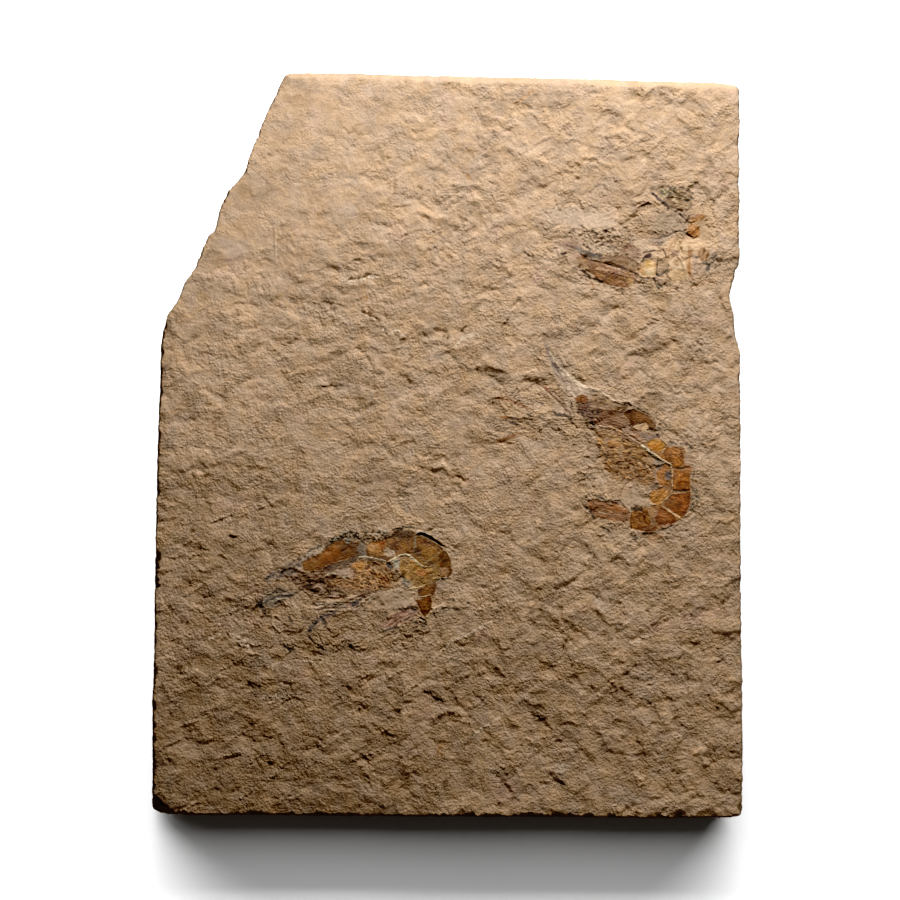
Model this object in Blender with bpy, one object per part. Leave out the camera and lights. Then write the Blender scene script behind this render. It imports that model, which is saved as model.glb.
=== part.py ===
"""Fossil shrimp plate: a split slab of fine-grained limestone with three
amber-brown fossil shrimps lying in its upper face.

Metres, +Z up. The slab lies flat, split face up. The origin is at the middle
of its footprint, on the surface it rests on. +Y runs along the longest side,
towards the edge where the slab's upper left corner is broken away.

The slab is one stone. Each shrimp is the thin flakes that its shell broke
into, and each flake lies in a shallow pocket of the stone's face.
"""

import math

import bpy
import numpy as np
from mathutils.geometry import delaunay_2d_cdt

# ------------------------------------------------------------ dimensions (m)
UNIT = 0.00025            # size of one step of the drawing grid used below
CENTRE = (447.25, 445.5)  # drawing grid point above the origin
THICK = 0.0140            # underside to split face
RELIEF = 0.00012          # swell of the split face
TOP_STEP = 0.0068         # spacing of the face's points
EDGE_STEP = 0.0052        # longest side of the outline's segments
POCKET = 0.0009           # depth of the pockets under the flakes
SINK = 0.0006             # depth of the flakes' undersides below the face
GAP = 0.0003              # clearance round each flake
CROWN = 0.00032           # how far a flake's middle stands over its rim
FLAKE_STEP = 0.0021       # spacing of a flake's inner points


def plan(points):
    """Drawing grid points to metres."""
    return [((x - CENTRE[0]) * UNIT, (CENTRE[1] - y) * UNIT) for x, y in points]


# Outline of the slab, clockwise from its upper left corner: sawn top, right
# side with a chipped notch, sawn foot, left side, and the broken diagonal.
OUTLINE = [
    (281, 82), (286, 76), (292, 72), (340, 72), (370, 73), (400, 74), (450, 75),
    (500, 76), (550, 77), (600, 78), (650, 80), (700, 81), (720, 82), (734, 84),
    (738, 85), (740, 90), (739.5, 150), (740, 250), (740, 264), (736, 270),
    (735, 278), (733, 284), (731, 290), (730, 296), (731, 303), (733, 311),
    (735, 322), (735.5, 330), (737, 340), (739, 347), (740.5, 353), (741, 380),
    (741, 500), (741.5, 600), (743, 700), (743, 790), (743, 810), (741, 815),
    (738, 817), (730, 818), (700, 818), (670, 819), (650, 818.5), (600, 818),
    (500, 817), (400, 817), (330, 816.5), (300, 816), (250, 815.5), (200, 815.5),
    (180, 815), (165, 813.5), (155, 811), (152.5, 808), (151.5, 795), (152, 750),
    (152, 700), (154, 650), (154, 600), (155, 550), (156, 500), (157, 450),
    (159, 400), (160, 360), (161, 340), (162, 333), (165, 323), (167, 315),
    (171, 309), (177, 301), (181, 291), (184, 283), (190, 275), (195, 267),
    (197, 260), (200, 252), (205, 243), (208, 236), (214, 230), (217, 222),
    (219, 212), (222, 201), (228, 190), (234, 184), (240, 176), (246, 167),
    (249, 157), (252, 148), (257, 138), (261, 126), (266, 115), (270, 104),
    (275, 93),
]

# Outlines of the flakes, and the seams between a flake's own plates.
FLAKES = {
    "lower_left_carapace": dict(
        kind="amber",
        outline=[(301, 570), (303, 563), (311, 557), (319, 552.5), (327, 547),
                 (334, 542), (341, 540), (349, 540.5), (356, 541), (362, 543),
                 (365.5, 547), (366, 552), (364, 556), (358, 559), (353, 562),
                 (347, 565.5), (339, 568), (331, 571), (321, 573), (310, 572)],
        seams=[[(310, 567), (325, 561), (340, 556), (356, 552)]],
    ),
    "lower_left_abdomen": dict(
        kind="amber",
        outline=[(366, 546), (371, 541.5), (379, 539), (387, 536.5), (393, 531.5),
                 (401, 530), (410, 530.5), (416, 534), (423, 537), (430, 541),
                 (437, 545.5), (443, 550), (447.5, 556), (450.5, 563), (451.5, 570),
                 (449, 576), (441, 579.5), (434, 582), (426, 586), (419, 590.5),
                 (412, 587.5), (405, 582), (398, 575.5), (392, 567.5), (385, 562.5),
                 (376, 559), (368, 557), (366, 552)],
        seams=[[(371, 554), (380, 555), (389, 558), (396, 556), (404, 554), (411, 557),
                (418, 562), (424, 565)],
               [(384, 541), (390, 548)],
               [(413, 538), (415, 547)],
               [(441, 552), (438, 562), (437, 574)]],
    ),
    "lower_left_tail": dict(
        kind="amber",
        outline=[(419, 590.5), (426, 586), (434, 582), (437, 584), (436.5, 590),
                 (433, 596), (433, 603), (431, 609), (428, 614.5), (424.5, 617),
                 (421, 613), (418.5, 607), (416, 602), (415, 597)],
        seams=[[(419, 597), (425, 595.5), (430, 594)]],
    ),
    "lower_left_legs": dict(
        kind="legs",
        outline=[(290, 579), (296, 574), (303, 572), (310, 572), (321, 573), (331, 571),
                 (339, 568), (347, 565.5), (353, 562), (358, 559), (368, 557), (376, 559),
                 (385, 562.5), (392, 567.5), (398, 575.5), (401, 582), (395, 589),
                 (384, 592), (372, 594), (360, 597), (348, 602), (336, 607), (324, 607),
                 (313, 601), (303, 592), (295, 586)],
        seams=[[(304, 584), (318, 586), (332, 590), (346, 592)],
               [(330, 577), (346, 579), (360, 580), (374, 584)],
               [(356, 568), (368, 574), (380, 582)]],
    ),
    "right_eye": dict(
        kind="dark",
        outline=[(575, 400), (577, 396), (582, 394.5), (587, 396), (589.5, 400),
                 (590, 405), (588, 409), (582, 410), (577, 408.5), (574.5, 405)],
        seams=[],
    ),
    "right_carapace": dict(
        kind="amber",
        outline=[(589.5, 400), (594, 397), (602, 396.5), (610, 399.5), (618, 402.5),
                 (627, 404), (635, 407.5), (642, 410.5), (649, 414), (655, 419),
                 (657.5, 425), (657, 430), (660, 434), (652, 437), (646, 441),
                 (639, 443.5), (632, 440), (624, 435.5), (616, 431), (607, 427.5),
                 (598, 425), (590, 421), (585, 415), (588, 409), (590, 405)],
        seams=[[(594, 408), (606, 411), (618, 414), (628, 421), (636, 430), (646, 434)],
               [(598, 419), (612, 422), (626, 428)]],
    ),
    "right_abdomen": dict(
        kind="amber",
        outline=[(646, 441), (652, 438.5), (658, 438.5), (663, 441.5), (666, 446),
                 (674, 446.5), (682, 447.5), (684.5, 455), (687.5, 462), (691.5, 467),
                 (691.5, 473), (689, 478), (690.5, 485), (690, 492), (690, 499),
                 (689, 507), (686, 514), (681, 519.5), (673, 523.5), (665, 527),
                 (656, 531), (648, 532), (639, 530), (630.5, 529), (629, 521),
                 (630.5, 513), (636, 508), (643, 506), (648, 501), (650, 494),
                 (653, 489.5), (657, 486), (656, 479), (657, 472), (663, 466.5),
                 (658, 459), (651, 453), (645, 447)],
        seams=[[(664, 447), (661, 453), (659, 459)],
               [(668, 466.5), (680, 468.5), (690, 466.5)],
               [(671, 467), (672, 478), (671, 488), (668, 496), (664, 502)],
               [(672, 492), (681, 491), (689, 488.5)],
               [(661, 505), (670, 510), (681, 518)],
               [(650, 509), (653, 519), (650, 529)]],
    ),
    "right_tail_fan": dict(
        kind="dark",
        outline=[(630.5, 513), (629, 521), (624, 522.5), (614, 521.5), (604, 519.5),
                 (596, 517.5), (589, 513), (590, 508), (586, 503), (592, 499.5),
                 (601, 500), (610, 501.5), (619, 503.5), (626, 508)],
        seams=[[(593, 502), (606, 507), (622, 512)],
               [(592, 511), (608, 515), (624, 518)]],
    ),
    "right_legs": dict(
        kind="legs",
        outline=[(594, 430), (600, 426), (607, 427.5), (616, 431), (624, 435.5),
                 (632, 440), (639, 443.5), (645, 447), (651, 453), (658, 459),
                 (663, 466.5), (657, 472), (656, 479), (657, 486), (653, 489.5),
                 (645, 487), (636, 482.5), (626, 481), (616, 482), (609, 476),
                 (604, 467), (600, 457), (597, 447), (599, 438)],
        seams=[[(602, 441), (618, 443), (634, 446)],
               [(602, 452), (620, 453), (640, 456)],
               [(607, 463), (625, 465), (645, 466)],
               [(612, 474), (630, 474), (648, 478)]],
    ),
    "upper_right_carapace": dict(
        kind="amber",
        outline=[(577, 258), (583, 255.5), (591, 258), (600, 259), (609, 257.5),
                 (620, 257.5), (630, 260), (637, 264), (638, 270), (636, 277),
                 (631, 284), (625, 288), (616, 287), (606, 284.5), (598, 281),
                 (591, 275), (584, 269), (578, 263)],
        seams=[[(592, 260), (606, 262), (620, 266), (635, 273)],
               [(594, 268), (608, 276), (624, 281)]],
    ),
    "upper_right_abdomen": dict(
        kind="cream",
        outline=[(638, 270), (639, 263), (644, 258), (652, 257), (660, 258.5),
                 (667, 262), (670, 268), (667, 274), (660, 278), (652, 279.5),
                 (643, 278.5), (636, 277)],
        seams=[[(658, 258), (656, 268), (657, 278)]],
    ),
    "upper_right_tail_fan": dict(
        kind="crust",
        outline=[(649, 189), (656, 185.5), (663, 188), (672, 187), (682, 188),
                 (691, 190), (693.5, 197), (692.5, 204), (691, 209.5), (682, 210),
                 (673, 209), (664, 206), (657, 200), (652, 195)],
        seams=[[(655, 192), (666, 198), (680, 199), (691, 200)]],
    ),
    "upper_right_side_plate": dict(
        kind="amber",
        outline=[(688.5, 215), (695, 212), (703, 212.5), (708.5, 215), (704, 219.5),
                 (699, 223), (700, 229), (700.5, 235), (696, 238), (690, 236.5),
                 (686.5, 231.5), (688, 226), (689, 221)],
        seams=[[(690, 220), (699, 220)]],
    ),
}

COLOURS = {
    "stone": ((0.56, 0.40, 0.25), 0.90),
    "amber": ((0.36, 0.17, 0.045), 0.42),
    "dark": ((0.24, 0.10, 0.035), 0.48),
    "legs": ((0.38, 0.24, 0.13), 0.66),
    "cream": ((0.62, 0.46, 0.26), 0.58),
    "crust": ((0.16, 0.15, 0.12), 0.70),
}


def material(kind):
    """One Principled material for each kind of surface."""
    name = "mat_" + kind
    found = bpy.data.materials.get(name)
    if found:
        return found
    colour, rough = COLOURS[kind]
    mat = bpy.data.materials.new(name)
    mat.use_nodes = True
    shader = mat.node_tree.nodes["Principled BSDF"]
    shader.inputs["Base Color"].default_value = (*colour, 1.0)
    shader.inputs["Roughness"].default_value = rough
    shader.inputs["Metallic"].default_value = 0.0
    mat.diffuse_color = (*colour, 1.0)
    return mat


def face_z(x, y):
    """Height of the split face: long low swells across a flat."""
    return THICK + RELIEF * (
        math.sin(95 * x + 60 * y + 0.7)
        + 0.7 * math.sin(-70 * x + 118 * y + 2.1)
        + 0.5 * math.sin(170 * x + 35 * y + 4.0)
    )


def split(points, longest):
    """Closed outline with no segment longer than longest."""
    out = []
    for (ax, ay), (bx, by) in zip(points, points[1:] + points[:1]):
        n = max(1, math.ceil(math.hypot(bx - ax, by - ay) / longest))
        out += [(ax + (bx - ax) * i / n, ay + (by - ay) * i / n) for i in range(n)]
    return out


def area(points):
    return 0.5 * sum(ax * by - bx * ay
                     for (ax, ay), (bx, by) in zip(points, points[1:] + points[:1]))


def anticlockwise(points):
    return points if area(points) > 0 else points[::-1]


def offset(points, widths):
    """Anticlockwise outline moved inwards by each point's width (outwards if negative)."""
    out = []
    n = len(points)
    for i in range(n):
        (ax, ay), (bx, by), (cx, cy) = points[i - 1], points[i], points[(i + 1) % n]
        la, lb = math.hypot(bx - ax, by - ay), math.hypot(cx - bx, cy - by)
        n1 = (-(by - ay) / la, (bx - ax) / la)
        n2 = (-(cy - by) / lb, (cx - bx) / lb)
        mx, my = n1[0] + n2[0], n1[1] + n2[1]
        m = math.hypot(mx, my)
        mx, my = mx / m, my / m
        stretch = min(1.0 / max(mx * n1[0] + my * n1[1], 0.5), 1.6)
        out.append((bx + mx * widths[i] * stretch, by + my * widths[i] * stretch))
    return out


def to_edge(x, y, points):
    """Distance from a point to an outline."""
    p = np.array(points)
    q = np.roll(p, -1, axis=0)
    d = q - p
    t = ((x - p[:, 0]) * d[:, 0] + (y - p[:, 1]) * d[:, 1]) / (d ** 2).sum(axis=1)
    t = np.clip(t, 0, 1)
    return float(np.min(np.hypot(p[:, 0] + t * d[:, 0] - x, p[:, 1] + t * d[:, 1] - y)))


def inside(x, y, points):
    hit = False
    for (ax, ay), (bx, by) in zip(points, points[1:] + points[:1]):
        if (ay > y) != (by > y) and x < (bx - ax) * (y - ay) / (by - ay) + ax:
            hit = not hit
    return hit


def grid_inside(points, step, margin):
    """Staggered grid points at least margin inside an outline."""
    xs, ys = [p[0] for p in points], [p[1] for p in points]
    rows = math.ceil((max(ys) - min(ys)) / (step * 0.87))
    found = []
    for r in range(rows + 1):
        y = min(ys) + r * step * 0.87
        x = min(xs) + (step / 2 if r % 2 else 0.0)
        while x < max(xs):
            if inside(x, y, points) and to_edge(x, y, points) > margin:
                found.append((x, y))
            x += step
    return found


def triangles(outline, inner, lines):
    """Points and triangles filling an outline, with inner points and lines kept."""
    pts = list(outline) + list(inner)
    edges = []
    for line in lines:
        start = len(pts)
        pts += line
        edges += [(start + i, start + i + 1) for i in range(len(line) - 1)]
    verts, _, faces, _, _, _ = delaunay_2d_cdt(
        pts, edges, [list(range(len(outline)))], 1, 1e-7)
    return [tuple(v) for v in verts], [tuple(f) for f in faces]


def solid(name, verts, faces, kind):
    mesh = bpy.data.meshes.new(name)
    mesh.from_pydata(verts, [], faces)
    mesh.validate()
    mesh.update()
    mesh.materials.append(material(kind))
    obj = bpy.data.objects.new(name, mesh)
    bpy.context.scene.collection.objects.link(obj)
    return obj


def close_below(cap, cap_faces, rings):
    """Closed mesh from a filled top, whose first points are its outline, and the
    rings below it, top to bottom."""
    n = len(rings[0])
    verts = list(cap)
    faces = [f if area([cap[i][:2] for i in f]) > 0 else f[::-1] for f in cap_faces]
    above = list(range(n))
    for ring in rings:
        start = len(verts)
        verts += ring
        below = list(range(start, start + n))
        for i in range(n):
            j = (i + 1) % n
            faces.append((above[i], below[i], below[j], above[j]))
        above = below
    faces.append(tuple(reversed(above)))
    return verts, faces


# ----------------------------------------------------------------- the slab
def wave(i, a, b, c):
    """Smooth irregular value from 0 to 1 along the outline."""
    return 0.5 + 0.25 * (math.sin(a * i + b) + math.sin(1.7 * a * i + c))


def slab():
    rim = anticlockwise(split(plan(OUTLINE), EDGE_STEP))
    n = len(rim)
    corner = plan([(151.5, 813)])[0]
    diagonal = [plan([(281, 82)])[0], plan([(162, 333)])[0]]
    width, drop, waist = [], [], []
    for i, (x, y) in enumerate(rim):
        w = 0.0005 + 0.0005 * wave(i, 1.3, 0.4, 2.0)
        d = 0.0006 + 0.0005 * wave(i, 0.9, 1.4, 0.2)
        back = 0.0003 * wave(i, 0.7, 0.1, 1.1)
        if y > 0.0895:                       # worn arris along the top edge
            w, d = 0.0014 + 0.0006 * wave(i, 1.9, 0, 1), 0.0017
        if x < -0.040 and y > 0.028:         # the broken diagonal edge
            w = 0.0009 + 0.0009 * wave(i, 2.3, 1, 3)
            d = 0.0022 + 0.0016 * wave(i, 1.1, 2, 0)
            back = -0.0006 * wave(i, 1.7, 1, 2)
        reach = math.hypot(x - corner[0], y - corner[1])
        if reach < 0.0062:                   # corner broken off at the lower left
            k = 1 - reach / 0.0062
            w, d = w + 0.0030 * k, d + 0.0065 * k
        width.append(w)
        drop.append(d)
        waist.append(back)
    top = offset(rim, width)
    inner = grid_inside(top, TOP_STEP, TOP_STEP * 0.42)
    flat, faces = triangles(top, inner, [])
    cap = [(x, y, face_z(x, y)) for x, y in flat]
    mid = offset(rim, waist)
    low = offset(rim, [0.5 * abs(w) + 0.0002 for w in waist])
    foot = offset(rim, [0.0011 + 0.0004 * wave(i, 1.5, 2.2, 0.3) for i in range(n)])
    rings = [
        [(x, y, THICK - drop[i]) for i, (x, y) in enumerate(rim)],
        [(x, y, 0.0062 - 0.12 * drop[i]) for i, (x, y) in enumerate(mid)],
        [(x, y, 0.0012) for x, y in low],
        [(x, y, 0.0) for x, y in foot],
    ]
    return solid("limestone_slab", *close_below(cap, faces, rings), "stone")


# --------------------------------------------------------------- the flakes
def flake(name, spec):
    drawn = anticlockwise(split(plan(spec["outline"]), 0.0022))
    n = len(drawn)
    rim = offset(drawn, [GAP / 2] * n)
    pocket = offset(drawn, [-GAP / 2] * n)
    seams = [[p for p in split_open(plan(s), 0.0018)
              if inside(*p, rim) and to_edge(*p, rim) > 0.0004] for s in spec["seams"]]
    seams = [s for s in seams if len(s) > 1]
    inner = [p for p in grid_inside(rim, FLAKE_STEP, FLAKE_STEP * 0.4)
             if all(to_line(*p, s) > FLAKE_STEP * 0.35 for s in seams)]
    flat, faces = triangles(rim, inner, seams)
    cap = []
    for x, y in flat:
        rise = CROWN * min(1.0, to_edge(x, y, rim) / 0.0016)
        near = min((to_line(x, y, s) for s in seams), default=1.0)
        if near < 0.00005:
            rise -= 0.00022
        cap.append((x, y, face_z(x, y) + rise))
    ring = [(x, y, THICK - SINK) for x, y in rim]
    piece = solid(name, *close_below(cap, faces, [ring]), spec["kind"])
    return piece, pocket


def split_open(points, longest):
    out = []
    for (ax, ay), (bx, by) in zip(points, points[1:]):
        k = max(1, math.ceil(math.hypot(bx - ax, by - ay) / longest))
        out += [(ax + (bx - ax) * i / k, ay + (by - ay) * i / k) for i in range(k)]
    return out + [points[-1]]


def to_line(x, y, points):
    best = 1.0
    for (ax, ay), (bx, by) in zip(points, points[1:]):
        dx, dy = bx - ax, by - ay
        t = max(0.0, min(1.0, ((x - ax) * dx + (y - ay) * dy) / (dx * dx + dy * dy)))
        best = min(best, math.hypot(ax + t * dx - x, ay + t * dy - y))
    return best


def cut_pocket(stone, name, outline, depth):
    """Sink a flat-bottomed pocket of an outline into the stone's face."""
    n = len(outline)
    verts = [(x, y, THICK - depth) for x, y in outline]
    verts += [(x, y, THICK + 0.003) for x, y in outline]
    faces = [tuple(reversed(range(n))), tuple(range(n, 2 * n))]
    faces += [(i, (i + 1) % n, n + (i + 1) % n, n + i) for i in range(n)]
    tool = solid("pocket_" + name, verts, faces, "stone")
    tool.hide_render = True
    tool.display_type = "WIRE"
    cut = stone.modifiers.new("pocket_" + name, "BOOLEAN")
    cut.operation = "DIFFERENCE"
    cut.solver = "EXACT"
    cut.object = tool


def main():
    for obj in list(bpy.data.objects):
        bpy.data.objects.remove(obj, do_unlink=True)
    plate = bpy.data.objects.new("fossil_plate", None)
    bpy.context.scene.collection.objects.link(plate)
    stone = slab()
    stone.parent = plate
    for k, (name, spec) in enumerate(FLAKES.items()):
        piece, pocket = flake(name, spec)
        piece.parent = plate
        cut_pocket(stone, name, pocket, POCKET + 0.00002 * k)


main()
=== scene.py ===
"""Looks of the fossil shrimp plate: a split slab of tan limestone with three
amber-brown shrimps in its rough face, lit low from beyond its sawn upper edge.

Lengths in the drawing tables are steps of a 0.25 mm grid, u to the right and v
down the face. Heights are millimetres. Everything is turned into metres where
the meshes are made.
"""

import math

import bpy
import numpy as np
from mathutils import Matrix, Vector
from mathutils.geometry import delaunay_2d_cdt


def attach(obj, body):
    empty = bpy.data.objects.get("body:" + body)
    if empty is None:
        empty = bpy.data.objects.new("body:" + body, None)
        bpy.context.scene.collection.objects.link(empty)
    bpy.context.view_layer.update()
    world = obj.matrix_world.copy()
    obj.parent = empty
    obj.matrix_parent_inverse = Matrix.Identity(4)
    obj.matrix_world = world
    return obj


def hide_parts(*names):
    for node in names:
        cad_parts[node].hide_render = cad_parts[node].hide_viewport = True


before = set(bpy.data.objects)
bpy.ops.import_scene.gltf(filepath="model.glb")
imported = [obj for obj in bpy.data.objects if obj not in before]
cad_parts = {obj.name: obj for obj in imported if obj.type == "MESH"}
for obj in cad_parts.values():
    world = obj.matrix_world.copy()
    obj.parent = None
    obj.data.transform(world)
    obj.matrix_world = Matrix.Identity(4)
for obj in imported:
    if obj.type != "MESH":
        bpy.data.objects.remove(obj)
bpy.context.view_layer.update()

UNIT = 0.00025
CENTRE = (447.25, 445.5)
THICK = 0.0140
MM = 0.001


def plan_x(u):
    return (np.asarray(u, float) - CENTRE[0]) * UNIT


def plan_y(v):
    return (CENTRE[1] - np.asarray(v, float)) * UNIT


# ------------------------------------------------------------------- outlines
OUTLINE = [
    (281, 82), (284.5, 75.6), (288.5, 72.4), (340, 72), (370, 73), (400, 74), (450, 75),
    (500, 76), (550, 77), (600, 78), (650, 80), (700, 81), (720, 82), (734, 84),
    (738, 85), (740, 90), (739.5, 150), (740, 250), (740, 264), (736, 270),
    (735, 278), (733, 284), (731, 290), (730, 296), (731, 303), (733, 311),
    (735, 322), (735.5, 330), (737, 340), (739, 347), (740.5, 353), (741, 380),
    (741, 500), (741.5, 600), (743, 700), (743, 790), (743, 810), (741, 815),
    (738, 817), (730, 818), (700, 818), (670, 819), (650, 818.5), (600, 818),
    (500, 817), (400, 817), (330, 816.5), (300, 816), (250, 815.5), (200, 815.5),
    (180, 815), (166, 814.2), (158, 813.0), (153.6, 810.4), (151.8, 805), (151.5, 795), (152, 750),
    (152, 700), (154, 650), (154, 600), (155, 550), (156, 500), (157, 450),
    (159, 400), (160, 360), (161, 340), (162, 333), (165, 323), (167, 315),
    (171, 309), (177, 301), (181, 291), (184, 283), (190, 275), (195, 267),
    (197, 260), (200, 252), (205, 243), (208, 236), (214, 230), (217, 222),
    (219, 212), (222, 201), (228, 190), (234, 184), (240, 176), (246, 167),
    (249, 157), (252, 148), (257, 138), (261, 126), (266, 115), (270, 104),
    (275, 93),
]

# Stone round each shrimp that is modelled more finely than the rest.
WINDOWS = {
    "lower_left_matrix": [(236, 602), (246, 584), (268, 562), (296, 544), (326, 528), (360, 518),
                          (396, 514), (430, 520), (456, 536), (468, 560), (466, 588), (450, 612),
                          (440, 632), (420, 650), (392, 660), (362, 670), (330, 668), (296, 664),
                          (262, 672), (238, 672), (232, 650), (238, 628)],
    "right_matrix": [(486, 392), (506, 374), (528, 356), (534, 334), (546, 328), (560, 344),
                     (576, 366), (604, 378), (636, 392), (664, 408), (682, 424), (698, 444),
                     (706, 474), (708, 506), (698, 530), (674, 546), (644, 552), (616, 550),
                     (590, 536), (572, 514), (574, 488), (576, 466), (566, 442), (548, 436),
                     (524, 446), (498, 452), (484, 440), (480, 414)],
    "upper_right_matrix": [(536, 222), (546, 202), (580, 196), (616, 200), (640, 190), (648, 176),
                           (676, 174), (704, 180), (714, 202), (724, 228), (724, 262), (712, 284),
                           (686, 296), (650, 300), (614, 300), (580, 292), (556, 272), (540, 248)],
}

FLAKES = {
    "lower_left_carapace": ("amber", [
        (301, 570), (303, 563), (311, 557), (319, 552.5), (327, 547), (334, 542), (341, 540),
        (349, 540.5), (356, 541), (362, 543), (365.5, 547), (366, 552), (364, 556), (358, 559),
        (353, 562), (347, 565.5), (339, 568), (331, 571), (321, 573), (310, 572)]),
    "lower_left_abdomen": ("amber", [
        (366, 546), (371, 541.5), (379, 539), (387, 536.5), (393, 531.5), (401, 530),
        (410, 530.5), (416, 534), (423, 537), (430, 541), (437, 545.5), (443, 550),
        (447.5, 556), (450.5, 563), (451.5, 570), (449, 576), (441, 579.5), (434, 582),
        (426, 586), (419, 590.5), (412, 587.5), (405, 582), (398, 575.5), (392, 567.5),
        (385, 562.5), (376, 559), (368, 557), (366, 552)]),
    "lower_left_tail": ("amber", [
        (419, 590.5), (426, 586), (434, 582), (437, 584), (436.5, 590), (433, 596),
        (433, 603), (431, 609), (428, 614.5), (424.5, 617), (421, 613), (418.5, 607),
        (416, 602), (415, 597)]),
    "lower_left_legs": ("legs", [
        (290, 579), (296, 574), (303, 572), (310, 572), (321, 573), (331, 571), (339, 568),
        (347, 565.5), (353, 562), (358, 559), (368, 557), (376, 559), (385, 562.5),
        (392, 567.5), (398, 575.5), (401, 582), (395, 589), (384, 592), (372, 594),
        (360, 597), (348, 602), (336, 607), (324, 607), (313, 601), (303, 592), (295, 586)]),
    "right_eye": ("dark", [
        (575, 400), (577, 396), (582, 394.5), (587, 396), (589.5, 400), (590, 405),
        (588, 409), (582, 410), (577, 408.5), (574.5, 405)]),
    "right_carapace": ("amber", [
        (589.5, 400), (594, 397), (602, 396.5), (610, 399.5), (618, 402.5), (627, 404),
        (635, 407.5), (642, 410.5), (649, 414), (655, 419), (657.5, 425), (657, 430),
        (660, 434), (652, 437), (646, 441), (639, 443.5), (632, 440), (624, 435.5),
        (616, 431), (607, 427.5), (598, 425), (590, 421), (585, 415), (588, 409), (590, 405)]),
    "right_abdomen": ("amber", [
        (646, 441), (652, 438.5), (658, 438.5), (663, 441.5), (666, 446), (674, 446.5),
        (682, 447.5), (684.5, 455), (687.5, 462), (691.5, 467), (691.5, 473), (689, 478),
        (690.5, 485), (690, 492), (690, 499), (689, 507), (686, 514), (681, 519.5),
        (673, 523.5), (665, 527), (656, 531), (648, 532), (639, 530), (630.5, 529),
        (629, 521), (630.5, 513), (636, 508), (643, 506), (648, 501), (650, 494),
        (653, 489.5), (657, 486), (656, 479), (657, 472), (663, 466.5), (658, 459),
        (651, 453), (645, 447)]),
    "right_tail_fan": ("dark", [
        (630.5, 513), (629, 521), (624, 522.5), (614, 521.5), (604, 519.5), (596, 517.5),
        (589, 513), (590, 508), (586, 503), (592, 499.5), (601, 500), (610, 501.5),
        (619, 503.5), (626, 508)]),
    "right_legs": ("legs", [
        (594, 430), (600, 426), (607, 427.5), (616, 431), (624, 435.5), (632, 440),
        (639, 443.5), (645, 447), (651, 453), (658, 459), (663, 466.5), (657, 472),
        (656, 479), (657, 486), (653, 489.5), (645, 487), (636, 482.5), (626, 481),
        (616, 482), (609, 476), (604, 467), (600, 457), (597, 447), (599, 438)]),
    "upper_right_carapace": ("amber", [
        (577, 258), (583, 255.5), (591, 258), (600, 259), (609, 257.5), (620, 257.5),
        (630, 260), (637, 264), (638, 270), (636, 277), (631, 284), (625, 288),
        (616, 287), (606, 284.5), (598, 281), (591, 275), (584, 269), (578, 263)]),
    "upper_right_abdomen": ("cream", [
        (638, 270), (639, 263), (644, 258), (652, 257), (660, 258.5), (667, 262),
        (670, 268), (667, 274), (660, 278), (652, 279.5), (643, 278.5), (636, 277)]),
    "upper_right_tail_fan": ("crust", [
        (649, 189), (656, 185.5), (663, 188), (672, 187), (682, 188), (691, 190),
        (693.5, 197), (692.5, 204), (691, 209.5), (682, 210), (673, 209), (664, 206),
        (657, 200), (652, 195)]),
    "upper_right_side_plate": ("amber", [
        (688.5, 215), (695, 212), (703, 212.5), (708.5, 215), (704, 219.5), (699, 223),
        (700, 229), (700.5, 235), (696, 238), (690, 236.5), (686.5, 231.5), (688, 226),
        (689, 221)]),
}


# ---------------------------------------------------------------------- noise
def hashed(ix, iy, seed):
    h = (ix.astype(np.int64) * 374761393 + iy.astype(np.int64) * 668265263
         + seed * 2246822519) & 0xFFFFFFFF
    h = ((h ^ (h >> 13)) * 1274126177) & 0xFFFFFFFF
    h = ((h ^ (h >> 15)) * 2246822519) & 0xFFFFFFFF
    return ((h ^ (h >> 16)) & 0xFFFFFF) / float(0xFFFFFF)


def gn(x, y, seed):
    """Gradient noise of about unit rms."""
    x, y = np.asarray(x, float), np.asarray(y, float)
    ix, iy = np.floor(x), np.floor(y)
    fx, fy = x - ix, y - iy
    ux = fx * fx * fx * (fx * (fx * 6 - 15) + 10)
    uy = fy * fy * fy * (fy * (fy * 6 - 15) + 10)

    def corner(a, b):
        t = hashed(ix + a, iy + b, seed) * (2 * math.pi)
        return np.cos(t) * (fx - a) + np.sin(t) * (fy - b)

    low = corner(0, 0) * (1 - ux) + corner(1, 0) * ux
    high = corner(0, 1) * (1 - ux) + corner(1, 1) * ux
    return (low * (1 - uy) + high * uy) / 0.26


def smooth(a, b, x):
    t = np.clip((x - a) / (b - a), 0, 1)
    return t * t * (3 - 2 * t)


# --------------------------------------------------------------- drawn shapes
def to_line(X, Y, pts):
    """Distance to an open line and the share of its length at the nearest point,
    with the side: positive to the left of the way it is drawn."""
    P = np.asarray(pts, float)
    seg = np.diff(P, axis=0)
    length = np.hypot(seg[:, 0], seg[:, 1])
    start = np.r_[0, np.cumsum(length)]
    best = np.full(X.shape, 1e9)
    share = np.zeros(X.shape)
    side = np.zeros(X.shape)
    for k in range(len(seg)):
        dx, dy = seg[k]
        L2 = max(dx * dx + dy * dy, 1e-9)
        t = np.clip(((X - P[k, 0]) * dx + (Y - P[k, 1]) * dy) / L2, 0, 1)
        ex, ey = X - (P[k, 0] + t * dx), Y - (P[k, 1] + t * dy)
        d = np.hypot(ex, ey)
        near = d < best
        best = np.where(near, d, best)
        share = np.where(near, (start[k] + t * length[k]) / start[-1], share)
        side = np.where(near, np.sign(ex * dy - ey * dx), side)
    return best, share, side


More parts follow.
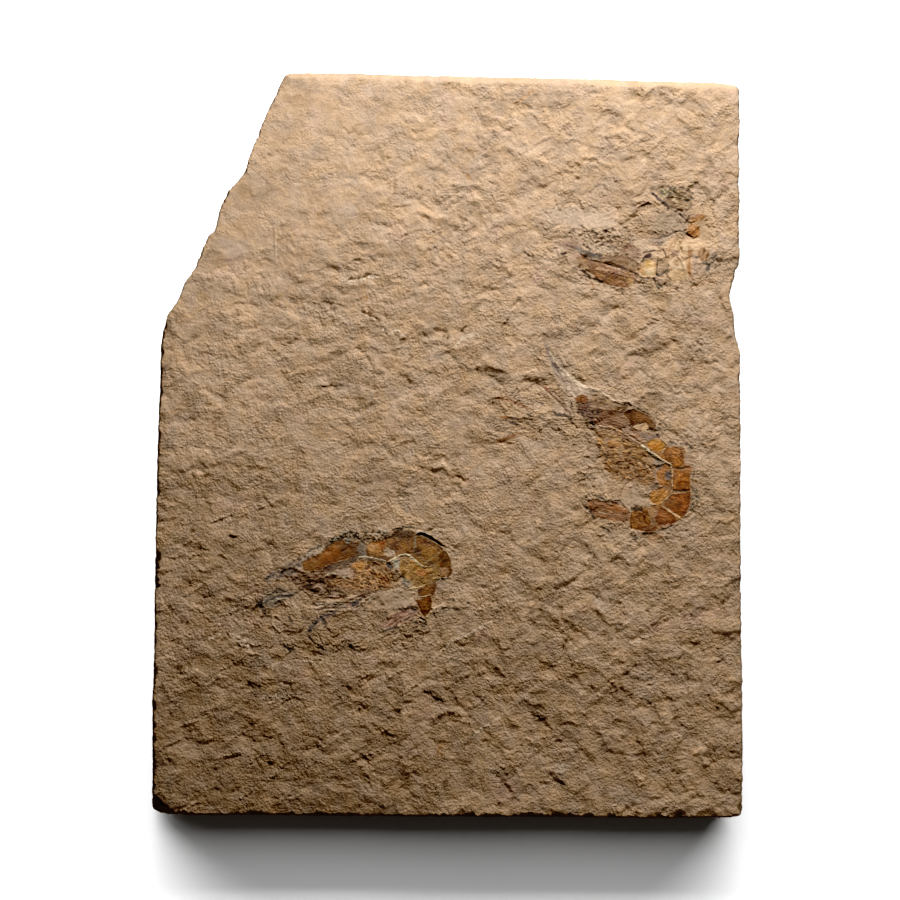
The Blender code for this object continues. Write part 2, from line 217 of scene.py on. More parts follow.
def to_outline(X, Y, pts):
    """Distance to a closed outline, positive inside."""
    P = np.asarray(pts, float)
    Q = np.roll(P, -1, axis=0)
    best = np.full(X.shape, 1e18)
    inside = np.zeros(X.shape, bool)
    for (ax, ay), (bx, by) in zip(P, Q):
        dx, dy = bx - ax, by - ay
        t = np.clip(((X - ax) * dx + (Y - ay) * dy) / max(dx * dx + dy * dy, 1e-9), 0, 1)
        d = (X - ax - t * dx) ** 2 + (Y - ay - t * dy) ** 2
        best = np.minimum(best, d)
        if abs(dy) > 1e-9:
            cross = ((ay > Y) != (by > Y)) & (X < dx * (Y - ay) / dy + ax)
            inside ^= cross
    return np.where(inside, 1, -1) * np.sqrt(best)


def near_box(X, Y, pts, pad):
    P = np.asarray(pts, float)
    return np.nonzero((X > P[:, 0].min() - pad) & (X < P[:, 0].max() + pad)
                      & (Y > P[:, 1].min() - pad) & (Y < P[:, 1].max() + pad))[0]


# ------------------------------------------------------------------ the stone
def swell(x, y):
    return 0.12 * (np.sin(95 * x + 60 * y + 0.7) + 0.7 * np.sin(-70 * x + 118 * y + 2.1)
                   + 0.5 * np.sin(170 * x + 35 * y + 4.0))


def roughness_map(X, Y):
    """How rough the split is: calm towards the upper left, broken below."""
    w = 0.46 + 0.54 * smooth(110, 330, Y + 0.5 * (X - 300))
    w += 0.12 * smooth(520, 720, Y)
    x, y = (X - 450) / 300, (Y - 450) / 370
    w *= np.exp(0.28 + 0.10 * x - 0.28 * y - 0.03 * x * x - 0.13 * y * y)
    w *= (1 + 0.28 * smooth(520, 640, Y)) * (1 - 0.25 * quiet_corner(X, Y))
    return w * (1 + 0.10 * gn(X / 90, Y / 90, 5))


def quiet_corner(X, Y):
    return (1 - smooth(320, 480, X + 0.4 * (Y - 100))) * (1 - smooth(220, 360, Y))


def patchy(X, Y):
    """Rough and calm places in the grain."""
    return gn(X / 34, Y / 26, 15) + 0.5 * gn(X / 13, Y / 11, 16)


def grain_map(X, Y):
    """How strongly the sugary grain stands out."""
    m = 0.72 + 0.70 * smooth(190, 390, Y + 0.3 * (X - 300)) + 0.38 * smooth(480, 700, Y)
    y = (Y - 450) / 370
    m *= np.exp(0.30 - 0.32 * y - 0.16 * y * y)
    m *= (1 + 0.22 * smooth(380, 500, Y) + 0.38 * smooth(540, 680, Y)) * (1 - 0.26 * quiet_corner(X, Y))
    m *= 0.92 - 0.10 * smooth(150, 260, Y) * (1 - smooth(430, 540, Y))
    return m * (0.62 + 0.66 * smooth(-0.9, 1.3, patchy(X, Y)))


def turned(X, Y, angle, stretch):
    """Plan coordinates along and across lines at an angle below the horizontal."""
    a = math.radians(angle)
    return (X * math.cos(a) + Y * math.sin(a)) / stretch, -X * math.sin(a) + Y * math.cos(a)


def chips(wx, wy, angle, cell, rise, seed, dens=0.55, aspect=1.7):
    """Small flakes broken out of the face: a cell of a turned grid may hold one, with a
    sharp lip on its upper side and its floor rising again below."""
    u, v = turned(wx, wy, angle, aspect)
    u, v = u / cell, v / cell
    out = np.zeros(wx.shape)
    iu, iv = np.floor(u), np.floor(v)
    for du in (-1, 0, 1):
        for dv in (-1, 0, 1):
            cu, cv = iu + du, iv + dv
            on = hashed(cu, cv, seed) < dens
            px = cu + 0.5 + 0.7 * (hashed(cu, cv, seed + 1) - 0.5)
            py = cv + 0.5 + 0.7 * (hashed(cu, cv, seed + 2) - 0.5)
            r = 0.35 + 0.55 * hashed(cu, cv, seed + 3)
            tilt = (hashed(cu, cv, seed + 4) - 0.5) * 1.6
            ex, ey = (u - px) / r, (v - py) / r
            lip = smooth(-0.16, 0.0, ey + 0.25 * tilt * ex)
            fade = smooth(1.0, 0.15, ey) * smooth(1.0, 0.62, np.abs(ex))
            out = np.minimum(out, np.where(on, -rise * r * lip * fade, 0.0))
    return out


def split_face(X, Y):
    """The bare split face: height of its body and of its detail in millimetres, and how its colour is paled and
    darkened: crests paled as bruised stone and painted highlight; pits, chips, the lower half and the lower left
    darkened with painted shade."""
    wx = X + 4.0 * gn(X / 31, Y / 31, 11) + 1.8 * gn(X / 10, Y / 10, 12) + 0.7 * gn(X / 4.1, Y / 4.1, 17)
    wy = Y + 4.0 * gn(X / 31, Y / 31, 13) + 1.8 * gn(X / 10, Y / 10, 14) + 0.7 * gn(X / 4.1, Y / 4.1, 18)
    right = smooth(300, 560, X + 0.45 * (Y - 420))
    low = smooth(250, 480, Y)

    def bands(spec, seed, fold=0.0):
        # lumps drawn out along lines that climb to the right, more so at the right
        out = np.zeros(X.shape)
        for k, (c, s) in enumerate(spec):
            for w, angle, st in ((1 - right, -14, 1.35), (right, -38, 1.7)):
                u, v = turned(wx, wy, angle, st)
                n = gn(u / c + 7.3, v / c, seed + k)
                if fold:
                    n = (1 - fold) * n + fold * (0.75 - 1.7 * np.abs(n))
                out += np.sqrt(w) * s * c * 0.25 / 2.6 * n
        return out

    rough = 0.50 + 0.85 * smooth(-0.9, 1.3, patchy(wx, wy))
    fine = np.zeros(X.shape)
    crest = np.zeros(X.shape)
    for k, (c, s) in enumerate(((3.4, 0.055), (5.0, 0.062), (7.6, 0.074))):
        u, v = turned(wx, wy, -24, 2.8)
        n = np.sqrt(1 - 0.8 * low) * gn(wx / (0.9 * c), wy / c, 21 + k) + np.sqrt(0.8 * low) * gn(u / c, v / c, 121 + k)
        fine += s * c * 0.25 / 2.6 * (0.65 * n + 0.35 * (0.75 - 1.7 * np.abs(n)))
        crest += (0.45, 0.35, 0.30)[k] * smooth(0.35, 1.1, n)
    # laminae: the face breaks from one thin bed to the next in small sharp steps, and in
    # the lower half the beds lean away so that their broken edges look up the face
    rise = bands(((11, 0.068), (17, 0.060), (27, 0.040)), 31, 0.15) \
        + (1 - 0.75 * quiet_corner(X, Y)) * bands(((40, 0.014), (62, 0.008), (90, 0.006)), 41)
    step = 0.20
    lean = (0.006 + 0.020 * low) * (wy + 0.5 * right * wx)
    level = (rise + lean) / step + 0.25 * gn(wx / 7, wy / 7, 45)
    fl = np.floor(level)
    f = level - fl
    terraced = (fl + smooth(0.74, 0.96, f)) * step
    body = rise + 0.55 * (terraced - level * step)
    edge = smooth(0.84, 0.95, f) * (1 - smooth(0.97, 1.0, f)) * smooth(-0.2, 0.9, gn(wx / 12, wy / 12, 46))
    broken = (1 - right) * chips(wx, wy, 6, 15, 0.12, 61, 0.42, 1.7) \
        + right * chips(wx, wy, 34, 15, 0.15, 67, 0.45, 1.5) + chips(wx, wy, 20, 8, 0.07, 73, 0.4, 1.3)
    # fine ridges that climb to the right
    u, v = turned(wx, wy, -32, 3.0)
    spine = smooth(0.66, 1.0, 1 - np.abs(gn(u / 13, v / 13, 81)) * 1.6) * smooth(0.2, 1.2, gn(wx / 30, wy / 30, 82)) * np.maximum(0.3 + 0.7 * right, low)
    u, v = turned(wx, wy, -20, 3.2)
    spine = np.maximum(spine, low * smooth(0.70, 1.0, 1 - np.abs(gn(u / 7, v / 7, 83)) * 1.8) * smooth(0.0, 1.0, gn(wx / 19, wy / 15, 84)))
    pits = -0.12 * smooth(1.1, 1.7, gn(wx / 6.2, wy / 4.6, 51) + 0.35 * gn(X / 60, Y / 60, 52))
    r = roughness_map(X, Y)
    # colour change for the material: crests, lips and spines paler as bruised stone and painted highlight, pits and
    # chips darker as painted shade, and painted shade over the lower half and the lower left
    bruising_and_painted_light = (0.25 + 0.75 * low) * (0.9 * edge + 0.85 * spine + 0.5 * crest * rough) + 6.0 * broken + 3.0 * pits - 0.10 \
        - 0.34 * smooth(640, 790, Y) * (1 - smooth(300, 640, X)) - 0.24 * smooth(400, 520, Y) * (1 - smooth(190, 430, X)) - 0.05 * low
    return r * body, r * rough * (fine + pits) + r * (0.5 + 0.5 * low) * (broken + 0.13 * spine), bruising_and_painted_light


# The picture's tones are scene brightness less a small black offset. tone() turns a
# colour as it looks in the picture into the surface's own colour, for the light there.
OFFSET, TOE = 0.070, 0.020
LIFT = (-OFFSET + math.hypot(OFFSET, TOE)) / 2


def tone(r, g, b, light):
    out = []
    for c in (r, g, b):
        c = c / 255
        c = c / 12.92 if c <= 0.04045 else ((c + 0.055) / 1.055) ** 2.4
        w = c + LIFT
        out.append(min(max((OFFSET + w - TOE * TOE / (4 * w)) / light, 0.012), 0.88))
    return np.array(out)


class Face:
    """Points of the face with their height, paint and gloss."""

    def __init__(self, X, Y):
        self.X, self.Y = X, Y
        n = X.shape
        self.body, self.detail, self.bruising_and_painted_light = split_face(X, Y)
        self.calm = np.zeros(n)      # how far the film smooths the stone
        self.own = np.zeros(n)       # height of what is drawn, mm
        self.rgb = np.zeros(n + (3,))
        self.a = np.zeros(n)
        self.gloss = np.zeros(n)
        draw_all(self)

    def over(self, idx, m, colour, gloss=0.0):
        self.rgb[idx] = self.rgb[idx] * (1 - m)[:, None] + np.asarray(colour) * m[:, None]
        self.a[idx] = self.a[idx] * (1 - m) + m
        self.gloss[idx] = self.gloss[idx] * (1 - m) + gloss * m

    def height(self):
        return self.body * (1 - 0.35 * self.calm) + self.detail * (1 - self.calm) + self.own

    def line(self, pts, w, colour=None, alpha=1.0, lift=0.0, soft=0.7, taper=True, wob=0.5,
             gloss=0.0, seed=1, calm=0.0, reach=1.0, drop=0.0):
        """A stroke w wide. lift raises its middle (negative cuts a slit), drop lowers
        the side to the right of the way it is drawn, which makes a small scarp."""
        pad = w / 2 + soft + 3 * wob + (9 if drop else 0) + 2
        idx = near_box(self.X, self.Y, pts, pad)
        if not len(idx):
            return
        X, Y = self.X[idx], self.Y[idx]
        d, t, side = to_line(X, Y, pts)
        half = w / 2 * np.ones(X.shape)
        if taper:
            half = half * np.clip(1.15 * np.sin(np.pi * np.clip(t, 0.02, 0.98)) ** 0.5, 0.15, 1)
        half = half * (1 + 0.25 * gn(X / 5, Y / 5, 60 + seed))
        dn = d + wob * gn(X / 3.2, Y / 3.2, 61 + seed)
        m = 1 - smooth(half - soft, half + soft, dn)
        if colour is not None:
            self.over(idx, np.clip(m * alpha, 0, 1), colour, gloss)
        if lift:
            self.own[idx] += lift * np.exp(-(dn / np.maximum(half * 0.9 * reach, 0.3)) ** 2) \
                * np.clip(half / (w / 2), 0, 1)
        if drop:
            fade = np.exp(-(d / 7.0) ** 2) * np.sin(np.pi * np.clip(t, 0, 1)) ** 0.5
            self.own[idx] += -drop * smooth(-0.8, 0.8, -side * dn) * fade
        if calm:
            self.calm[idx] = np.maximum(self.calm[idx], calm * m)

    def streaks(self, pts, angle, pitch, length, lift, dark=None, pale=None, alpha=0.8, soft=1.5,
                rag=0.8, seed=1, gloss=0.2, sharp=0.5):
        """Wrinkles at an angle (degrees below the horizontal) inside an outline: their
        backs rise and can be paler, the lines between them darker."""
        idx = near_box(self.X, self.Y, pts, soft + 3 * rag + 2)
        if not len(idx):
            return
        X, Y = self.X[idx], self.Y[idx]
        sd = to_outline(X, Y, pts) + rag * gn(X / 4.5, Y / 4.5, 170 + seed)
        m = smooth(-soft, soft, sd)
        a = math.radians(angle)
        u = X * math.cos(a) + Y * math.sin(a)
        v = -X * math.sin(a) + Y * math.cos(a)
        v = v + 1.3 * pitch * 0.5 * gn(u / (length * 0.8), v / (pitch * 3), 173 + seed)
        n = gn(u / length, v / pitch, 171 + seed) + 0.45 * gn(u / (length * 0.5), v / (pitch * 0.55), 172 + seed)
        ridge = np.tanh(1.4 * n)
        self.own[idx] += lift * ridge * m
        if dark is not None:
            self.over(idx, np.clip(m * alpha * smooth(0.1 + sharp * 0.3, 0.1 + sharp, -n * 0.6), 0, 1), dark, gloss)
        if pale is not None:
            self.over(idx, np.clip(m * alpha * smooth(0.1 + sharp * 0.3, 0.1 + sharp, n * 0.6), 0, 1), pale, gloss)

    def patch(self, pts, colour=None, alpha=1.0, soft=1.5, rag=1.0, lift=0.0, gloss=0.0,
              seed=1, calm=0.0, mottle=0.0, scale=6.0, dome=0.0):
        """A filled outline with a ragged soft edge."""
        idx = near_box(self.X, self.Y, pts, soft + 3 * rag + 2)
        if not len(idx):
            return
        X, Y = self.X[idx], self.Y[idx]
        sd = to_outline(X, Y, pts)
        sn = sd + rag * gn(X / 4.5, Y / 4.5, 70 + seed) + 0.5 * rag * gn(X / 2.1, Y / 2.1, 71 + seed)
        m = smooth(-soft, soft, sn)
        if mottle:
            m = m * np.clip(1 - mottle * (0.5 + 0.6 * gn(X / scale, Y / scale, 72 + seed)), 0, 1)
        if colour is not None:
            self.over(idx, np.clip(m * alpha, 0, 1), colour, gloss)
        if lift:
            self.own[idx] += lift * m
        if dome:
            self.own[idx] += dome * smooth(0, 9, sd)
            # painted shade: a domed plate's colour is darkened towards its edge, so that it looks rounded
            self.rgb[idx] *= (1 - 0.30 * m * (1 - smooth(0.5, 5.5, sd + 1.6 * gn(X / 6, Y / 6, 73 + seed))))[:, None]
        if calm:
            self.calm[idx] = np.maximum(self.calm[idx], calm * smooth(-soft, soft, sn))


# ------------------------------------------------------- what is drawn on it
def draw_stone(f):
    """Marks of the bare stone: cracks, pits and small scarps darkened with painted shade, pale ridges with painted
    highlight, rust spots and smooth grey places."""
    dark, dusk, dull = np.array((0.13, 0.085, 0.052)), np.array((0.25, 0.17, 0.108)), np.array((0.40, 0.28, 0.185))
    pale, cream = np.array((0.74, 0.56, 0.40)), np.array((0.84, 0.67, 0.50))
    grey, blue = np.array((0.55, 0.43, 0.335)), np.array((0.40, 0.34, 0.29))
    rust, orange = np.array((0.47, 0.24, 0.10)), np.array((0.62, 0.38, 0.20))

    # a small step in the face; its dark line is painted shade below the step
    def scarp(pts, w, drop, colour=dusk, alpha=0.55, seed=1):
        f.line(pts, w * 1.1, colour, min(alpha + 0.15, 0.9), -0.07, 0.6, wob=0.7, seed=seed, drop=drop * 1.3)

    # a raised crest; its pale colour is a painted highlight
    def ridge(pts, w, lift, colour=pale, alpha=0.6, seed=1):
        f.line(pts, w * 1.15, colour, alpha + 0.15, lift * 1.35, 0.55, wob=1.0, seed=seed)

    # a small hollow, darkened with painted shade
    def pit(x, y, w=2.6, dx=3.0, dy=0.8, colour=dark, alpha=0.7, deep=0.14):
        f.line([(x - dx / 2, y - dy / 2), (x + dx / 2, y + dy / 2)], w, colour, alpha + 0.1, -deep, 0.8, wob=1.0, taper=False,
               seed=int(x * 3 + y) % 97)

    # smooth greyish places in the calm upper part
    for pts, a, c, k in (
            ([(219, 241), (232, 238), (246, 243), (245, 252), (232, 257), (221, 251)], 0.45, 0.5, 701),
            ([(339, 206), (350, 203), (359, 208), (356, 216), (345, 217)], 0.5, 0.5, 702),
            ([(359, 85), (368, 82), (377, 88), (374, 96), (363, 95)], 0.45, 0.5, 703),
            ([(247, 120), (258, 112), (268, 118), (262, 130), (250, 132)], 0.25, 0.3, 704),
            ([(610, 790), (620, 782), (630, 790), (640, 800), (630, 808), (616, 804)], 0.45, 0.5, 705),
            ([(552, 764), (560, 761), (570, 766), (566, 774), (555, 772)], 0.45, 0.4, 706),
            ([(256, 655), (266, 652), (274, 660), (268, 668), (258, 664)], 0.35, 0.3, 707)):
        f.patch(pts, grey, a, 2.4, 1.4, calm=c, gloss=0.05, seed=k)
    f.line([(273, 226), (273.6, 238), (274, 256)], 1.5, dull, 0.75, -0.05, 0.5, wob=0.15, seed=708)
    f.line([(275.6, 228), (276, 242), (276, 256)], 1.0, cream, 0.45, 0.03, 0.5, wob=0.15, seed=709)

    # cracks and scarps of the upper half
    for pts, w, k in (([(348, 279), (356, 278.4), (362, 277), (370, 274), (379, 276)], 2.0, 710),
                      ([(322, 301), (333, 303), (345, 306)], 1.7, 711),
                      ([(360, 310), (370, 315), (380, 320)], 2.4, 712),
                      ([(302, 236), (315, 239), (330, 241)], 1.4, 713),
                      ([(415, 231), (427, 230), (440, 231)], 1.4, 714),
                      ([(260, 176), (266, 181), (270, 186)], 2.0, 715),
                      ([(312, 160), (320, 160), (328, 160)], 1.3, 716),
                      ([(460, 331), (464, 328), (468, 325)], 2.0, 717),
                      ([(503, 324), (506, 322), (508, 319)], 2.2, 718),
                      ([(523, 251), (527, 254), (532, 257)], 2.2, 719)):
        scarp(pts, w, 0.10 if k < 713 or k > 716 else 0.05, dark if k < 713 or k > 716 else dull, 0.7 if k < 713 or k > 716 else 0.3, k)
    ridge([(350, 281.6), (363, 279.4), (371, 276.6), (380, 278.6)], 1.3, 0.07, cream, 0.6, 720)
    ridge([(360, 313), (370, 318.4), (379, 323)], 1.6, 0.09, pale, 0.6, 721)
    ridge([(380, 328), (390, 334), (396, 330), (405, 336)], 1.6, 0.08, cream, 0.6, 722)
    for x, y in ((388, 333), (396, 337), (403, 339), (420, 187), (402, 340), (445, 332), (446, 337)):
        pit(x, y, 2.0, 3.2, 0.8, dark, 0.65, 0.11)
    f.line([(316, 386.4), (324, 386.8), (331, 385.8), (337, 386), (345, 385.6)], 2.3, dark, 0.92, -0.14, 0.6, wob=0.3, seed=723)
    f.line([(335, 384), (341, 381), (352, 383), (362, 382), (368, 385), (366, 392)], 1.3, dull, 0.6, -0.06, 0.6, wob=0.4, taper=False, seed=724)
    f.line([(336, 390), (344, 396), (354, 393), (365, 396)], 1.2, dull, 0.6, -0.05, 0.6, wob=0.4, seed=725)
    f.patch([(338, 384), (352, 385), (366, 386), (364, 394), (346, 395), (337, 391)], grey, 0.35, 2.0, 1.0, calm=0.4, seed=726)
    f.patch([(262, 414), (276, 412), (290, 418), (288, 427), (272, 426), (262, 421)], dull, 0.45, 3.0, 2.0, lift=-0.06, seed=727)
    f.patch([(236, 465), (248, 464), (256, 472), (250, 478), (238, 475)], dull, 0.45, 2.6, 2.0, lift=-0.06, seed=728)
    ridge([(455, 345), (462, 340), (470, 336), (478, 334)], 2.4, 0.09, cream, 0.5, 729)

    # rust threads and orange stains
    f.line([(514, 104), (520, 100), (526, 97), (530, 92), (536, 90)], 1.4, rust, 0.7, 0.0, 0.6, wob=0.4, seed=730)
    f.line([(519, 101), (524, 104), (530, 106)], 1.2, rust, 0.6, 0.0, 0.6, wob=0.4, seed=731)
    for x, y, w, c, a in ((365, 297, 3.4, rust, 0.6), (362, 299, 2.2, orange, 0.6), (317, 214, 3.0, orange, 0.55), (322, 207, 2.2, orange, 0.55),
                          (319, 220, 2.2, rust, 0.4), (315, 345, 2.6, orange, 0.45), (468, 177, 3.4, rust, 0.55), (470, 181, 2.2, orange, 0.5),
                          (325, 438, 2.6, orange, 0.5), (264, 472, 2.6, orange, 0.45), (269, 478, 2.4, orange, 0.45), (360, 500, 2.6, rust, 0.35),
                          (464, 371, 2.4, orange, 0.6), (464, 377, 2.6, rust, 0.55), (465, 383, 2.4, orange, 0.6), (285, 110, 2.4, orange, 0.35),
                          (375, 398, 2.2, orange, 0.45), (362, 402, 2.4, orange, 0.5), (364, 410, 2.2, orange, 0.45)):
        f.line([(x - 1, y - 0.6), (x + 1.2, y + 0.7)], w, c, a, 0.0, 1.0, wob=0.7, taper=False, seed=int(x) % 89)
    f.line([(437, 757), (438, 751), (441, 746), (445, 744)], 1.4, rust, 0.65, 0.0, 0.6, wob=0.4, seed=732)
    f.line([(440, 760), (442, 754), (443, 748)], 1.2, rust, 0.5, 0.0, 0.7, wob=0.4, seed=733)
    f.line([(555, 675), (558, 678), (562, 680)], 1.6, rust, 0.5, 0.0, 0.7, wob=0.4, seed=734)
    f.line([(190, 556.6), (202, 557.6), (215, 557)], 1.2, orange, 0.5, 0.0, 0.7, wob=0.5, seed=735)

    # broken lower half: pits, scarps and pale ridges that climb to the right
    for x, y, w, dx, dy in ((648, 612, 3.4, 3, 2), (606, 636, 4.0, 9, 5), (690, 679, 4.4, 8, 5), (630, 695, 2.6, 3, 2), (719, 661, 3.0, 7, -3),
                            (717, 708, 2.6, 3, 2), (610, 689, 3.2, 7, -2), (693, 615, 3.0, 5, 3), (248, 687, 3.6, 12, -3), (249, 726, 4.2, 16, -7),
                            (190, 734, 3.0, 4, 1), (268, 763, 3.2, 6, 2), (720, 549, 2.4, 2, 1), (722, 552, 2.0, 2, 1), (286, 647, 3.0, 6, 2),
                            (176, 668, 3.2, 8, 4), (164, 690, 3.6, 5, 8), (172, 715, 3.0, 6, 3), (205, 655, 3.0, 8, 2), (225, 640, 2.6, 7, -2),
                            (240, 664, 2.6, 8, -3), (214, 760, 2.6, 6, 2), (180, 780, 2.8, 7, -2), (236, 790, 3.2, 7, -3), (305, 775, 3.0, 7, 2),
                            (352, 760, 2.8, 8, 3), (336, 705, 2.8, 8, -3), (376, 726, 2.8, 7, 3), (404, 774, 3.2, 8, 5), (486, 742, 2.8, 6, 4),
                            (520, 690, 2.8, 6, 4), (584, 716, 3.0, 7, 5), (640, 744, 3.0, 7, 5), (676, 772, 3.0, 8, 4), (712, 748, 2.8, 6, 3),
                            (700, 796, 2.8, 6, 3), (540, 600, 2.6, 6, 3), (510, 556, 2.4, 6, 3), (588, 566, 2.6, 6, 4), (650, 566, 2.4, 6, 3),
                            (470, 640, 2.6, 6, 3), (200, 604, 2.6, 7, 2), (184, 622, 2.6, 6, 3), (222, 590, 2.4, 7, -2)):
        pit(x, y, w * 0.9, dx, dy, dark, 0.48, 0.13)
    for pts, w, k in (([(538, 660), (547, 664), (557, 672)], 3.0, 740), ([(495, 772), (504, 782), (513, 793)], 3.0, 741),
                      ([(527, 710), (539, 718), (553, 730)], 3.0, 742), ([(423, 690), (434, 697), (447, 703)], 2.6, 743),
                      ([(640, 650), (650, 658), (660, 668)], 2.6, 744), ([(576, 744), (586, 754), (596, 766)], 2.8, 745),
                      ([(470, 690), (480, 698), (488, 708)], 2.6, 746), ([(392, 742), (404, 748), (414, 757)], 2.6, 747),
                      ([(200, 497), (208, 498.6)], 2.0, 748), ([(200, 547), (210, 551)], 2.0, 749), ([(228, 536), (237, 537)], 2.0, 750),
                      ([(219, 555), (226, 559)], 2.0, 751), ([(184, 583), (191, 585)], 2.0, 752), ([(660, 690), (670, 700), (678, 712)], 2.6, 753),
                      ([(602, 676), (612, 684), (622, 695)], 2.6, 754), ([(690, 640), (700, 648), (708, 658)], 2.4, 755),
                      ([(470, 520), (479, 526), (487, 533)], 2.2, 756), ([(540, 540), (550, 546), (558, 553)], 2.2, 757),
                      ([(556, 628), (565, 634), (574, 642)], 2.4, 758), ([(648, 700), (655, 709), (660, 720)], 2.6, 759),
                      ([(300, 690), (312, 694), (322, 700)], 2.4, 760), ([(262, 736), (276, 740), (288, 747)], 2.4, 761),
                      ([(300, 732), (312, 737), (322, 742)], 2.4, 762), ([(340, 784), (352, 789), (362, 795)], 2.4, 763),
                      ([(170, 640), (182, 645), (192, 652)], 2.4, 764), ([(160, 750), (168, 757), (174, 766)], 2.4, 765)):
        known = k in (740, 741, 742, 743, 748, 749, 750, 751, 752)
        scarp(pts, w * (1.0 if known else 0.85), 0.16 if known else 0.10, dark if known else dusk, 0.5 if known else 0.28, k)
    for pts, w, k in (([(441, 650), (455, 641), (472, 632), (495, 620)], 1.9, 770), ([(624, 650), (636, 642), (650, 634)], 1.9, 771),
                      ([(619, 602), (625, 598), (630, 595)], 1.6, 772), ([(468, 740), (484, 727), (503, 717)], 1.9, 773),
                      ([(260, 700), (266, 694), (272, 697), (280, 692)], 1.3, 774), ([(234, 640), (240, 644), (246, 646), (254, 644)], 1.3, 775),
                      ([(260, 664), (270, 667), (278, 663), (290, 668)], 1.3, 776), ([(270, 702), (280, 698), (292, 694), (300, 692)], 1.2, 777),
                      ([(206, 640), (220, 634), (234, 636), (246, 641)], 1.4, 778), ([(300, 660), (316, 664), (330, 662)], 1.2, 779),
                      ([(150 + 20, 676), (184, 671), (198, 668)], 1.3, 780), ([(560, 610), (574, 602), (588, 592)], 1.6, 781),
                      ([(520, 650), (533, 642), (548, 632)], 1.6, 782), ([(590, 700), (604, 690), (617, 678)], 1.6, 783),
                      ([(650, 756), (664, 746), (680, 734)], 1.7, 784), ([(430, 790), (444, 780), (458, 768)], 1.7, 785),
                      ([(360, 700), (374, 692), (389, 686)], 1.5, 786), ([(330, 760), (345, 754), (361, 750)], 1.4, 787),
                      ([(240, 770), (256, 764), (273, 761)], 1.3, 788), ([(540, 790), (553, 778), (567, 768)], 1.7, 789),
                      ([(680, 600), (694, 591), (708, 580)], 1.6, 790), ([(640, 690), (655, 680), (670, 667)], 1.6, 791),
                      ([(704, 700), (716, 690), (728, 678)], 1.6, 792), ([(480, 596), (494, 588), (508, 577)], 1.5, 793),
                      ([(380, 655), (392, 650), (405, 647)], 1.4, 794), ([(610, 555), (622, 547), (636, 537)], 1.4, 795),
                      ([(520, 420), (532, 412), (545, 404)], 1.3, 796), ([(400, 500), (412, 495), (426, 491)], 1.3, 797),
                      ([(640, 330), (652, 322), (666, 312)], 1.4, 798), ([(460, 300), (472, 292), (486, 285)], 1.4, 799)):
        clear = k < 780
        ridge(pts, w, 0.13 if clear else 0.08, cream if clear else pale, 0.5 if clear else 0.2, k)
    # thin torn ridges that climb to the right in the lower left, each with a painted highlight on its crest and painted
    # shade at its foot
    rng = np.random.default_rng(871)
    for k in range(70):
        x, y, a, n = rng.uniform(168, 430), rng.uniform(500, 800), math.radians(rng.normal(-25, 8)), rng.uniform(6, 16)
        bow, w, lift = rng.uniform(-1.6, 1.6), rng.uniform(1.1, 1.6), rng.uniform(0.08, 0.13)
        if 240 < x < 460 and 515 < y < 665:
            continue
        dx, dy = n * math.cos(a), n * math.sin(a)
        pts = [(x - dx, y - dy), (x + 0.4 * bow, y + bow), (x + dx, y + dy)]
        ridge(pts, w, lift, pale, 0.32, 900 + k)
        scarp([(px + 0.5, py + 1.7) for px, py in pts], 1.5, 0.08, dull, 0.24, 980 + k)
    # short cracks by the right and left edges
    f.line([(169, 316), (171, 322), (170, 330), (172, 336)], 1.4, dark, 0.7, -0.08, 0.6, wob=0.5, seed=800)
    f.line([(175, 312), (176, 320), (175, 328)], 1.2, dusk, 0.6, -0.06, 0.6, wob=0.5, seed=801)
    for q in ((168, 321), (171.6, 333), (166.6, 329)):
        f.line([q, (q[0] + 1, q[1] + 2)], 2.2, dark, 0.65, -0.08, 0.8, wob=0.7, taper=False, seed=int(q[1]))


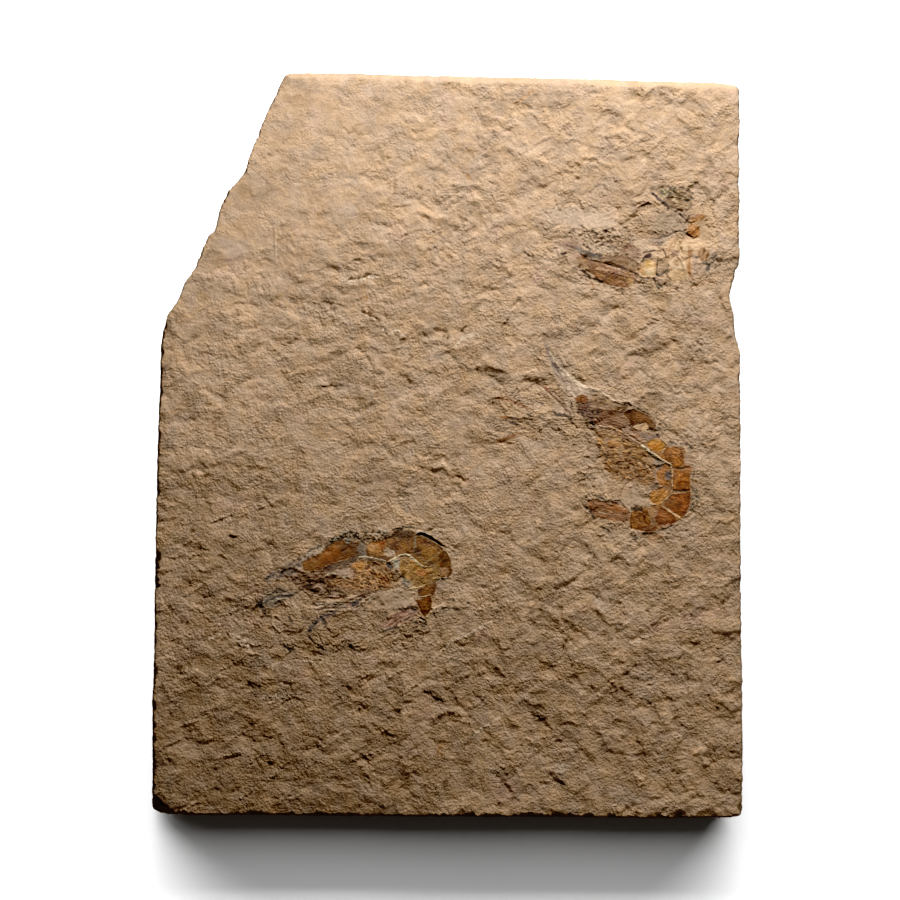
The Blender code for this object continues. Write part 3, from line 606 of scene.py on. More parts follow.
def draw_lower_left(f):
    """The shrimp at the lower left: head to the left, back arched to the upper right."""
    def t(r, g, b):
        return tone(r, g, b, 0.76)

    black, ink = t(16, 11, 7), t(54, 48, 46)
    deep, brown, maroon = t(62, 34, 14), t(104, 62, 28), t(96, 62, 44)
    amber, gold, orange = t(112, 66, 20), t(140, 94, 36), t(124, 66, 16)
    grey, mauve, pinkish = t(124, 108, 88), t(112, 92, 80), t(156, 128, 104)
    olive, cream, pale = t(134, 98, 50), t(228, 188, 158), t(172, 146, 120)
    pewter = t(158, 148, 134)

    # stone calmed round the tail and below the belly
    f.patch([(376, 590), (392, 586), (410, 590), (417, 598), (414, 606), (404, 609), (388, 610),
             (372, 606), (366, 598)], t(160, 136, 109), 0.55, 3, 1.5, calm=0.8, gloss=0.1, seed=1)
    f.patch([(436, 582), (444, 580), (449, 584), (444, 592), (437, 596), (434, 590)],
            t(131, 108, 87), 0.75, 1.5, 0.8, calm=0.8, gloss=0.15, seed=2)
    f.patch([(250, 662), (258, 656), (262, 664), (256, 670), (248, 670)], t(116, 96, 76), 0.35, 2, 1.4, calm=0.3)

    # antennae: a grey-olive bundle between dark lines
    f.patch([(258, 603), (264, 596), (272, 590), (284, 588), (292, 591), (300, 592), (292, 598),
             (280, 602), (268, 607), (261, 608)], t(87, 69, 50), 0.7, 1.6, 1.0, calm=0.5, gloss=0.15, seed=3)
    f.streaks([(258, 603), (264, 596), (272, 590), (284, 588), (296, 592), (280, 602), (264, 608)],
              -22, 1.3, 12, 0.03, t(52, 42, 31), t(120, 100, 76), 0.75, 1, 0.6, seed=4)
    f.line([(251, 611.6), (257.9, 605.4), (261.4, 601), (269.5, 594.6), (277.5, 589.8), (284, 590)],
           1.4, t(30, 22, 15), 0.85, -0.06, 0.6, wob=0.45, seed=5)
    f.line([(261.4, 603.6), (269.5, 600), (280.2, 597.3), (290, 595.5), (299, 592.6)],
           1.4, t(34, 28, 20), 0.9, -0.05, 0.6, wob=0.3, seed=6)
    f.line([(276, 588.6), (280, 589.2), (284.8, 591.4)], 2.6, black, 0.85, -0.05, 0.7, seed=7)
    f.line([(263, 602), (270, 599), (277, 598.4), (283, 600)], 1.3, t(186, 176, 158), 0.7, 0.05, 0.6, seed=8)
    f.patch([(266, 603), (274, 601), (281, 603), (277, 607), (268, 607)], t(126, 112, 96), 0.6, 1.2, 0.8, calm=0.4)
    f.line([(260.5, 604), (262, 608), (265, 611.4), (271, 614.6)], 2.4, t(26, 19, 13), 0.85, -0.10, 0.8, wob=0.8, seed=9)
    f.line([(288.2, 616), (291.8, 622.3)], 1.6, t(58, 42, 28), 0.8, -0.05, 0.6, seed=10)
    f.line([(262, 616), (270, 619), (278, 618)], 2.0, t(70, 52, 34), 0.6, -0.05, 0.9, wob=0.8, seed=11)

    # grey and mauve film ahead of and above the head shield
    f.patch([(263, 579), (270, 573), (280, 567), (290, 562), (300, 558), (308, 554), (318, 549),
             (325, 547), (325, 552), (316, 556), (306, 561), (303, 569), (296, 573), (284, 576),
             (274, 580), (266, 583)], t(130, 108, 88), 0.72, 1.8, 1.5, calm=0.4, gloss=0.2, mottle=0.3, seed=12)
    f.streaks([(263, 580), (276, 569), (292, 561), (303, 560), (304, 568), (290, 575), (270, 583)],
              -28, 1.5, 6, 0.035, t(60, 50, 46), t(146, 127, 108), 0.75, 1.2, 0.9, seed=13)
    for q in [(265.5, 578.6), (269, 577.6), (278.4, 577.0), (271, 574.2), (284, 570.4), (288, 568.6),
              (281, 572.4), (291, 573.6), (295, 566.5)]:
        f.line([q, (q[0] + 2.4, q[1] - 0.9)], 1.7, ink, 0.7, -0.035, 0.6, wob=0.8, taper=False, seed=int(q[0]))
    for q in [(294, 561.4), (297, 560.2), (300.5, 559.6), (304, 557.0), (308, 552.4), (311, 550.2),
              (314, 549.4), (317, 548.0), (320, 546.8), (311.5, 556.0), (307, 559.4)]:
        f.line([q, (q[0] + 1.6, q[1] - 1.5)], 1.5, t(34, 26, 18), 0.8, -0.05, 0.5, wob=0.7, taper=False, seed=int(q[0]) + 3)
    for q in [(302, 557), (306.5, 554.6), (310, 553), (315, 550.8), (319.5, 549.0)]:
        f.line([q, (q[0] + 1.2, q[1] + 1.2)], 1.3, t(196, 182, 158), 0.7, 0.04, 0.5, wob=0.5, taper=False, seed=int(q[0]) + 5)

    # head shield
    f.patch([(302.5, 568), (303, 562.5), (309, 559), (316, 555.6), (323, 551.2), (328, 546.4),
             (335, 542), (342, 540.6), (349, 541.6), (357, 542.4), (363, 544.4), (364.5, 551),
             (358, 554.6), (352, 557.4), (345, 560.6), (338, 562.4), (329, 565), (321, 569.4),
             (311.4, 572), (305, 571)], amber, 0.96, 0.8, 0.5, lift=0.03, gloss=0.9, seed=14, calm=0.97, dome=0.10)
    f.streaks([(303, 568), (310, 559), (323, 551), (335, 543), (349, 542), (363, 545), (362, 552),
               (345, 560), (321, 569), (308, 571)], -27, 2.6, 26, 0.012, t(85, 50, 19), t(135, 84, 33),
              0.65, 1, 0.5, seed=15, gloss=0.9)
    f.patch([(303, 568), (304, 562.5), (311, 559.5), (317, 558), (320, 562), (317, 568), (310, 571.5)],
            t(122, 81, 33), 0.75, 1.6, 0.6, gloss=0.85, seed=16)
    f.patch([(320, 562), (324, 553), (330, 549), (338, 548), (343, 551), (339, 556), (331, 560), (324, 564)],
            t(122, 70, 18), 0.8, 2.2, 0.7, gloss=0.9, seed=17)
    f.patch([(318, 565), (325, 561.5), (333, 560), (330, 564), (322, 568)], t(96, 52, 15), 0.75, 1.2, 0.5, gloss=0.9, seed=18)
    f.patch([(344, 543), (352, 543), (361, 545.5), (360, 551), (352, 554.6), (344, 555), (340, 550)],
            t(82, 51, 25), 0.65, 1.8, 0.6, gloss=0.8, seed=19)
    f.streaks([(341, 543), (352, 543), (362, 546), (359, 552), (348, 556), (340, 554)], -22, 1.6, 12, 0.02,
              t(58, 34, 17), t(103, 70, 40), 0.8, 1, 0.4, seed=20, gloss=0.8)
    f.patch([(357, 543.5), (362, 543), (366.6, 545.6), (368, 551), (366, 556), (361, 557.6), (358, 553)],
            t(108, 97, 83), 0.85, 1.4, 0.8, gloss=0.5, seed=21, calm=0.8)
    # its dull lower part
    f.patch([(322, 570), (328, 565.6), (336, 562.6), (345, 560.6), (353, 557.2), (361, 553.6), (363, 557.6),
             (356, 561), (348, 564.6), (339, 567.6), (331, 570), (323, 571.6)], t(72, 49, 33), 0.9, 0.9, 0.5,
            gloss=0.5, seed=22, calm=0.85)
    f.patch([(322, 568), (328, 565.6), (334, 566), (331, 569.6), (324, 571.6)], t(72, 46, 36), 0.8, 0.9, 0.5, gloss=0.5, seed=23)
    f.line([(310, 572.6), (322, 572), (332, 570.4), (340, 567.8), (348, 564.8), (356, 561.4), (362, 558.2)],
           1.0, t(52, 34, 24), 0.85, -0.03, 0.5, wob=0.2, seed=24, drop=0.05)
    # dark shadow line along its upper edge
    f.line([(322.5, 550.6), (328, 545.6), (333, 541.4), (338, 538.6), (343, 537.2)],
           1.5, t(22, 15, 10), 0.9, -0.08, 0.5, wob=0.35, seed=25)
    f.line([(338, 540), (343, 537.4), (348, 535.8), (353, 535.6), (358, 537.4), (363, 540.2), (366.5, 542)],
           2.0, t(26, 18, 12), 0.85, -0.09, 0.8, wob=1.0, seed=26)
    for q in [(326, 545.4), (329.6, 542.4), (333, 539), (337.4, 537.2), (341, 535.4), (345.6, 534), (350, 533.4), (354.6, 534.4),
              (358.4, 535.6), (343, 538.8), (349, 537.4), (355, 537.6), (361, 538), (364.6, 540), (331, 541)]:
        f.line([q, (q[0] + 1.7, q[1] - 1.0)], 1.7, t(34, 24, 16), 0.8, -0.07, 0.6, wob=0.8, taper=False, seed=int(q[0]) + 11)
    for q in [(339, 535.8), (347, 532.6), (352, 535), (328, 543.8), (335.4, 538.4), (360, 536.6)]:
        f.line([q, (q[0] + 1.6, q[1] - 0.8)], 1.2, t(150, 132, 104), 0.65, 0.05, 0.6, wob=0.6, taper=False, seed=int(q[0]) + 12)
    f.patch([(344.6, 539.4), (348.6, 538.4), (351.4, 540.4), (349, 542.6), (345, 542)], t(129, 122, 109), 0.8, 0.8, 0.6, seed=27)
    for q in [(336, 537), (341, 533.6), (345, 531.8), (333.6, 540)]:
        f.line([q, (q[0] + 2.2, q[1] - 0.6)], 1.4, t(176, 172, 150), 0.55, 0.04, 0.6, wob=0.5, taper=False, seed=int(q[0]))

    # crumpled mouthparts under the shield
    f.patch([(289, 579), (297, 573), (310, 573), (326, 572), (340, 569), (345, 575), (338, 583), (328, 590), (315, 594),
             (302, 591), (292, 586)], t(116, 84, 58), 0.55, 2.4, 1.6, calm=0.25, mottle=0.3, seed=130)
    f.streaks([(289, 578), (296, 573), (310, 573), (326, 573), (338, 570), (344, 576), (338, 584),
               (328, 592), (314, 596), (300, 590)], -18, 1.9, 7, 0.035, t(86, 55, 35), t(150, 121, 99), 0.65, 2, 1, seed=28)
    f.line([(298.6, 588.6), (304, 586.8), (308.6, 585.4), (317, 583), (327, 582)], 2.0, t(43, 27, 14), 0.85, -0.08, 0.7, wob=0.8, seed=29)
    f.line([(305.6, 587), (311.4, 590.2), (318.4, 592.2)], 1.9, t(57, 36, 21), 0.85, -0.08, 0.7, wob=0.8, seed=30)
    f.line([(291.6, 581.4), (296, 578.6), (301.6, 576)], 1.6, t(76, 41, 22), 0.8, -0.05, 0.7, wob=0.6, seed=31)
    f.line([(303.6, 575.4), (310, 577.6), (318, 577)], 1.5, t(94, 50, 31), 0.8, -0.05, 0.6, wob=0.6, seed=32)
    f.patch([(327.4, 578), (329.6, 575.8), (333, 574.8), (336.6, 575.4), (336.8, 577.4), (334, 579.4), (330, 580)],
            t(64, 30, 14), 0.92, 0.8, 0.4, lift=-0.06, gloss=0.4, seed=33, calm=0.6)
    f.line([(322.6, 577.8), (326, 575.8), (329.6, 573.8), (334, 572.8), (337.6, 574.6)], 1.3, t(214, 186, 158), 0.85, 0.07, 0.5, wob=0.2, seed=34)
    f.line([(311, 584), (316, 581), (322, 580.2)], 1.2, t(170, 144, 126), 0.7, 0.07, 0.5, wob=0.3, seed=35)
    f.line([(313, 587.4), (318, 586.2), (321.6, 588.2), (323.6, 591.2)], 1.3, t(204, 172, 150), 0.75, 0.08, 0.5, wob=0.4, seed=36)
    f.line([(311.4, 597.2), (318, 594.6), (323.4, 592.2), (325.2, 589)], 1.3, t(206, 184, 158), 0.75, 0.07, 0.5, wob=0.3, seed=37)
    f.patch([(338, 569.6), (346, 567.6), (354, 568.4), (356, 574), (352, 578), (344, 577.4), (338, 574)],
            t(158, 134, 114), 0.85, 1.4, 0.8, gloss=0.2, seed=38, calm=0.8)
    f.line([(339, 577.6), (345, 576.6), (351, 578), (356, 577.6)], 1.0, t(206, 186, 158), 0.6, 0.05, 0.5, seed=39)
    # crumpled limbs below the arch of the back
    f.patch([(330, 582), (338, 577.6), (346, 578.6), (356, 574), (358, 567), (366, 561), (376, 562),
             (386, 566), (392, 572), (393, 580), (389, 587), (378, 590), (366, 589), (352, 590), (340, 588)],
            t(150, 107, 67), 0.66, 2.2, 1.4, gloss=0.25, seed=40, calm=0.25, mottle=0.3)
    f.streaks([(352, 568), (360, 561), (376, 561), (388, 566), (394, 576), (390, 588), (374, 591), (354, 588)],
              42, 1.9, 7, 0.04, t(103, 63, 33), t(207, 154, 102), 0.75, 2, 1, seed=41)
    f.streaks([(326, 584), (340, 578), (356, 580), (362, 588), (348, 591), (332, 590)],
              8, 1.7, 8, 0.04, t(98, 61, 34), t(186, 141, 100), 0.7, 2, 1, seed=42)
    f.patch([(354, 563), (359, 561), (364, 563), (363, 570), (357, 571), (353, 567)], t(176, 122, 60), 0.7, 1.4, 1, gloss=0.4, seed=43)
    f.patch([(380, 577), (385, 575.6), (389, 579), (390, 585), (384, 586.4), (380, 583)], t(128, 78, 42), 0.6, 1.2, 0.8, gloss=0.3, seed=44)
    f.line([(386, 575), (388.6, 580), (389.6, 585.6)], 1.3, t(74, 36, 18), 0.75, -0.04, 0.5, seed=45)
    for a, b in [((368, 566), (375, 572)), ((363, 574), (369, 580)), ((372, 577), (376, 583)),
                 ((357, 579), (362, 585)), ((380, 569), (386, 574)), ((366, 583), (374, 587)),
                 ((374, 563), (381, 567)), ((348, 583), (357, 586)), ((377, 586), (384, 588))]:
        f.line([a, ((a[0] + b[0]) / 2 + 0.8, (a[1] + b[1]) / 2 - 0.7), b], 1.4, t(70, 46, 28), 0.75, -0.06, 0.6, wob=0.7, seed=int(a[0]))
    for a, b in [((371, 567), (378, 573)), ((366, 576), (371, 581)), ((360, 578), (366, 583)), ((383, 570), (389, 575))]:
        f.line([a, b], 1.3, t(214, 178, 132), 0.7, 0.07, 0.5, wob=0.5, seed=int(a[0]))
    # pink and olive strands below them
    f.patch([(313, 600), (326, 596), (340, 594), (356, 594), (366, 596), (360, 604), (346, 611),
             (330, 613), (316, 612)], t(183, 152, 118), 0.6, 2.2, 1.2, calm=0.6, gloss=0.15, seed=46)
    f.streaks([(313, 601), (328, 594), (350, 593), (366, 597), (356, 606), (336, 613), (314, 611)],
              -5, 1.9, 17, 0.06, t(100, 67, 51), t(200, 168, 142), 0.75, 1.4, 0.8, seed=47)
    for pts, c in [([(325, 592.6), (335, 591), (347, 593.4)], t(84, 56, 36)),
                   ([(324, 598), (335, 598.6), (346, 596.8)], t(112, 62, 36)),
                   ([(316, 605.2), (328, 604.2), (346, 604.4)], t(66, 50, 36)),
                   ([(318, 609.2), (332, 607.6), (347, 607)], t(88, 66, 48)),
                   ([(338, 595.2), (343, 596.2), (347, 597)], t(58, 30, 14))]:
        f.line(pts, 1.3, c, 0.85, -0.045, 0.5, wob=0.3, seed=int(pts[0][0]) + 1)
    f.line([(314, 603.8), (328, 602.8), (345, 603)], 1.1, t(208, 188, 158), 0.7, 0.05, 0.5, wob=0.3, seed=48)
    f.line([(317, 607.6), (332, 606), (346, 605.6)], 1.1, t(200, 176, 150), 0.65, 0.045, 0.5, wob=0.3, seed=49)
    for q in [(351.6, 603.4), (354, 602.2), (356.6, 601.4), (353.2, 605.6), (357, 604), (360, 599.6), (363, 597)]:
        f.line([q, (q[0] + 1.8, q[1] - 0.6)], 1.7, ink, 0.85, -0.04, 0.5, wob=0.5, taper=False, seed=int(q[0]))
    f.line([(345, 611), (356, 606.6), (366, 602), (374, 598)], 1.4, t(168, 146, 128), 0.7, 0.05, 0.6, seed=50)
    f.line([(349, 613), (360, 608.6), (372, 602)], 1.2, t(118, 96, 78), 0.7, -0.03, 0.6, seed=51)
    # ink-blue leg and its branch
    f.line([(336, 611.4), (330, 613.4), (325.7, 615.2), (320.4, 618.2), (315, 623.2), (310.8, 628.4), (307.8, 632.6)],
           2.2, t(60, 52, 50), 0.8, -0.04, 0.8, wob=1.0, taper=False, seed=52)
    f.line([(321, 619.4), (323.4, 622.4), (326, 626.6)], 1.9, t(60, 53, 52), 0.75, -0.04, 0.8, wob=0.9, seed=53)
    f.line([(309, 634), (309.6, 637), (312.4, 641.4)], 1.6, t(60, 44, 34), 0.7, -0.05, 0.7, seed=54)
    f.line([(300, 617), (306, 618.6), (311, 618)], 1.8, t(54, 38, 28), 0.8, -0.06, 0.7, wob=0.5, seed=55)
    # cracks and dark bars below
    f.line([(311.4, 640), (316, 644), (322, 649), (329, 651.3), (336.4, 651.8), (340, 647.2), (347, 645.3),
            (356, 650), (363, 653)], 1.4, t(48, 34, 22), 0.7, -0.07, 0.8, wob=0.8, seed=56, drop=0.08)
    f.line([(346, 645.6), (352, 647.4), (358, 651)], 1.9, t(40, 28, 18), 0.75, -0.08, 0.9, wob=0.8, seed=57)
    f.line([(301, 647.6), (306, 649), (311, 646)], 2.4, t(34, 24, 15), 0.8, -0.10, 0.9, wob=0.8, seed=58)
    f.line([(284, 646), (288, 649), (292, 648)], 2.6, t(34, 24, 15), 0.78, -0.10, 1.0, wob=1.0, seed=59)
    f.patch([(306, 642), (316, 641), (322, 646), (318, 652), (308, 650)], t(130, 100, 60), 0.5, 2, 1, lift=0.04, seed=60)

    # back plates: grainy shadow above, then the amber plates in order
    for q in [(366, 533), (369, 536), (372, 532.6), (375, 536.6), (378, 533), (381, 536.4), (384, 534),
              (387, 536), (374, 539.4), (379, 539.6), (368, 539.4), (383.6, 538.8), (364, 536)]:
        f.line([q, (q[0] + 1.8, q[1] - 0.9)], 1.6, black, 0.85, -0.08, 0.6, wob=0.6, taper=False, seed=int(q[0]))
    for q in [(367, 531.2), (371, 534.6), (376.6, 534.8), (380, 531.6), (385.6, 531.6)]:
        f.line([q, (q[0] + 1.6, q[1] - 0.7)], 1.3, t(190, 182, 160), 0.5, 0.05, 0.6, wob=0.5, taper=False, seed=int(q[0]) + 7)
    f.patch([(366, 552), (366.4, 545), (372, 541.6), (380, 540.4), (386, 538.4), (391, 537), (394, 531.4),
             (402, 530.4), (410, 530.6), (415.4, 534), (416, 545), (415.6, 555), (408, 554.8), (400, 555.6),
             (392, 559.6), (386, 562), (376, 558.6), (367, 556.6)], t(114, 77, 38), 0.95, 0.8, 0.5, lift=0.03,
            gloss=0.75, seed=61, calm=0.92, dome=0.05)
    f.streaks([(367, 553), (372, 542), (391, 538), (402, 532), (414, 535), (415, 554), (400, 555), (388, 560)],
              66, 2.6, 8, 0.03, t(78, 48, 27), t(141, 101, 59), 0.7, 1.2, 0.6, seed=62, gloss=0.7)
    f.patch([(367.4, 545), (372, 542.4), (379, 542), (383.4, 545), (383, 551), (377, 553), (369, 552.6)],
            t(156, 109, 59), 0.85, 1.2, 0.6, gloss=0.85, seed=63)
    f.patch([(369, 545.6), (374, 545), (376.4, 548), (373, 550.6), (369, 550)], t(173, 133, 88), 0.75, 1.2, 0.5, gloss=0.8, seed=64)
    f.patch([(379, 541.6), (384.6, 541), (385.4, 546), (382.4, 551), (379.6, 547)], t(136, 74, 27), 0.8, 1.0, 0.5, gloss=0.8, seed=65)
    f.patch([(383.4, 549.4), (388, 547.6), (392.6, 551), (392.4, 556), (387, 556.4), (383.8, 553.4)],
            t(163, 144, 124), 0.9, 0.9, 0.5, gloss=0.3, seed=66)
    f.line([(390.6, 545), (393, 550), (394.6, 556)], 1.0, t(204, 184, 166), 0.65, 0.04, 0.5, seed=67)
    f.patch([(396, 542), (404, 541), (411, 541.6), (412, 549), (408, 553), (400, 552)], t(120, 77, 32), 0.7, 1.6, 0.8, gloss=0.8, seed=68)
    f.patch([(400, 545), (405, 543), (408, 547), (404, 551)], t(141, 98, 46), 0.7, 1.4, 0.8, gloss=0.8, seed=69)
    f.patch([(393, 541), (398, 540), (400, 546), (397, 552), (393.6, 548)], t(90, 53, 34), 0.7, 1.2, 0.8, gloss=0.7, seed=70)
    f.patch([(391, 536.6), (394, 531.6), (402, 530.6), (410, 531), (414, 533.6), (413.6, 537.4), (404, 537.6),
             (396, 538.4)], t(61, 35, 14), 0.92, 1.0, 0.6, gloss=0.7, seed=71)
    f.streaks([(391, 537), (395, 532), (410, 531), (414, 536), (400, 538)], 78, 1.8, 4, 0.03, t(27, 16, 8), t(83, 51, 24),
              0.7, 0.8, 0.4, seed=72, gloss=0.6)
    # black painted shadow along the upper edge of the plates
    f.line([(392, 529.8), (398, 528.8), (405, 528), (411, 527.6), (416.6, 528.6)], 1.9, t(24, 17, 11), 0.88, -0.10, 0.7, wob=0.7, seed=73)
    f.line([(414.8, 531.6), (415.6, 540), (414.8, 548), (415.6, 556)], 1.7, t(126, 116, 104), 0.75, -0.03, 0.6, wob=0.4, seed=74)
    # plate at the bend
    f.patch([(416, 535), (421, 536), (428, 538.6), (435, 543), (441, 547.6), (445, 552), (441, 560),
             (433, 565), (424, 567), (418, 563), (413, 556), (415.6, 548)], t(111, 73, 26), 0.97, 0.7, 0.4,
            lift=0.04, gloss=0.95, seed=75, calm=0.97, dome=0.08)
    f.streaks([(416, 538), (430, 541), (442, 549), (440, 560), (424, 566), (415, 556)], -16, 2.4, 15, 0.02,
              t(76, 45, 14), t(134, 96, 41), 0.65, 1, 0.4, seed=76, gloss=0.95)
    f.patch([(417, 538.6), (426, 540), (434, 544), (432, 546), (422, 544), (417, 543)], t(111, 61, 24), 0.8, 1.0, 0.4, gloss=0.95, seed=77)
    f.line([(424, 541.6), (428, 542.6), (431, 544)], 1.3, t(40, 18, 8), 0.8, -0.03, 0.5, seed=78)
    # pale pink painted highlight across the plate
    f.line([(420, 545.2), (426, 544.8), (432, 547), (436, 549.4)], 1.2, t(151, 113, 80), 0.7, 0.04, 0.6, seed=79)
    f.patch([(424, 546), (434, 548), (440, 553), (436, 559), (427, 557), (422, 551)], t(129, 88, 34), 0.7, 2.0, 0.6, gloss=0.95, seed=80)
    f.patch([(415.6, 549), (420.4, 548.6), (421.6, 554), (418, 556.8), (415, 554)], t(70, 37, 19), 0.8, 1.0, 0.5, gloss=0.8, seed=81)
    # the black gap along its upper edge, painted shadow in a cut, with a pale lip above
    f.patch([(415.6, 532.8), (418, 531), (422.4, 531.2), (427, 533), (431, 535.6), (427, 535.6), (421.6, 533.2), (417, 534)],
            t(232, 190, 172), 0.85, 0.6, 0.3, lift=0.08, seed=82, calm=0.6)
    f.patch([(415.8, 534.4), (420, 532.4), (424.6, 533.2), (430, 536), (436, 540), (441, 543.8), (444.6, 546.6),
             (441, 546.2), (435, 542.6), (428, 538.6), (422, 536), (417.4, 536)], t(6, 4, 3), 1.0, 0.45, 0.15,
            lift=-0.32, seed=83, calm=1.0)
    # right, deeper brown plate
    f.patch([(440, 551.6), (444.6, 550), (448.6, 556), (451.4, 563), (452, 571), (449, 576.6), (442, 578.6),
             (438, 572), (438, 562)], t(86, 41, 6), 0.95, 0.8, 0.5, lift=0.03, gloss=0.85, seed=84, calm=0.92, dome=0.05)
    f.streaks([(440, 552), (446, 552), (451, 564), (449, 576), (440, 578), (437, 564)], 74, 2.2, 9, 0.025,
              t(51, 21, 3), t(110, 59, 10), 0.7, 0.9, 0.4, seed=85, gloss=0.85)
    f.patch([(440, 568.6), (445, 567.4), (449, 571), (447, 576), (441, 576.4)], t(146, 115, 91), 0.75, 1.4, 0.7, gloss=0.4, seed=86)
    f.line([(422.6, 564.6), (430, 559.6), (437, 554.6), (442, 550.6)], 1.1, t(140, 122, 88), 0.8, -0.02, 0.5, seed=87)
    # belly edge of the plates
    f.patch([(398, 560), (404, 557), (411, 558.6), (417, 564), (424, 568), (433, 566.6), (440, 561), (439, 572),
             (440, 579), (434, 582), (426, 586), (419, 590), (412, 586), (406, 580), (400, 572), (396, 565)],
            olive, 0.92, 0.9, 0.6, lift=0.02, gloss=0.7, seed=88, calm=0.85)
    f.streaks([(398, 561), (411, 559), (420, 566), (418, 582), (406, 579), (398, 570)], 62, 2.3, 6, 0.04,
              t(96, 63, 28), t(177, 138, 85), 0.75, 1, 0.5, seed=89, gloss=0.6)
    f.streaks([(416, 568), (430, 567), (439, 564), (439, 578), (426, 585), (416, 580)], 5, 2.4, 10, 0.02,
              t(109, 72, 28), t(173, 127, 64), 0.6, 1, 0.5, seed=90, gloss=0.8)
    f.patch([(417, 570), (424, 569), (428, 572), (424, 576), (417, 576)], t(164, 96, 38), 0.6, 1.4, 0.7, gloss=0.8, seed=91)
    f.patch([(392.6, 561), (397.6, 559), (400.6, 562), (399.6, 567.6), (395, 568)], t(165, 157, 139), 0.85, 0.9, 0.6, gloss=0.2, seed=92)
    f.patch([(385, 562.6), (389, 563), (392.4, 566.6), (391, 569.6), (386.6, 567)], t(52, 52, 56), 0.85, 0.8, 0.5, lift=-0.04, seed=93)
    for pts in [[(400, 575), (404, 579.6), (409, 583.4)], [(395, 571), (399, 575)], [(403, 583), (408, 587)]]:
        f.line(pts, 2.0, t(60, 46, 32), 0.8, -0.06, 0.7, wob=0.5, seed=int(pts[0][0]))
    f.patch([(402, 577), (408, 579), (412, 584), (407, 587), (401, 583)], t(129, 122, 104), 0.65, 1.2, 0.8, seed=94)
    # the bright broken ridge across the plates, with painted shadow along its lower side
    f.line([(358.6, 557.6), (366, 557.6), (374.5, 558.8), (382.5, 560.6), (387, 562.6), (392.3, 560),
            (400.4, 555.8), (407.5, 555), (412.9, 558.6), (419, 564.2), (422.9, 566.6)],
           1.6, t(90, 62, 38), 0.75, 0.0, 0.8, wob=0.2, taper=False, seed=95)
    f.line([(359, 557), (366, 557), (374.5, 558.2), (382.5, 560), (387, 562), (392.3, 559.3),
            (400.4, 555.1), (407.5, 554.3), (412.9, 557.9), (419, 563.5), (422.9, 566)],
           1.05, cream, 0.92, 0.11, 0.45, wob=0.2, taper=False, seed=96)
    f.line([(404, 555.6), (408.5, 555.4), (413, 559), (419, 564.6), (423, 566.8)], 1.3, t(228, 186, 158), 0.85, 0.05, 0.5, wob=0.1, seed=97)
    f.line([(368, 560.4), (376, 560.8), (384, 563.2)], 1.4, t(64, 48, 36), 0.7, -0.05, 0.6, wob=0.3, seed=98)
    # lower rim line at the right
    f.line([(434, 579.6), (441, 579.4), (447, 578.6), (453, 578.2)], 1.5, t(48, 36, 22), 0.9, -0.06, 0.5, wob=0.3, seed=99)
    f.line([(433, 578.4), (441, 578), (452, 577)], 1.0, t(196, 174, 138), 0.7, 0.05, 0.5, wob=0.2, seed=100)

    # tail flake
    f.patch([(418, 590), (426, 586), (434, 582.4), (436.4, 585), (435.6, 590), (432.6, 595), (424, 596),
             (417, 596.4)], t(110, 66, 18), 0.97, 0.7, 0.4, lift=0.05, gloss=0.95, seed=101, calm=0.97, dome=0.05)
    f.patch([(417.6, 597), (424, 597), (430.6, 596), (432.4, 603), (430.8, 609), (427.6, 614.6), (424.6, 617.6),
             (421, 613), (418.6, 607), (416.6, 601.6)], t(93, 44, 4), 0.98, 0.6, 0.4, lift=0.05, gloss=0.98,
            seed=102, calm=0.97, dome=0.06)
    f.streaks([(418, 598), (431, 598), (431, 609), (425, 617), (419, 607)], 82, 2.6, 12, 0.015, t(73, 31, 2),
              t(112, 56, 7), 0.7, 1, 0.4, seed=103, gloss=0.95)
    f.streaks([(418, 590), (434, 583), (434, 592), (420, 596)], -24, 2.0, 12, 0.02, t(80, 43, 11), t(127, 84, 29),
              0.7, 1, 0.4, seed=104, gloss=0.95)
    f.line([(411, 587.8), (417, 588), (421.4, 586.6), (426, 584.6), (430.6, 582.8), (435.4, 582)], 1.3, t(206, 172, 128), 0.8, 0.08, 0.5, wob=0.2, seed=105)
    f.patch([(417.6, 590.4), (421, 587.8), (423.4, 588.6), (420.6, 591.6), (417.8, 592)], t(60, 30, 12), 0.85, 0.6, 0.3, gloss=0.6, seed=106)
    f.line([(415.6, 596.8), (420, 597.6), (425, 596.6), (430.8, 595)], 1.3, t(216, 178, 150), 0.85, 0.08, 0.5, wob=0.25, seed=107)
    f.line([(417, 598.2), (421, 599.6), (423.6, 598)], 1.0, t(190, 150, 128), 0.7, 0.05, 0.5, wob=0.3, seed=108)
    f.line([(414.6, 597), (416, 602), (418.4, 608)], 1.3, t(96, 60, 44), 0.7, -0.03, 0.5, seed=109)
    f.line([(432, 596), (433, 603), (431.4, 609.6), (428, 615)], 1.0, t(176, 138, 96), 0.55, 0.03, 0.6, seed=110)
    f.line([(419.6, 618), (423, 619.6), (427.4, 621)], 1.9, t(24, 14, 8), 0.85, -0.06, 0.6, wob=0.3, seed=111)
    for pts in [[(414, 622.4), (419, 621.6), (424, 624), (428.6, 623.8)], [(417, 626.2), (421, 624.6), (426, 627.2)],
                [(404, 621), (409, 619.6), (414, 621)]]:
        f.line(pts, 1.3, t(44, 32, 22), 0.8, -0.05, 0.5, wob=0.4, seed=int(pts[0][0]))
    f.line([(414, 620.4), (420, 619.8), (426, 622)], 1.0, t(196, 176, 146), 0.6, 0.05, 0.5, wob=0.3, seed=112)
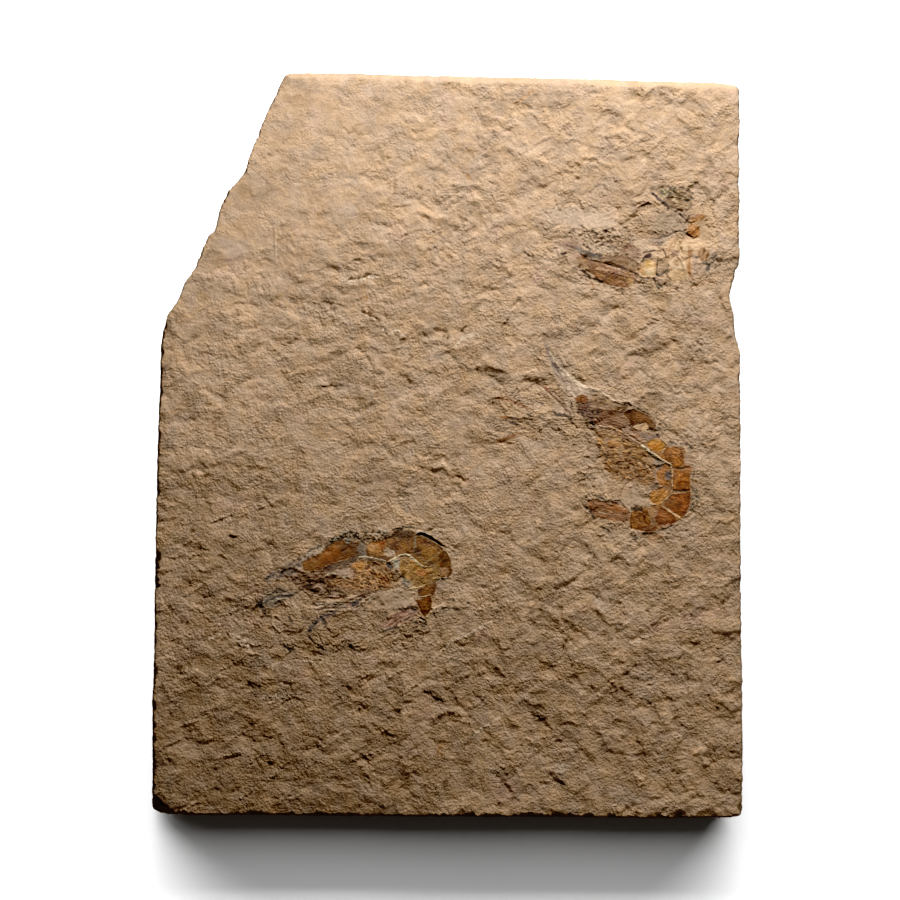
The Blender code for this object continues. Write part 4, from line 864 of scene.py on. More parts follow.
    # reddish blades beside the tail
    f.patch([(381, 624), (392, 617), (404, 610.4), (411, 607), (418, 610.4), (415, 617), (406, 620),
             (396, 624), (385, 630)], t(146, 110, 87), 0.7, 1.2, 0.8, calm=0.7, gloss=0.3, seed=113)
    f.streaks([(381, 624), (404, 609), (417, 609), (412, 620), (386, 630)], -29, 1.6, 18, 0.05, t(102, 66, 49),
              t(193, 153, 125), 0.8, 1, 0.5, seed=114)
    f.line([(382, 623.6), (393, 617.4), (404, 611.6), (411, 607.8), (418.4, 610.6)], 1.4, t(92, 54, 38), 0.85, -0.04, 0.5, wob=0.2, seed=115)
    f.line([(383.6, 628), (396, 621), (407, 615)], 1.2, t(108, 70, 50), 0.75, -0.035, 0.5, wob=0.2, seed=116)
    f.line([(400, 609.4), (405.7, 609), (411, 606), (418.6, 609.4)], 1.8, t(34, 16, 10), 0.85, -0.05, 0.5, wob=0.3, seed=117)
    f.patch([(408, 610), (413, 609), (416, 613), (412, 616), (408, 614)], t(138, 108, 96), 0.7, 1.0, 0.6, gloss=0.3, seed=118)
    f.line([(384.3, 631), (391, 629), (398, 627.2), (408, 626)], 1.4, t(58, 40, 26), 0.8, -0.05, 0.5, wob=0.3, seed=119)
    f.line([(385, 629.4), (396, 626), (408, 624.4)], 1.0, t(200, 176, 146), 0.6, 0.05, 0.5, wob=0.3, seed=120)
    for pts in [[(372, 616), (384, 612), (396, 606)], [(376, 620), (386, 615.6), (396, 611)], [(366, 612), (376, 607), (386, 603)]]:
        f.line(pts, 1.2, t(116, 98, 74), 0.6, -0.03, 0.6, wob=0.4, seed=int(pts[0][0]))
    f.line([(439.6, 649), (449, 642), (458.4, 635.4)], 1.4, t(196, 170, 132), 0.6, 0.10, 0.7, wob=0.4, seed=121)
    f.line([(446, 611), (452, 608), (460, 607)], 2.0, t(60, 44, 30), 0.6, -0.08, 0.8, wob=0.6, seed=122)
    f.line([(443, 610.6), (447, 607.6), (452, 606)], 2.6, t(30, 20, 12), 0.7, -0.08, 0.9, wob=0.7, seed=123)
    # dark masses of the mouthparts
    f.patch([(300, 588), (305, 585), (312, 583.4), (316, 585), (313, 588), (319, 591.6), (313, 592.8), (306, 591), (302, 590)],
            t(60, 36, 21), 0.62, 1.1, 1.2, lift=-0.05, seed=131)
    f.line([(291, 581.6), (295, 579.4), (297.6, 576.6)], 2.4, t(66, 32, 18), 0.78, -0.06, 0.7, wob=0.7, seed=132)
    f.line([(318, 583), (322, 580.6), (326, 581.4)], 2.6, t(58, 30, 16), 0.8, -0.07, 0.7, wob=0.6, seed=133)
    f.line([(318, 575), (324, 574), (330, 572.4)], 1.5, t(70, 38, 22), 0.75, -0.05, 0.6, wob=0.5, seed=134)
    f.line([(322, 592), (326, 588), (332, 586), (338, 586.6)], 1.5, t(78, 48, 28), 0.75, -0.05, 0.6, wob=0.5, seed=135)
    # bundle of antennae: parallel dark and pale lines
    for pts, w, c, a in (([(258, 602.6), (266, 597.4), (275, 593.4), (284, 592.2), (293, 593.4), (299, 592.8)], 1.5, t(60, 48, 36), 0.85),
                         ([(262, 603.4), (270, 599), (279, 596.6), (287, 596.4), (294, 595.4)], 1.6, t(46, 36, 26), 0.88),
                         ([(284, 596.2), (289, 596.4), (294, 595.4)], 2.4, t(38, 29, 20), 0.85),
                         ([(263, 606.4), (268, 602.6), (275, 600.6), (282, 601)], 1.3, t(66, 54, 42), 0.8),
                         ([(268, 607.6), (276, 607), (284, 604)], 1.3, t(84, 70, 54), 0.7),
                         ([(256, 604.4), (261, 599.4), (268, 594.6), (276, 591)], 1.3, t(74, 60, 44), 0.75),
                         ([(254, 603), (258, 600.6), (262, 600)], 1.6, t(66, 54, 40), 0.75),
                         ([(262, 612), (267, 616), (272, 617)], 1.6, t(54, 42, 30), 0.7)):
        f.line(pts, w, c, a, -0.05, 0.6, wob=0.35, seed=int(pts[0][0] + 3 * w * 10) % 97)
    for pts in ([(262, 600.6), (270, 595.8), (279, 593.6), (288, 594)], [(265, 604.6), (272, 601), (281, 599), (290, 598)],
                [(258, 601), (264, 596.4), (272, 592)]):
        f.line(pts, 1.1, t(176, 156, 128), 0.65, 0.05, 0.5, wob=0.3, seed=int(pts[0][1]))
    f.line([(259, 603), (261, 605.6), (262.6, 608.6)], 3.0, t(24, 19, 14), 0.9, -0.08, 0.7, wob=0.5, seed=136)
    # grey smudges above them
    for q in ((264, 579.4), (268.6, 576.4), (272, 575), (278, 577.6), (281, 576.4), (288, 573.6), (293, 572)):
        f.line([q, (q[0] + 2.6, q[1] - 0.8)], 2.2, t(70, 60, 54), 0.42, -0.02, 1.0, wob=0.9, taper=False, seed=int(q[0]) + 21)
    # strands below the limbs
    for pts, w, c, a in (([(321, 592.8), (330, 591), (338, 591.6), (344, 594), (348, 596.6)], 1.4, t(78, 54, 34), 0.82),
                         ([(323, 596.4), (332, 594.6), (340, 596), (347, 596.8)], 1.3, t(84, 58, 38), 0.78),
                         ([(337, 595.6), (342, 595.4), (347.6, 597)], 2.2, t(52, 33, 20), 0.82),
                         ([(316, 599.4), (330, 598.4), (345, 598)], 1.2, t(98, 70, 48), 0.72),
                         ([(314, 603), (322, 602), (331, 602.8), (346, 603)], 1.4, t(66, 50, 36), 0.85),
                         ([(313, 606.2), (324, 604.4), (335, 605.2), (348, 605.4)], 1.4, t(62, 48, 35), 0.85),
                         ([(316, 609.4), (326, 607.8), (338, 608.6), (349, 607.2)], 1.3, t(70, 54, 40), 0.8),
                         ([(322, 613), (333, 611), (346, 612), (352, 609)], 1.4, t(62, 47, 34), 0.8),
                         ([(352, 606), (362, 599.4), (371, 593.6)], 1.2, t(98, 72, 52), 0.7),
                         ([(355, 609), (366, 601), (376, 594)], 1.2, t(104, 78, 56), 0.65),
                         ([(350, 600), (360, 596), (370, 591.6)], 1.2, t(90, 66, 46), 0.7)):
        f.line(pts, w, c, a, -0.05, 0.6, wob=0.35, seed=int(pts[0][0] * 2 + pts[0][1]) % 97)
    for pts in ([(318, 601), (330, 600.4), (344, 600.6)], [(316, 604.4), (330, 603.6), (346, 604.2)], [(320, 611), (334, 609.6), (347, 609.6)],
                [(354, 607.6), (364, 600.4), (373, 594.4)], [(328, 593), (337, 593.2), (344, 595.6)]):
        f.line(pts, 1.1, t(190, 164, 132), 0.6, 0.06, 0.5, wob=0.3, seed=int(pts[0][1]) % 89)
    f.patch([(319, 617), (325, 613), (333, 611.6), (337, 614), (331, 617.6), (324, 619)], t(78, 66, 58), 0.6, 1.4, 1.2, lift=-0.03, seed=137)
    f.patch([(307, 631), (309, 626), (313, 621), (318, 617.6), (320, 620), (317, 625), (313, 630), (309, 634)], t(84, 72, 64), 0.5, 1.4, 1.4,
            lift=-0.02, seed=138)
    for q in ((313, 622), (315.6, 624.6), (311, 627), (309, 631), (322, 620), (325, 624), (324, 621.6), (352.6, 604), (355.4, 602.6),
              (353.6, 606.4), (357, 605)):
        f.line([q, (q[0] + 1.4, q[1] - 1.0)], 2.0, t(40, 34, 32), 0.75, -0.05, 0.6, wob=0.7, taper=False, seed=int(q[0]) + 31)
    f.line([(308, 633), (309.6, 638), (313, 642), (318, 646), (324, 650)], 1.5, t(58, 44, 30), 0.8, -0.06, 0.7, wob=0.5, seed=139)
    f.line([(288, 616), (290.4, 619), (292.4, 622.6)], 1.7, t(48, 35, 24), 0.8, -0.07, 0.6, wob=0.4, seed=140)
    for q in ((283, 645), (286, 647.6), (289, 650), (291.6, 648), (287.6, 644.6)):
        f.line([q, (q[0] + 1.6, q[1] + 0.8)], 2.4, t(34, 26, 18), 0.72, -0.08, 0.8, wob=0.9, taper=False, seed=int(q[0]) + 33)
    # blades of the tail fan and the cracks round the tail's tip
    for pts, w, c, a in (([(380, 622.6), (392, 616.4), (403, 611.4), (409, 609)], 1.3, t(96, 62, 44), 0.8),
                         ([(382, 626), (394, 620.4), (406, 615.4), (414, 612.6)], 1.2, t(112, 76, 54), 0.75),
                         ([(384, 624.4), (396, 618), (408, 612.4)], 1.1, t(176, 136, 108), 0.6),
                         ([(397, 609.8), (401, 608.8), (405, 608.4)], 2.0, t(40, 26, 18), 0.85),
                         ([(409, 606.8), (413, 608.8), (417.4, 611)], 2.2, t(30, 19, 13), 0.88),
                         ([(404, 620.4), (408, 618.8), (411.4, 616.6)], 2.0, t(46, 30, 20), 0.82),
                         ([(382, 632), (388, 629.6), (394, 627.2), (398.4, 626.6)], 1.8, t(42, 29, 19), 0.82),
                         ([(400, 627.2), (407, 625.2)], 1.4, t(84, 60, 40), 0.75),
                         ([(414, 622.4), (418.6, 624)], 1.9, t(38, 26, 17), 0.82),
                         ([(419, 616.6), (422, 618.6), (426, 620.4)], 2.0, t(28, 18, 12), 0.88),
                         ([(421, 624.2), (427, 624.6)], 1.5, t(34, 23, 15), 0.8),
                         ([(421, 626), (425.6, 627.8)], 1.4, t(40, 28, 19), 0.75),
                         ([(372, 620.6), (382, 615), (391, 611)], 1.3, t(90, 70, 50), 0.7),
                         ([(368, 617), (378, 612), (388, 607)], 1.2, t(104, 82, 60), 0.6)):
        f.line(pts, w, c, a, -0.05, 0.6, wob=0.4, seed=int(pts[0][0] + pts[0][1]) % 97)
    f.line([(429, 613.4), (433, 610), (438, 606.2), (443, 603.4), (448, 600.6)], 1.9, t(204, 172, 138), 0.75, 0.10, 0.6, wob=0.3, seed=141)
    f.patch([(436, 600), (442, 597), (446, 599), (442, 603), (437, 605)], t(132, 100, 74), 0.55, 1.4, 1.0, seed=142)
    for q in ((434, 615), (437, 613.4), (441, 609), (443.6, 611), (454, 608), (456, 610.6), (461, 608), (448, 599), (453.6, 600),
              (458, 600), (466, 600.6), (468.6, 603)):
        f.line([q, (q[0] + 2.0, q[1] + 0.6)], 2.0, t(46, 33, 22), 0.7, -0.08, 0.8, wob=0.8, taper=False, seed=int(q[0]) + 35)


def draw_right(f):
    """The shrimp at the right: head to the upper left, back to the upper right, tail
    curled under to the left."""
    def t(r, g, b):
        return tone(r, g, b, 0.95)

    black, ink = t(18, 12, 7), t(40, 40, 40)
    amber, brown, deep = t(128, 80, 34), t(112, 70, 40), t(84, 50, 28)
    cream, pale, pinkish = t(222, 196, 164), t(196, 168, 138), t(160, 130, 108)
    mauve, grey = t(138, 106, 88), t(160, 136, 114)

    # rostrum: a thin grey-mauve film, and the antennae beside it
    f.patch([(542, 339), (545, 341), (549, 348), (552, 356), (556, 364), (562, 372), (568, 380),
             (563, 384), (557, 378), (552, 369), (549, 360), (546, 350)], t(172, 146, 124), 0.75, 1.0, 0.7,
            calm=0.6, gloss=0.2, seed=201)
    f.line([(543, 340), (546.5, 346), (548.6, 354), (552.4, 362), (558, 370), (564, 378)], 1.2, t(112, 94, 80), 0.7,
           -0.03, 0.6, wob=0.4, seed=202)
    f.line([(545, 341), (549, 348), (551.5, 356), (556, 364)], 1.0, t(120, 104, 92), 0.6, -0.02, 0.6, wob=0.3, seed=203)
    f.patch([(556, 364), (563, 368), (572, 374), (584, 386), (598, 392), (588, 398), (574, 396), (564, 386),
             (556, 374)], t(180, 155, 129), 0.75, 1.6, 0.8, calm=0.7, gloss=0.2, seed=204)
    f.streaks([(550, 356), (562, 366), (576, 380), (596, 392), (584, 400), (566, 392), (554, 374)], 42, 1.9, 14,
              0.035, t(118, 94, 74), t(206, 182, 154), 0.7, 1.2, 0.6, seed=205)
    f.line([(551, 362), (559, 367), (570, 368)], 1.2, t(96, 78, 60), 0.75, -0.04, 0.5, wob=0.3, seed=206)
    f.line([(560, 372), (570, 379), (580, 387), (590, 388), (600, 391), (606, 395), (612, 400), (618, 402),
            (630, 401.5), (639, 409)], 2.3, t(208, 182, 152), 0.85, 0.16, 0.7, wob=0.45, seed=207)
    f.line([(549, 352), (554, 360), (561, 370), (571, 378), (581, 386)], 1.5, t(196, 170, 143), 0.55, 0.08, 0.7, wob=0.4, seed=330)
    f.line([(555, 381), (561, 387.5), (567.5, 395)], 1.3, t(206, 182, 156), 0.75, 0.07, 0.6, wob=0.2, seed=208)
    f.line([(540, 384), (548, 391), (557, 399), (563, 405), (570, 414)], 1.4, t(112, 78, 52), 0.85, -0.05, 0.5, wob=0.3, seed=209)
    f.line([(543, 383), (550, 392), (559, 399), (568, 405)], 1.1, t(204, 180, 152), 0.7, 0.06, 0.5, wob=0.3, seed=210)
    f.line([(538, 388), (546, 396), (555, 405)], 1.1, t(132, 100, 74), 0.6, -0.04, 0.5, wob=0.4, seed=211)
    f.line([(549, 372), (555, 381), (562, 390), (571, 399)], 1.2, t(104, 80, 60), 0.75, -0.05, 0.5, wob=0.3, seed=212)
    f.line([(553, 411.5), (558, 416), (569, 417.5)], 1.3, t(80, 54, 34), 0.85, -0.06, 0.5, wob=0.3, seed=213)
    f.line([(570, 402), (572, 409), (574, 414)], 1.4, t(72, 50, 34), 0.8, -0.06, 0.5, wob=0.3, seed=214)
    f.line([(546, 340), (549, 334), (547, 330)], 1.0, t(140, 114, 90), 0.5, -0.03, 0.7, seed=215)
    f.line([(560, 405), (566, 411), (571, 418), (577, 421)], 1.4, t(92, 62, 40), 0.8, -0.06, 0.6, wob=0.4, seed=216)
    f.line([(564, 412), (570, 420), (577, 427)], 2.2, t(60, 44, 32), 0.75, -0.07, 0.8, wob=0.5, seed=217)

    f.line([(578, 390.6), (586, 393.6), (594, 395.6)], 2.2, t(126, 94, 70), 0.6, -0.05, 0.7, wob=0.5, seed=364)

    # leg strands ahead of the head: brown threads that run dark in places
    for pts, w, c, al, h in (
            ([(496, 396.6), (503, 399), (510, 401), (517, 403.6), (524, 406.6), (530, 409.6), (536, 412.4)], 1.5, t(134, 88, 52), 0.82, -0.04),
            ([(497, 397.4), (500, 398.6), (504.6, 399.2)], 2.4, t(74, 50, 32), 0.8, -0.06),
            ([(510, 401), (514, 402), (517.6, 404)], 1.9, t(78, 50, 30), 0.8, -0.05),
            ([(520.6, 404.6), (524, 406.6), (527.6, 409)], 2.1, t(72, 46, 28), 0.8, -0.05),
            ([(498, 403.6), (506, 406), (514, 409), (521, 412.4), (528, 415), (535, 417), (542, 418.6)], 1.3, t(140, 98, 62), 0.75, -0.04),
            ([(526, 413.8), (529.6, 415.8), (533.6, 416.8)], 2.6, t(68, 45, 29), 0.8, -0.06),
            ([(535.6, 416.6), (540, 417.6), (544, 419.4), (546.6, 422.4)], 2.0, t(88, 66, 46), 0.72, -0.06),
            ([(524, 403.6), (529, 404.4), (534, 404.6)], 1.4, t(98, 74, 52), 0.7, -0.05),
            ([(536, 400.6), (540, 403.4), (545, 405.6)], 2.2, t(92, 72, 54), 0.65, -0.06),
            ([(500, 417.6), (506, 416.8), (512, 418)], 2.4, t(150, 94, 46), 0.9, 0.0),
            ([(503, 419.6), (508, 418.4), (514, 419.4), (520, 420)], 2.2, t(92, 60, 36), 0.85, -0.05),
            ([(511.6, 418.4), (515.6, 418.6), (519.6, 418.8)], 1.9, t(66, 46, 32), 0.8, -0.05),
            ([(488, 420), (498, 420), (507, 421), (514, 423.6), (519.6, 425.4)], 1.2, t(98, 70, 46), 0.75, -0.04),
            ([(509, 421.8), (514, 423.6), (519, 425.2)], 2.6, t(58, 42, 29), 0.8, -0.07),
            ([(499.6, 423), (504.4, 423.6)], 1.6, t(72, 54, 38), 0.72, -0.05),
            ([(521, 428), (525.4, 428.6)], 1.8, t(66, 48, 34), 0.72, -0.06),
            ([(484, 436.6), (488, 434.6), (492.4, 434.8)], 2.2, t(96, 70, 48), 0.6, -0.05),
            ([(495.6, 442.4), (500, 440.2), (506, 437.8), (513, 435.2), (520, 433.2)], 1.9, t(144, 92, 46), 0.82, -0.02),
            ([(497, 442.6), (505, 440.8), (514, 438.8)], 1.6, t(110, 72, 42), 0.78, -0.05),
            ([(505, 440.6), (512, 437.6), (518, 434.8)], 2.2, t(126, 82, 42), 0.7, -0.03),
            ([(513, 433.4), (520, 432.8), (526, 435)], 1.1, t(168, 124, 80), 0.65, 0.03),
            ([(536, 366), (539, 370), (542.6, 376)], 1.6, t(96, 70, 50), 0.7, -0.05)):
        f.line(pts, w, c, al, h, 0.6, wob=0.3, seed=int(pts[0][0] + pts[0][1] * 2) % 97)
    for pts in ([(508, 398.4), (517, 401.4), (526, 405.2), (533, 409)], [(500, 405.6), (510, 409.6), (520, 414)],
                [(512, 432.4), (520, 431.2), (528, 432.6)], [(500, 415.4), (508, 415), (516, 416.4)]):
        f.line(pts, 1.2, t(212, 184, 150), 0.6, 0.07, 0.6, wob=0.3, seed=int(pts[0][0]) % 89)
    f.patch([(498, 441.6), (505, 438), (514, 435.6), (522, 433.6), (520, 437.6), (511, 440.4), (502, 442.6)], t(146, 104, 66), 0.42, 1.1, 0.8,
            gloss=0.2, seed=360)
    f.patch([(497, 396), (508, 397.6), (520, 402), (532, 409), (524, 408.6), (510, 403), (498, 399.4)], t(160, 112, 74), 0.5, 1.2, 0.8, seed=361)
    f.line([(504, 384), (504.6, 390), (504.4, 396)], 2.2, t(186, 142, 98), 0.5, 0.0, 0.9, wob=0.5, seed=340)
    f.patch([(520, 357), (527, 354), (531, 358), (529, 365), (522, 366)], t(190, 150, 110), 0.35, 2.4, 1.4, seed=341)
    # reddish pair of threads that end below the eye
    f.line([(537, 383.6), (542, 385.6), (547, 390.4), (552, 395), (557, 400), (562, 404.6), (567, 409.4), (570.6, 414)], 1.4, t(104, 70, 44), 0.85,
           -0.06, 0.5, wob=0.25, taper=False, seed=342)
    f.line([(543, 385), (547, 388), (550.6, 392.4)], 2.0, t(150, 94, 56), 0.75, 0.0, 0.6, wob=0.3, seed=343)
    f.line([(545, 384), (551, 388.6), (557, 395), (563, 401.6), (569, 408)], 1.2, t(120, 88, 62), 0.75, -0.05, 0.5, wob=0.3, seed=344)
    f.line([(541, 387.6), (548, 394), (555, 401), (562, 408), (568, 414.6)], 1.2, t(214, 186, 154), 0.7, 0.08, 0.5, wob=0.25, seed=345)
    f.line([(552.6, 411.4), (556.6, 414.2), (562, 414.6), (569, 417)], 2.5, t(46, 33, 24), 0.85, -0.09, 0.6, wob=0.5, seed=346)
    f.line([(557, 367.6), (563, 368.6), (569, 366), (574, 363.6)], 1.8, t(94, 74, 56), 0.7, -0.07, 0.7, wob=0.5, seed=347)
    # the rostrum's dark spine with its pale side
    f.line([(543.4, 339.4), (546, 344), (547.6, 351), (549.4, 357), (552.6, 363), (556.6, 369), (560.4, 375), (563.6, 381), (567, 386)], 2.0,
           t(128, 106, 92), 0.8, -0.04, 0.7, wob=0.35, seed=348)
    f.line([(551, 361), (555, 366.6), (559, 373)], 2.6, t(88, 72, 60), 0.72, -0.05, 0.7, wob=0.5, seed=349)
    f.line([(548.6, 345), (550.6, 352), (554, 359), (560, 367), (568, 375), (578, 383), (590, 387.4)], 1.2, t(232, 203, 170), 0.6, 0.08, 0.6,
           wob=0.45, seed=350)

    # eye
    f.patch([(575, 400), (577, 396), (582, 394.6), (587, 396), (588.6, 399.5), (588, 403), (583, 403.4), (577, 404)],
            t(113, 61, 17), 0.97, 0.6, 0.4, lift=0.05, gloss=0.8, seed=232, calm=0.95)
    f.patch([(578, 397), (582, 396), (584, 398.6), (580, 400.4)], t(147, 86, 28), 0.8, 0.9, 0.4, gloss=0.8, seed=233)
    f.line([(575.6, 402), (580, 403.8), (586, 403.6), (590, 402.4)], 1.3, t(37, 17, 7), 0.9, -0.05, 0.4, wob=0.2, seed=234)
    f.line([(581, 396), (580.4, 400), (582, 403)], 1.0, t(64, 28, 8), 0.75, -0.03, 0.4, seed=235)
    f.patch([(577, 404.6), (583, 404.8), (589, 404), (590, 408), (585, 410), (578, 409)], t(97, 59, 40), 0.92, 0.8, 0.5,
            gloss=0.5, seed=236, calm=0.7)
    f.patch([(587, 400.6), (592, 400.4), (592.4, 405), (588, 405.4)], t(94, 66, 60), 0.85, 0.7, 0.4, gloss=0.4, seed=237, calm=0.6)
    for q in [(593, 399.4), (595.6, 400.4), (597.4, 399.6), (594.4, 402.4), (578, 408.6), (581.5, 410.6)]:
        f.line([q, (q[0] + 1.3, q[1] + 0.5)], 1.5, t(38, 34, 26), 0.85, -0.04, 0.5, wob=0.3, taper=False, seed=int(q[0]))

    # head shield: grey-tan band, dark zone with streaks, purple-brown film
    f.patch([(590, 399), (597, 396.8), (605, 397.4), (613, 401), (620, 403.6), (628, 405.4), (626, 410), (616, 410.4),
             (606, 409), (597, 406.6), (590, 404.6)], t(118, 88, 60), 0.92, 0.9, 0.6, calm=0.85, gloss=0.4, seed=238)
    f.streaks([(592, 399), (604, 398), (620, 404), (628, 407), (616, 410), (598, 406)], 14, 1.7, 9, 0.03,
              t(70, 46, 28), t(168, 138, 106), 0.75, 0.9, 0.4, seed=239)
    f.line([(602, 401), (612, 404.4), (622, 406.6)], 1.5, t(172, 146, 118), 0.75, 0.04, 0.5, wob=0.3, seed=240)
    f.patch([(576, 409), (586, 407), (598, 408), (604, 411), (602, 421), (598, 424), (590, 421), (583, 417), (577, 413)],
            t(89, 57, 38), 0.92, 0.9, 0.6, calm=0.6, gloss=0.4, seed=241)
    f.streaks([(576, 410), (588, 407), (604, 410), (602, 422), (590, 422), (580, 416)], 30, 1.9, 7, 0.07,
              t(32, 18, 11), t(140, 107, 77), 0.85, 0.9, 0.5, seed=242)
    for q in [(578, 413), (582, 416.4), (586, 419.6), (590, 422.6), (584, 423), (580, 420), (587, 426.4), (591, 428.4), (594, 425)]:
        f.line([q, (q[0] + 2.0, q[1] + 0.8)], 1.6, t(40, 28, 18), 0.8, -0.06, 0.6, wob=0.5, taper=False, seed=int(q[0]) + 1)
    f.patch([(599, 409.4), (610, 409.6), (620, 411), (629, 412), (634, 418), (634, 425), (627, 428), (618, 428),
             (608, 425.6), (601, 422), (598, 416)], t(126, 88, 62), 0.95, 0.9, 0.6, calm=0.9, gloss=0.55, lift=0.02, seed=243, dome=0.04)
    f.streaks([(600, 411), (614, 410), (632, 414), (634, 425), (618, 428), (602, 422)], 28, 2.4, 16, 0.03,
              t(88, 56, 38), t(158, 122, 94), 0.75, 1.0, 0.5, seed=244, gloss=0.5)
    f.patch([(616, 415), (623, 413.6), (631, 417), (633, 424), (627, 427), (620, 424)], t(146, 116, 94), 0.8, 1.2, 0.6, gloss=0.4, seed=245)
    f.patch([(602, 411.6), (609, 411), (614, 414), (610, 418), (603, 417)], t(112, 70, 40), 0.7, 1.1, 0.6, gloss=0.5, seed=246)
    # amber patch with its sharp edge
    f.patch([(624, 413.4), (628, 410.6), (634, 409.4), (640, 411), (648, 415), (653, 420), (656, 424.6), (655, 429),
             (650, 428), (646, 422.6), (640, 423.4), (635, 424.6), (632, 427), (629, 420.5)], t(107, 63, 20), 0.98, 0.55, 0.3,
            lift=0.05, gloss=0.95, seed=247, calm=0.97, dome=0.05)
    f.patch([(636, 412.4), (643, 414), (649, 418), (648, 421.6), (641, 420), (636, 417)], t(124, 75, 24), 0.8, 1.4, 0.6, gloss=0.95, seed=248)
    f.patch([(627, 412.6), (631, 411.6), (633, 416), (632, 422), (629, 418)], t(82, 44, 14), 0.75, 0.9, 0.4, gloss=0.9, seed=249)
    f.patch([(648, 421), (653, 423), (655, 427.6), (651, 427)], t(119, 80, 39), 0.75, 0.8, 0.4, gloss=0.8, seed=250)
    f.line([(621, 402.5), (628, 404), (635, 407), (641, 410.4), (649, 414.4)], 1.5, t(28, 16, 8), 0.92, -0.10, 0.45, wob=0.15, seed=251)
    f.line([(648, 414), (653, 418.6), (656.6, 424)], 1.2, t(70, 46, 26), 0.8, -0.04, 0.5, wob=0.2, seed=252)
    f.patch([(634, 425.4), (640, 424), (646, 423.6), (649.6, 428), (646, 431.4), (640, 430.4), (635, 428.6)],
            t(200, 163, 124), 0.9, 0.7, 0.4, lift=0.03, gloss=0.35, seed=253, calm=0.9)
    f.patch([(629, 428), (635, 429), (642, 431.4), (648, 433.6), (645, 438), (638, 438.6), (632, 434)],
            t(130, 90, 61), 0.92, 0.9, 0.5, gloss=0.5, seed=254, calm=0.8)
    f.streaks([(628, 428), (648, 433), (644, 440), (630, 434)], 30, 1.8, 9, 0.035, t(84, 50, 28), t(165, 130, 97), 0.7, 0.9, 0.4, seed=255)
    f.patch([(637, 431), (645, 432.6), (653, 433.6), (657.6, 437), (654, 440.6), (647, 441), (641, 437.6)],
            t(125, 102, 87), 0.88, 1.0, 0.6, gloss=0.35, seed=256, calm=0.75)
    f.patch([(656, 434.6), (659.4, 435), (660, 437.4), (657, 438)], t(58, 40, 28), 0.85, 0.7, 0.4, lift=-0.04, seed=257)
    for q in [(657, 419), (660, 420.6), (663, 423), (659, 424), (665, 426), (661, 427.6), (667, 429), (663.6, 430.4), (658.6, 428), (669, 425)]:
        f.line([q, (q[0] + 1.7, q[1] + 0.3)], 1.6, t(50, 48, 38), 0.8, -0.05, 0.6, wob=0.5, taper=False, seed=int(q[0]) + 2)

    # reddish strip below the film, beside the keel line
    f.patch([(594, 419), (602, 421.6), (612, 425.6), (624, 430.4), (636, 437.4), (646, 446), (640, 446), (628, 438.6), (614, 432), (601, 428.4)],
            t(142, 96, 66), 0.78, 1.1, 0.8, gloss=0.35, seed=362, calm=0.55)
    f.streaks([(594, 419), (612, 425), (636, 437), (646, 446), (630, 440), (612, 433), (598, 427)], 28, 1.7, 14, 0.04,
              t(96, 60, 40), t(184, 140, 108), 0.7, 1.0, 0.6, seed=363)
    # pale keel line down the side and along the plates
    f.line([(601, 427), (615, 430), (624, 434.8), (632, 439.8), (642, 446.8), (649, 451.8), (658, 459), (671, 466)],
           1.8, t(66, 42, 25), 0.8, -0.05, 0.6, wob=0.2, taper=False, seed=258)
    f.line([(600, 425.6), (615, 428.6), (624, 433.6), (632, 438.6), (642, 445.6)], 1.5, t(212, 182, 148), 0.88, 0.09, 0.45,
           wob=0.2, taper=False, seed=259)
    f.line([(642, 445.6), (649, 450.8), (658, 457.6), (664, 461), (671, 464.6)], 2.1, t(236, 212, 178), 0.97, 0.15, 0.5,
           wob=0.15, taper=False, seed=260)
    f.line([(647, 452), (654, 457.6), (662, 463.4), (671, 467)], 1.2, t(44, 28, 18), 0.85, -0.06, 0.45, wob=0.2, seed=261)
    f.line([(671, 464.6), (672.4, 472), (672.2, 480), (673, 489), (669.4, 496), (665, 500), (660, 504)], 1.2,
           t(214, 186, 150), 0.9, 0.08, 0.45, wob=0.25, taper=False, seed=262)


    # amber-brown ground below all plates of the back
    f.patch([(646, 443), (652, 439.4), (659, 439), (665, 443.4), (668, 446.4), (676, 446.4), (683, 448), (687, 455), (691, 463), (692, 468),
             (690.6, 475), (690.4, 484), (691, 493), (690, 502), (688, 510), (683, 517), (675, 523), (666, 526.6), (656, 531),
             (646, 532), (636, 530.4), (630, 527), (630, 518), (632, 511), (640, 507.4), (650, 508), (656, 505), (651, 500), (652, 493),
             (658, 489), (664, 485.6), (667, 479), (664, 474), (660, 467), (664, 463), (658, 456), (650, 450)],
            t(140, 96, 54), 0.92, 0.9, 0.6, lift=0.0, gloss=0.6, seed=331, calm=0.86)
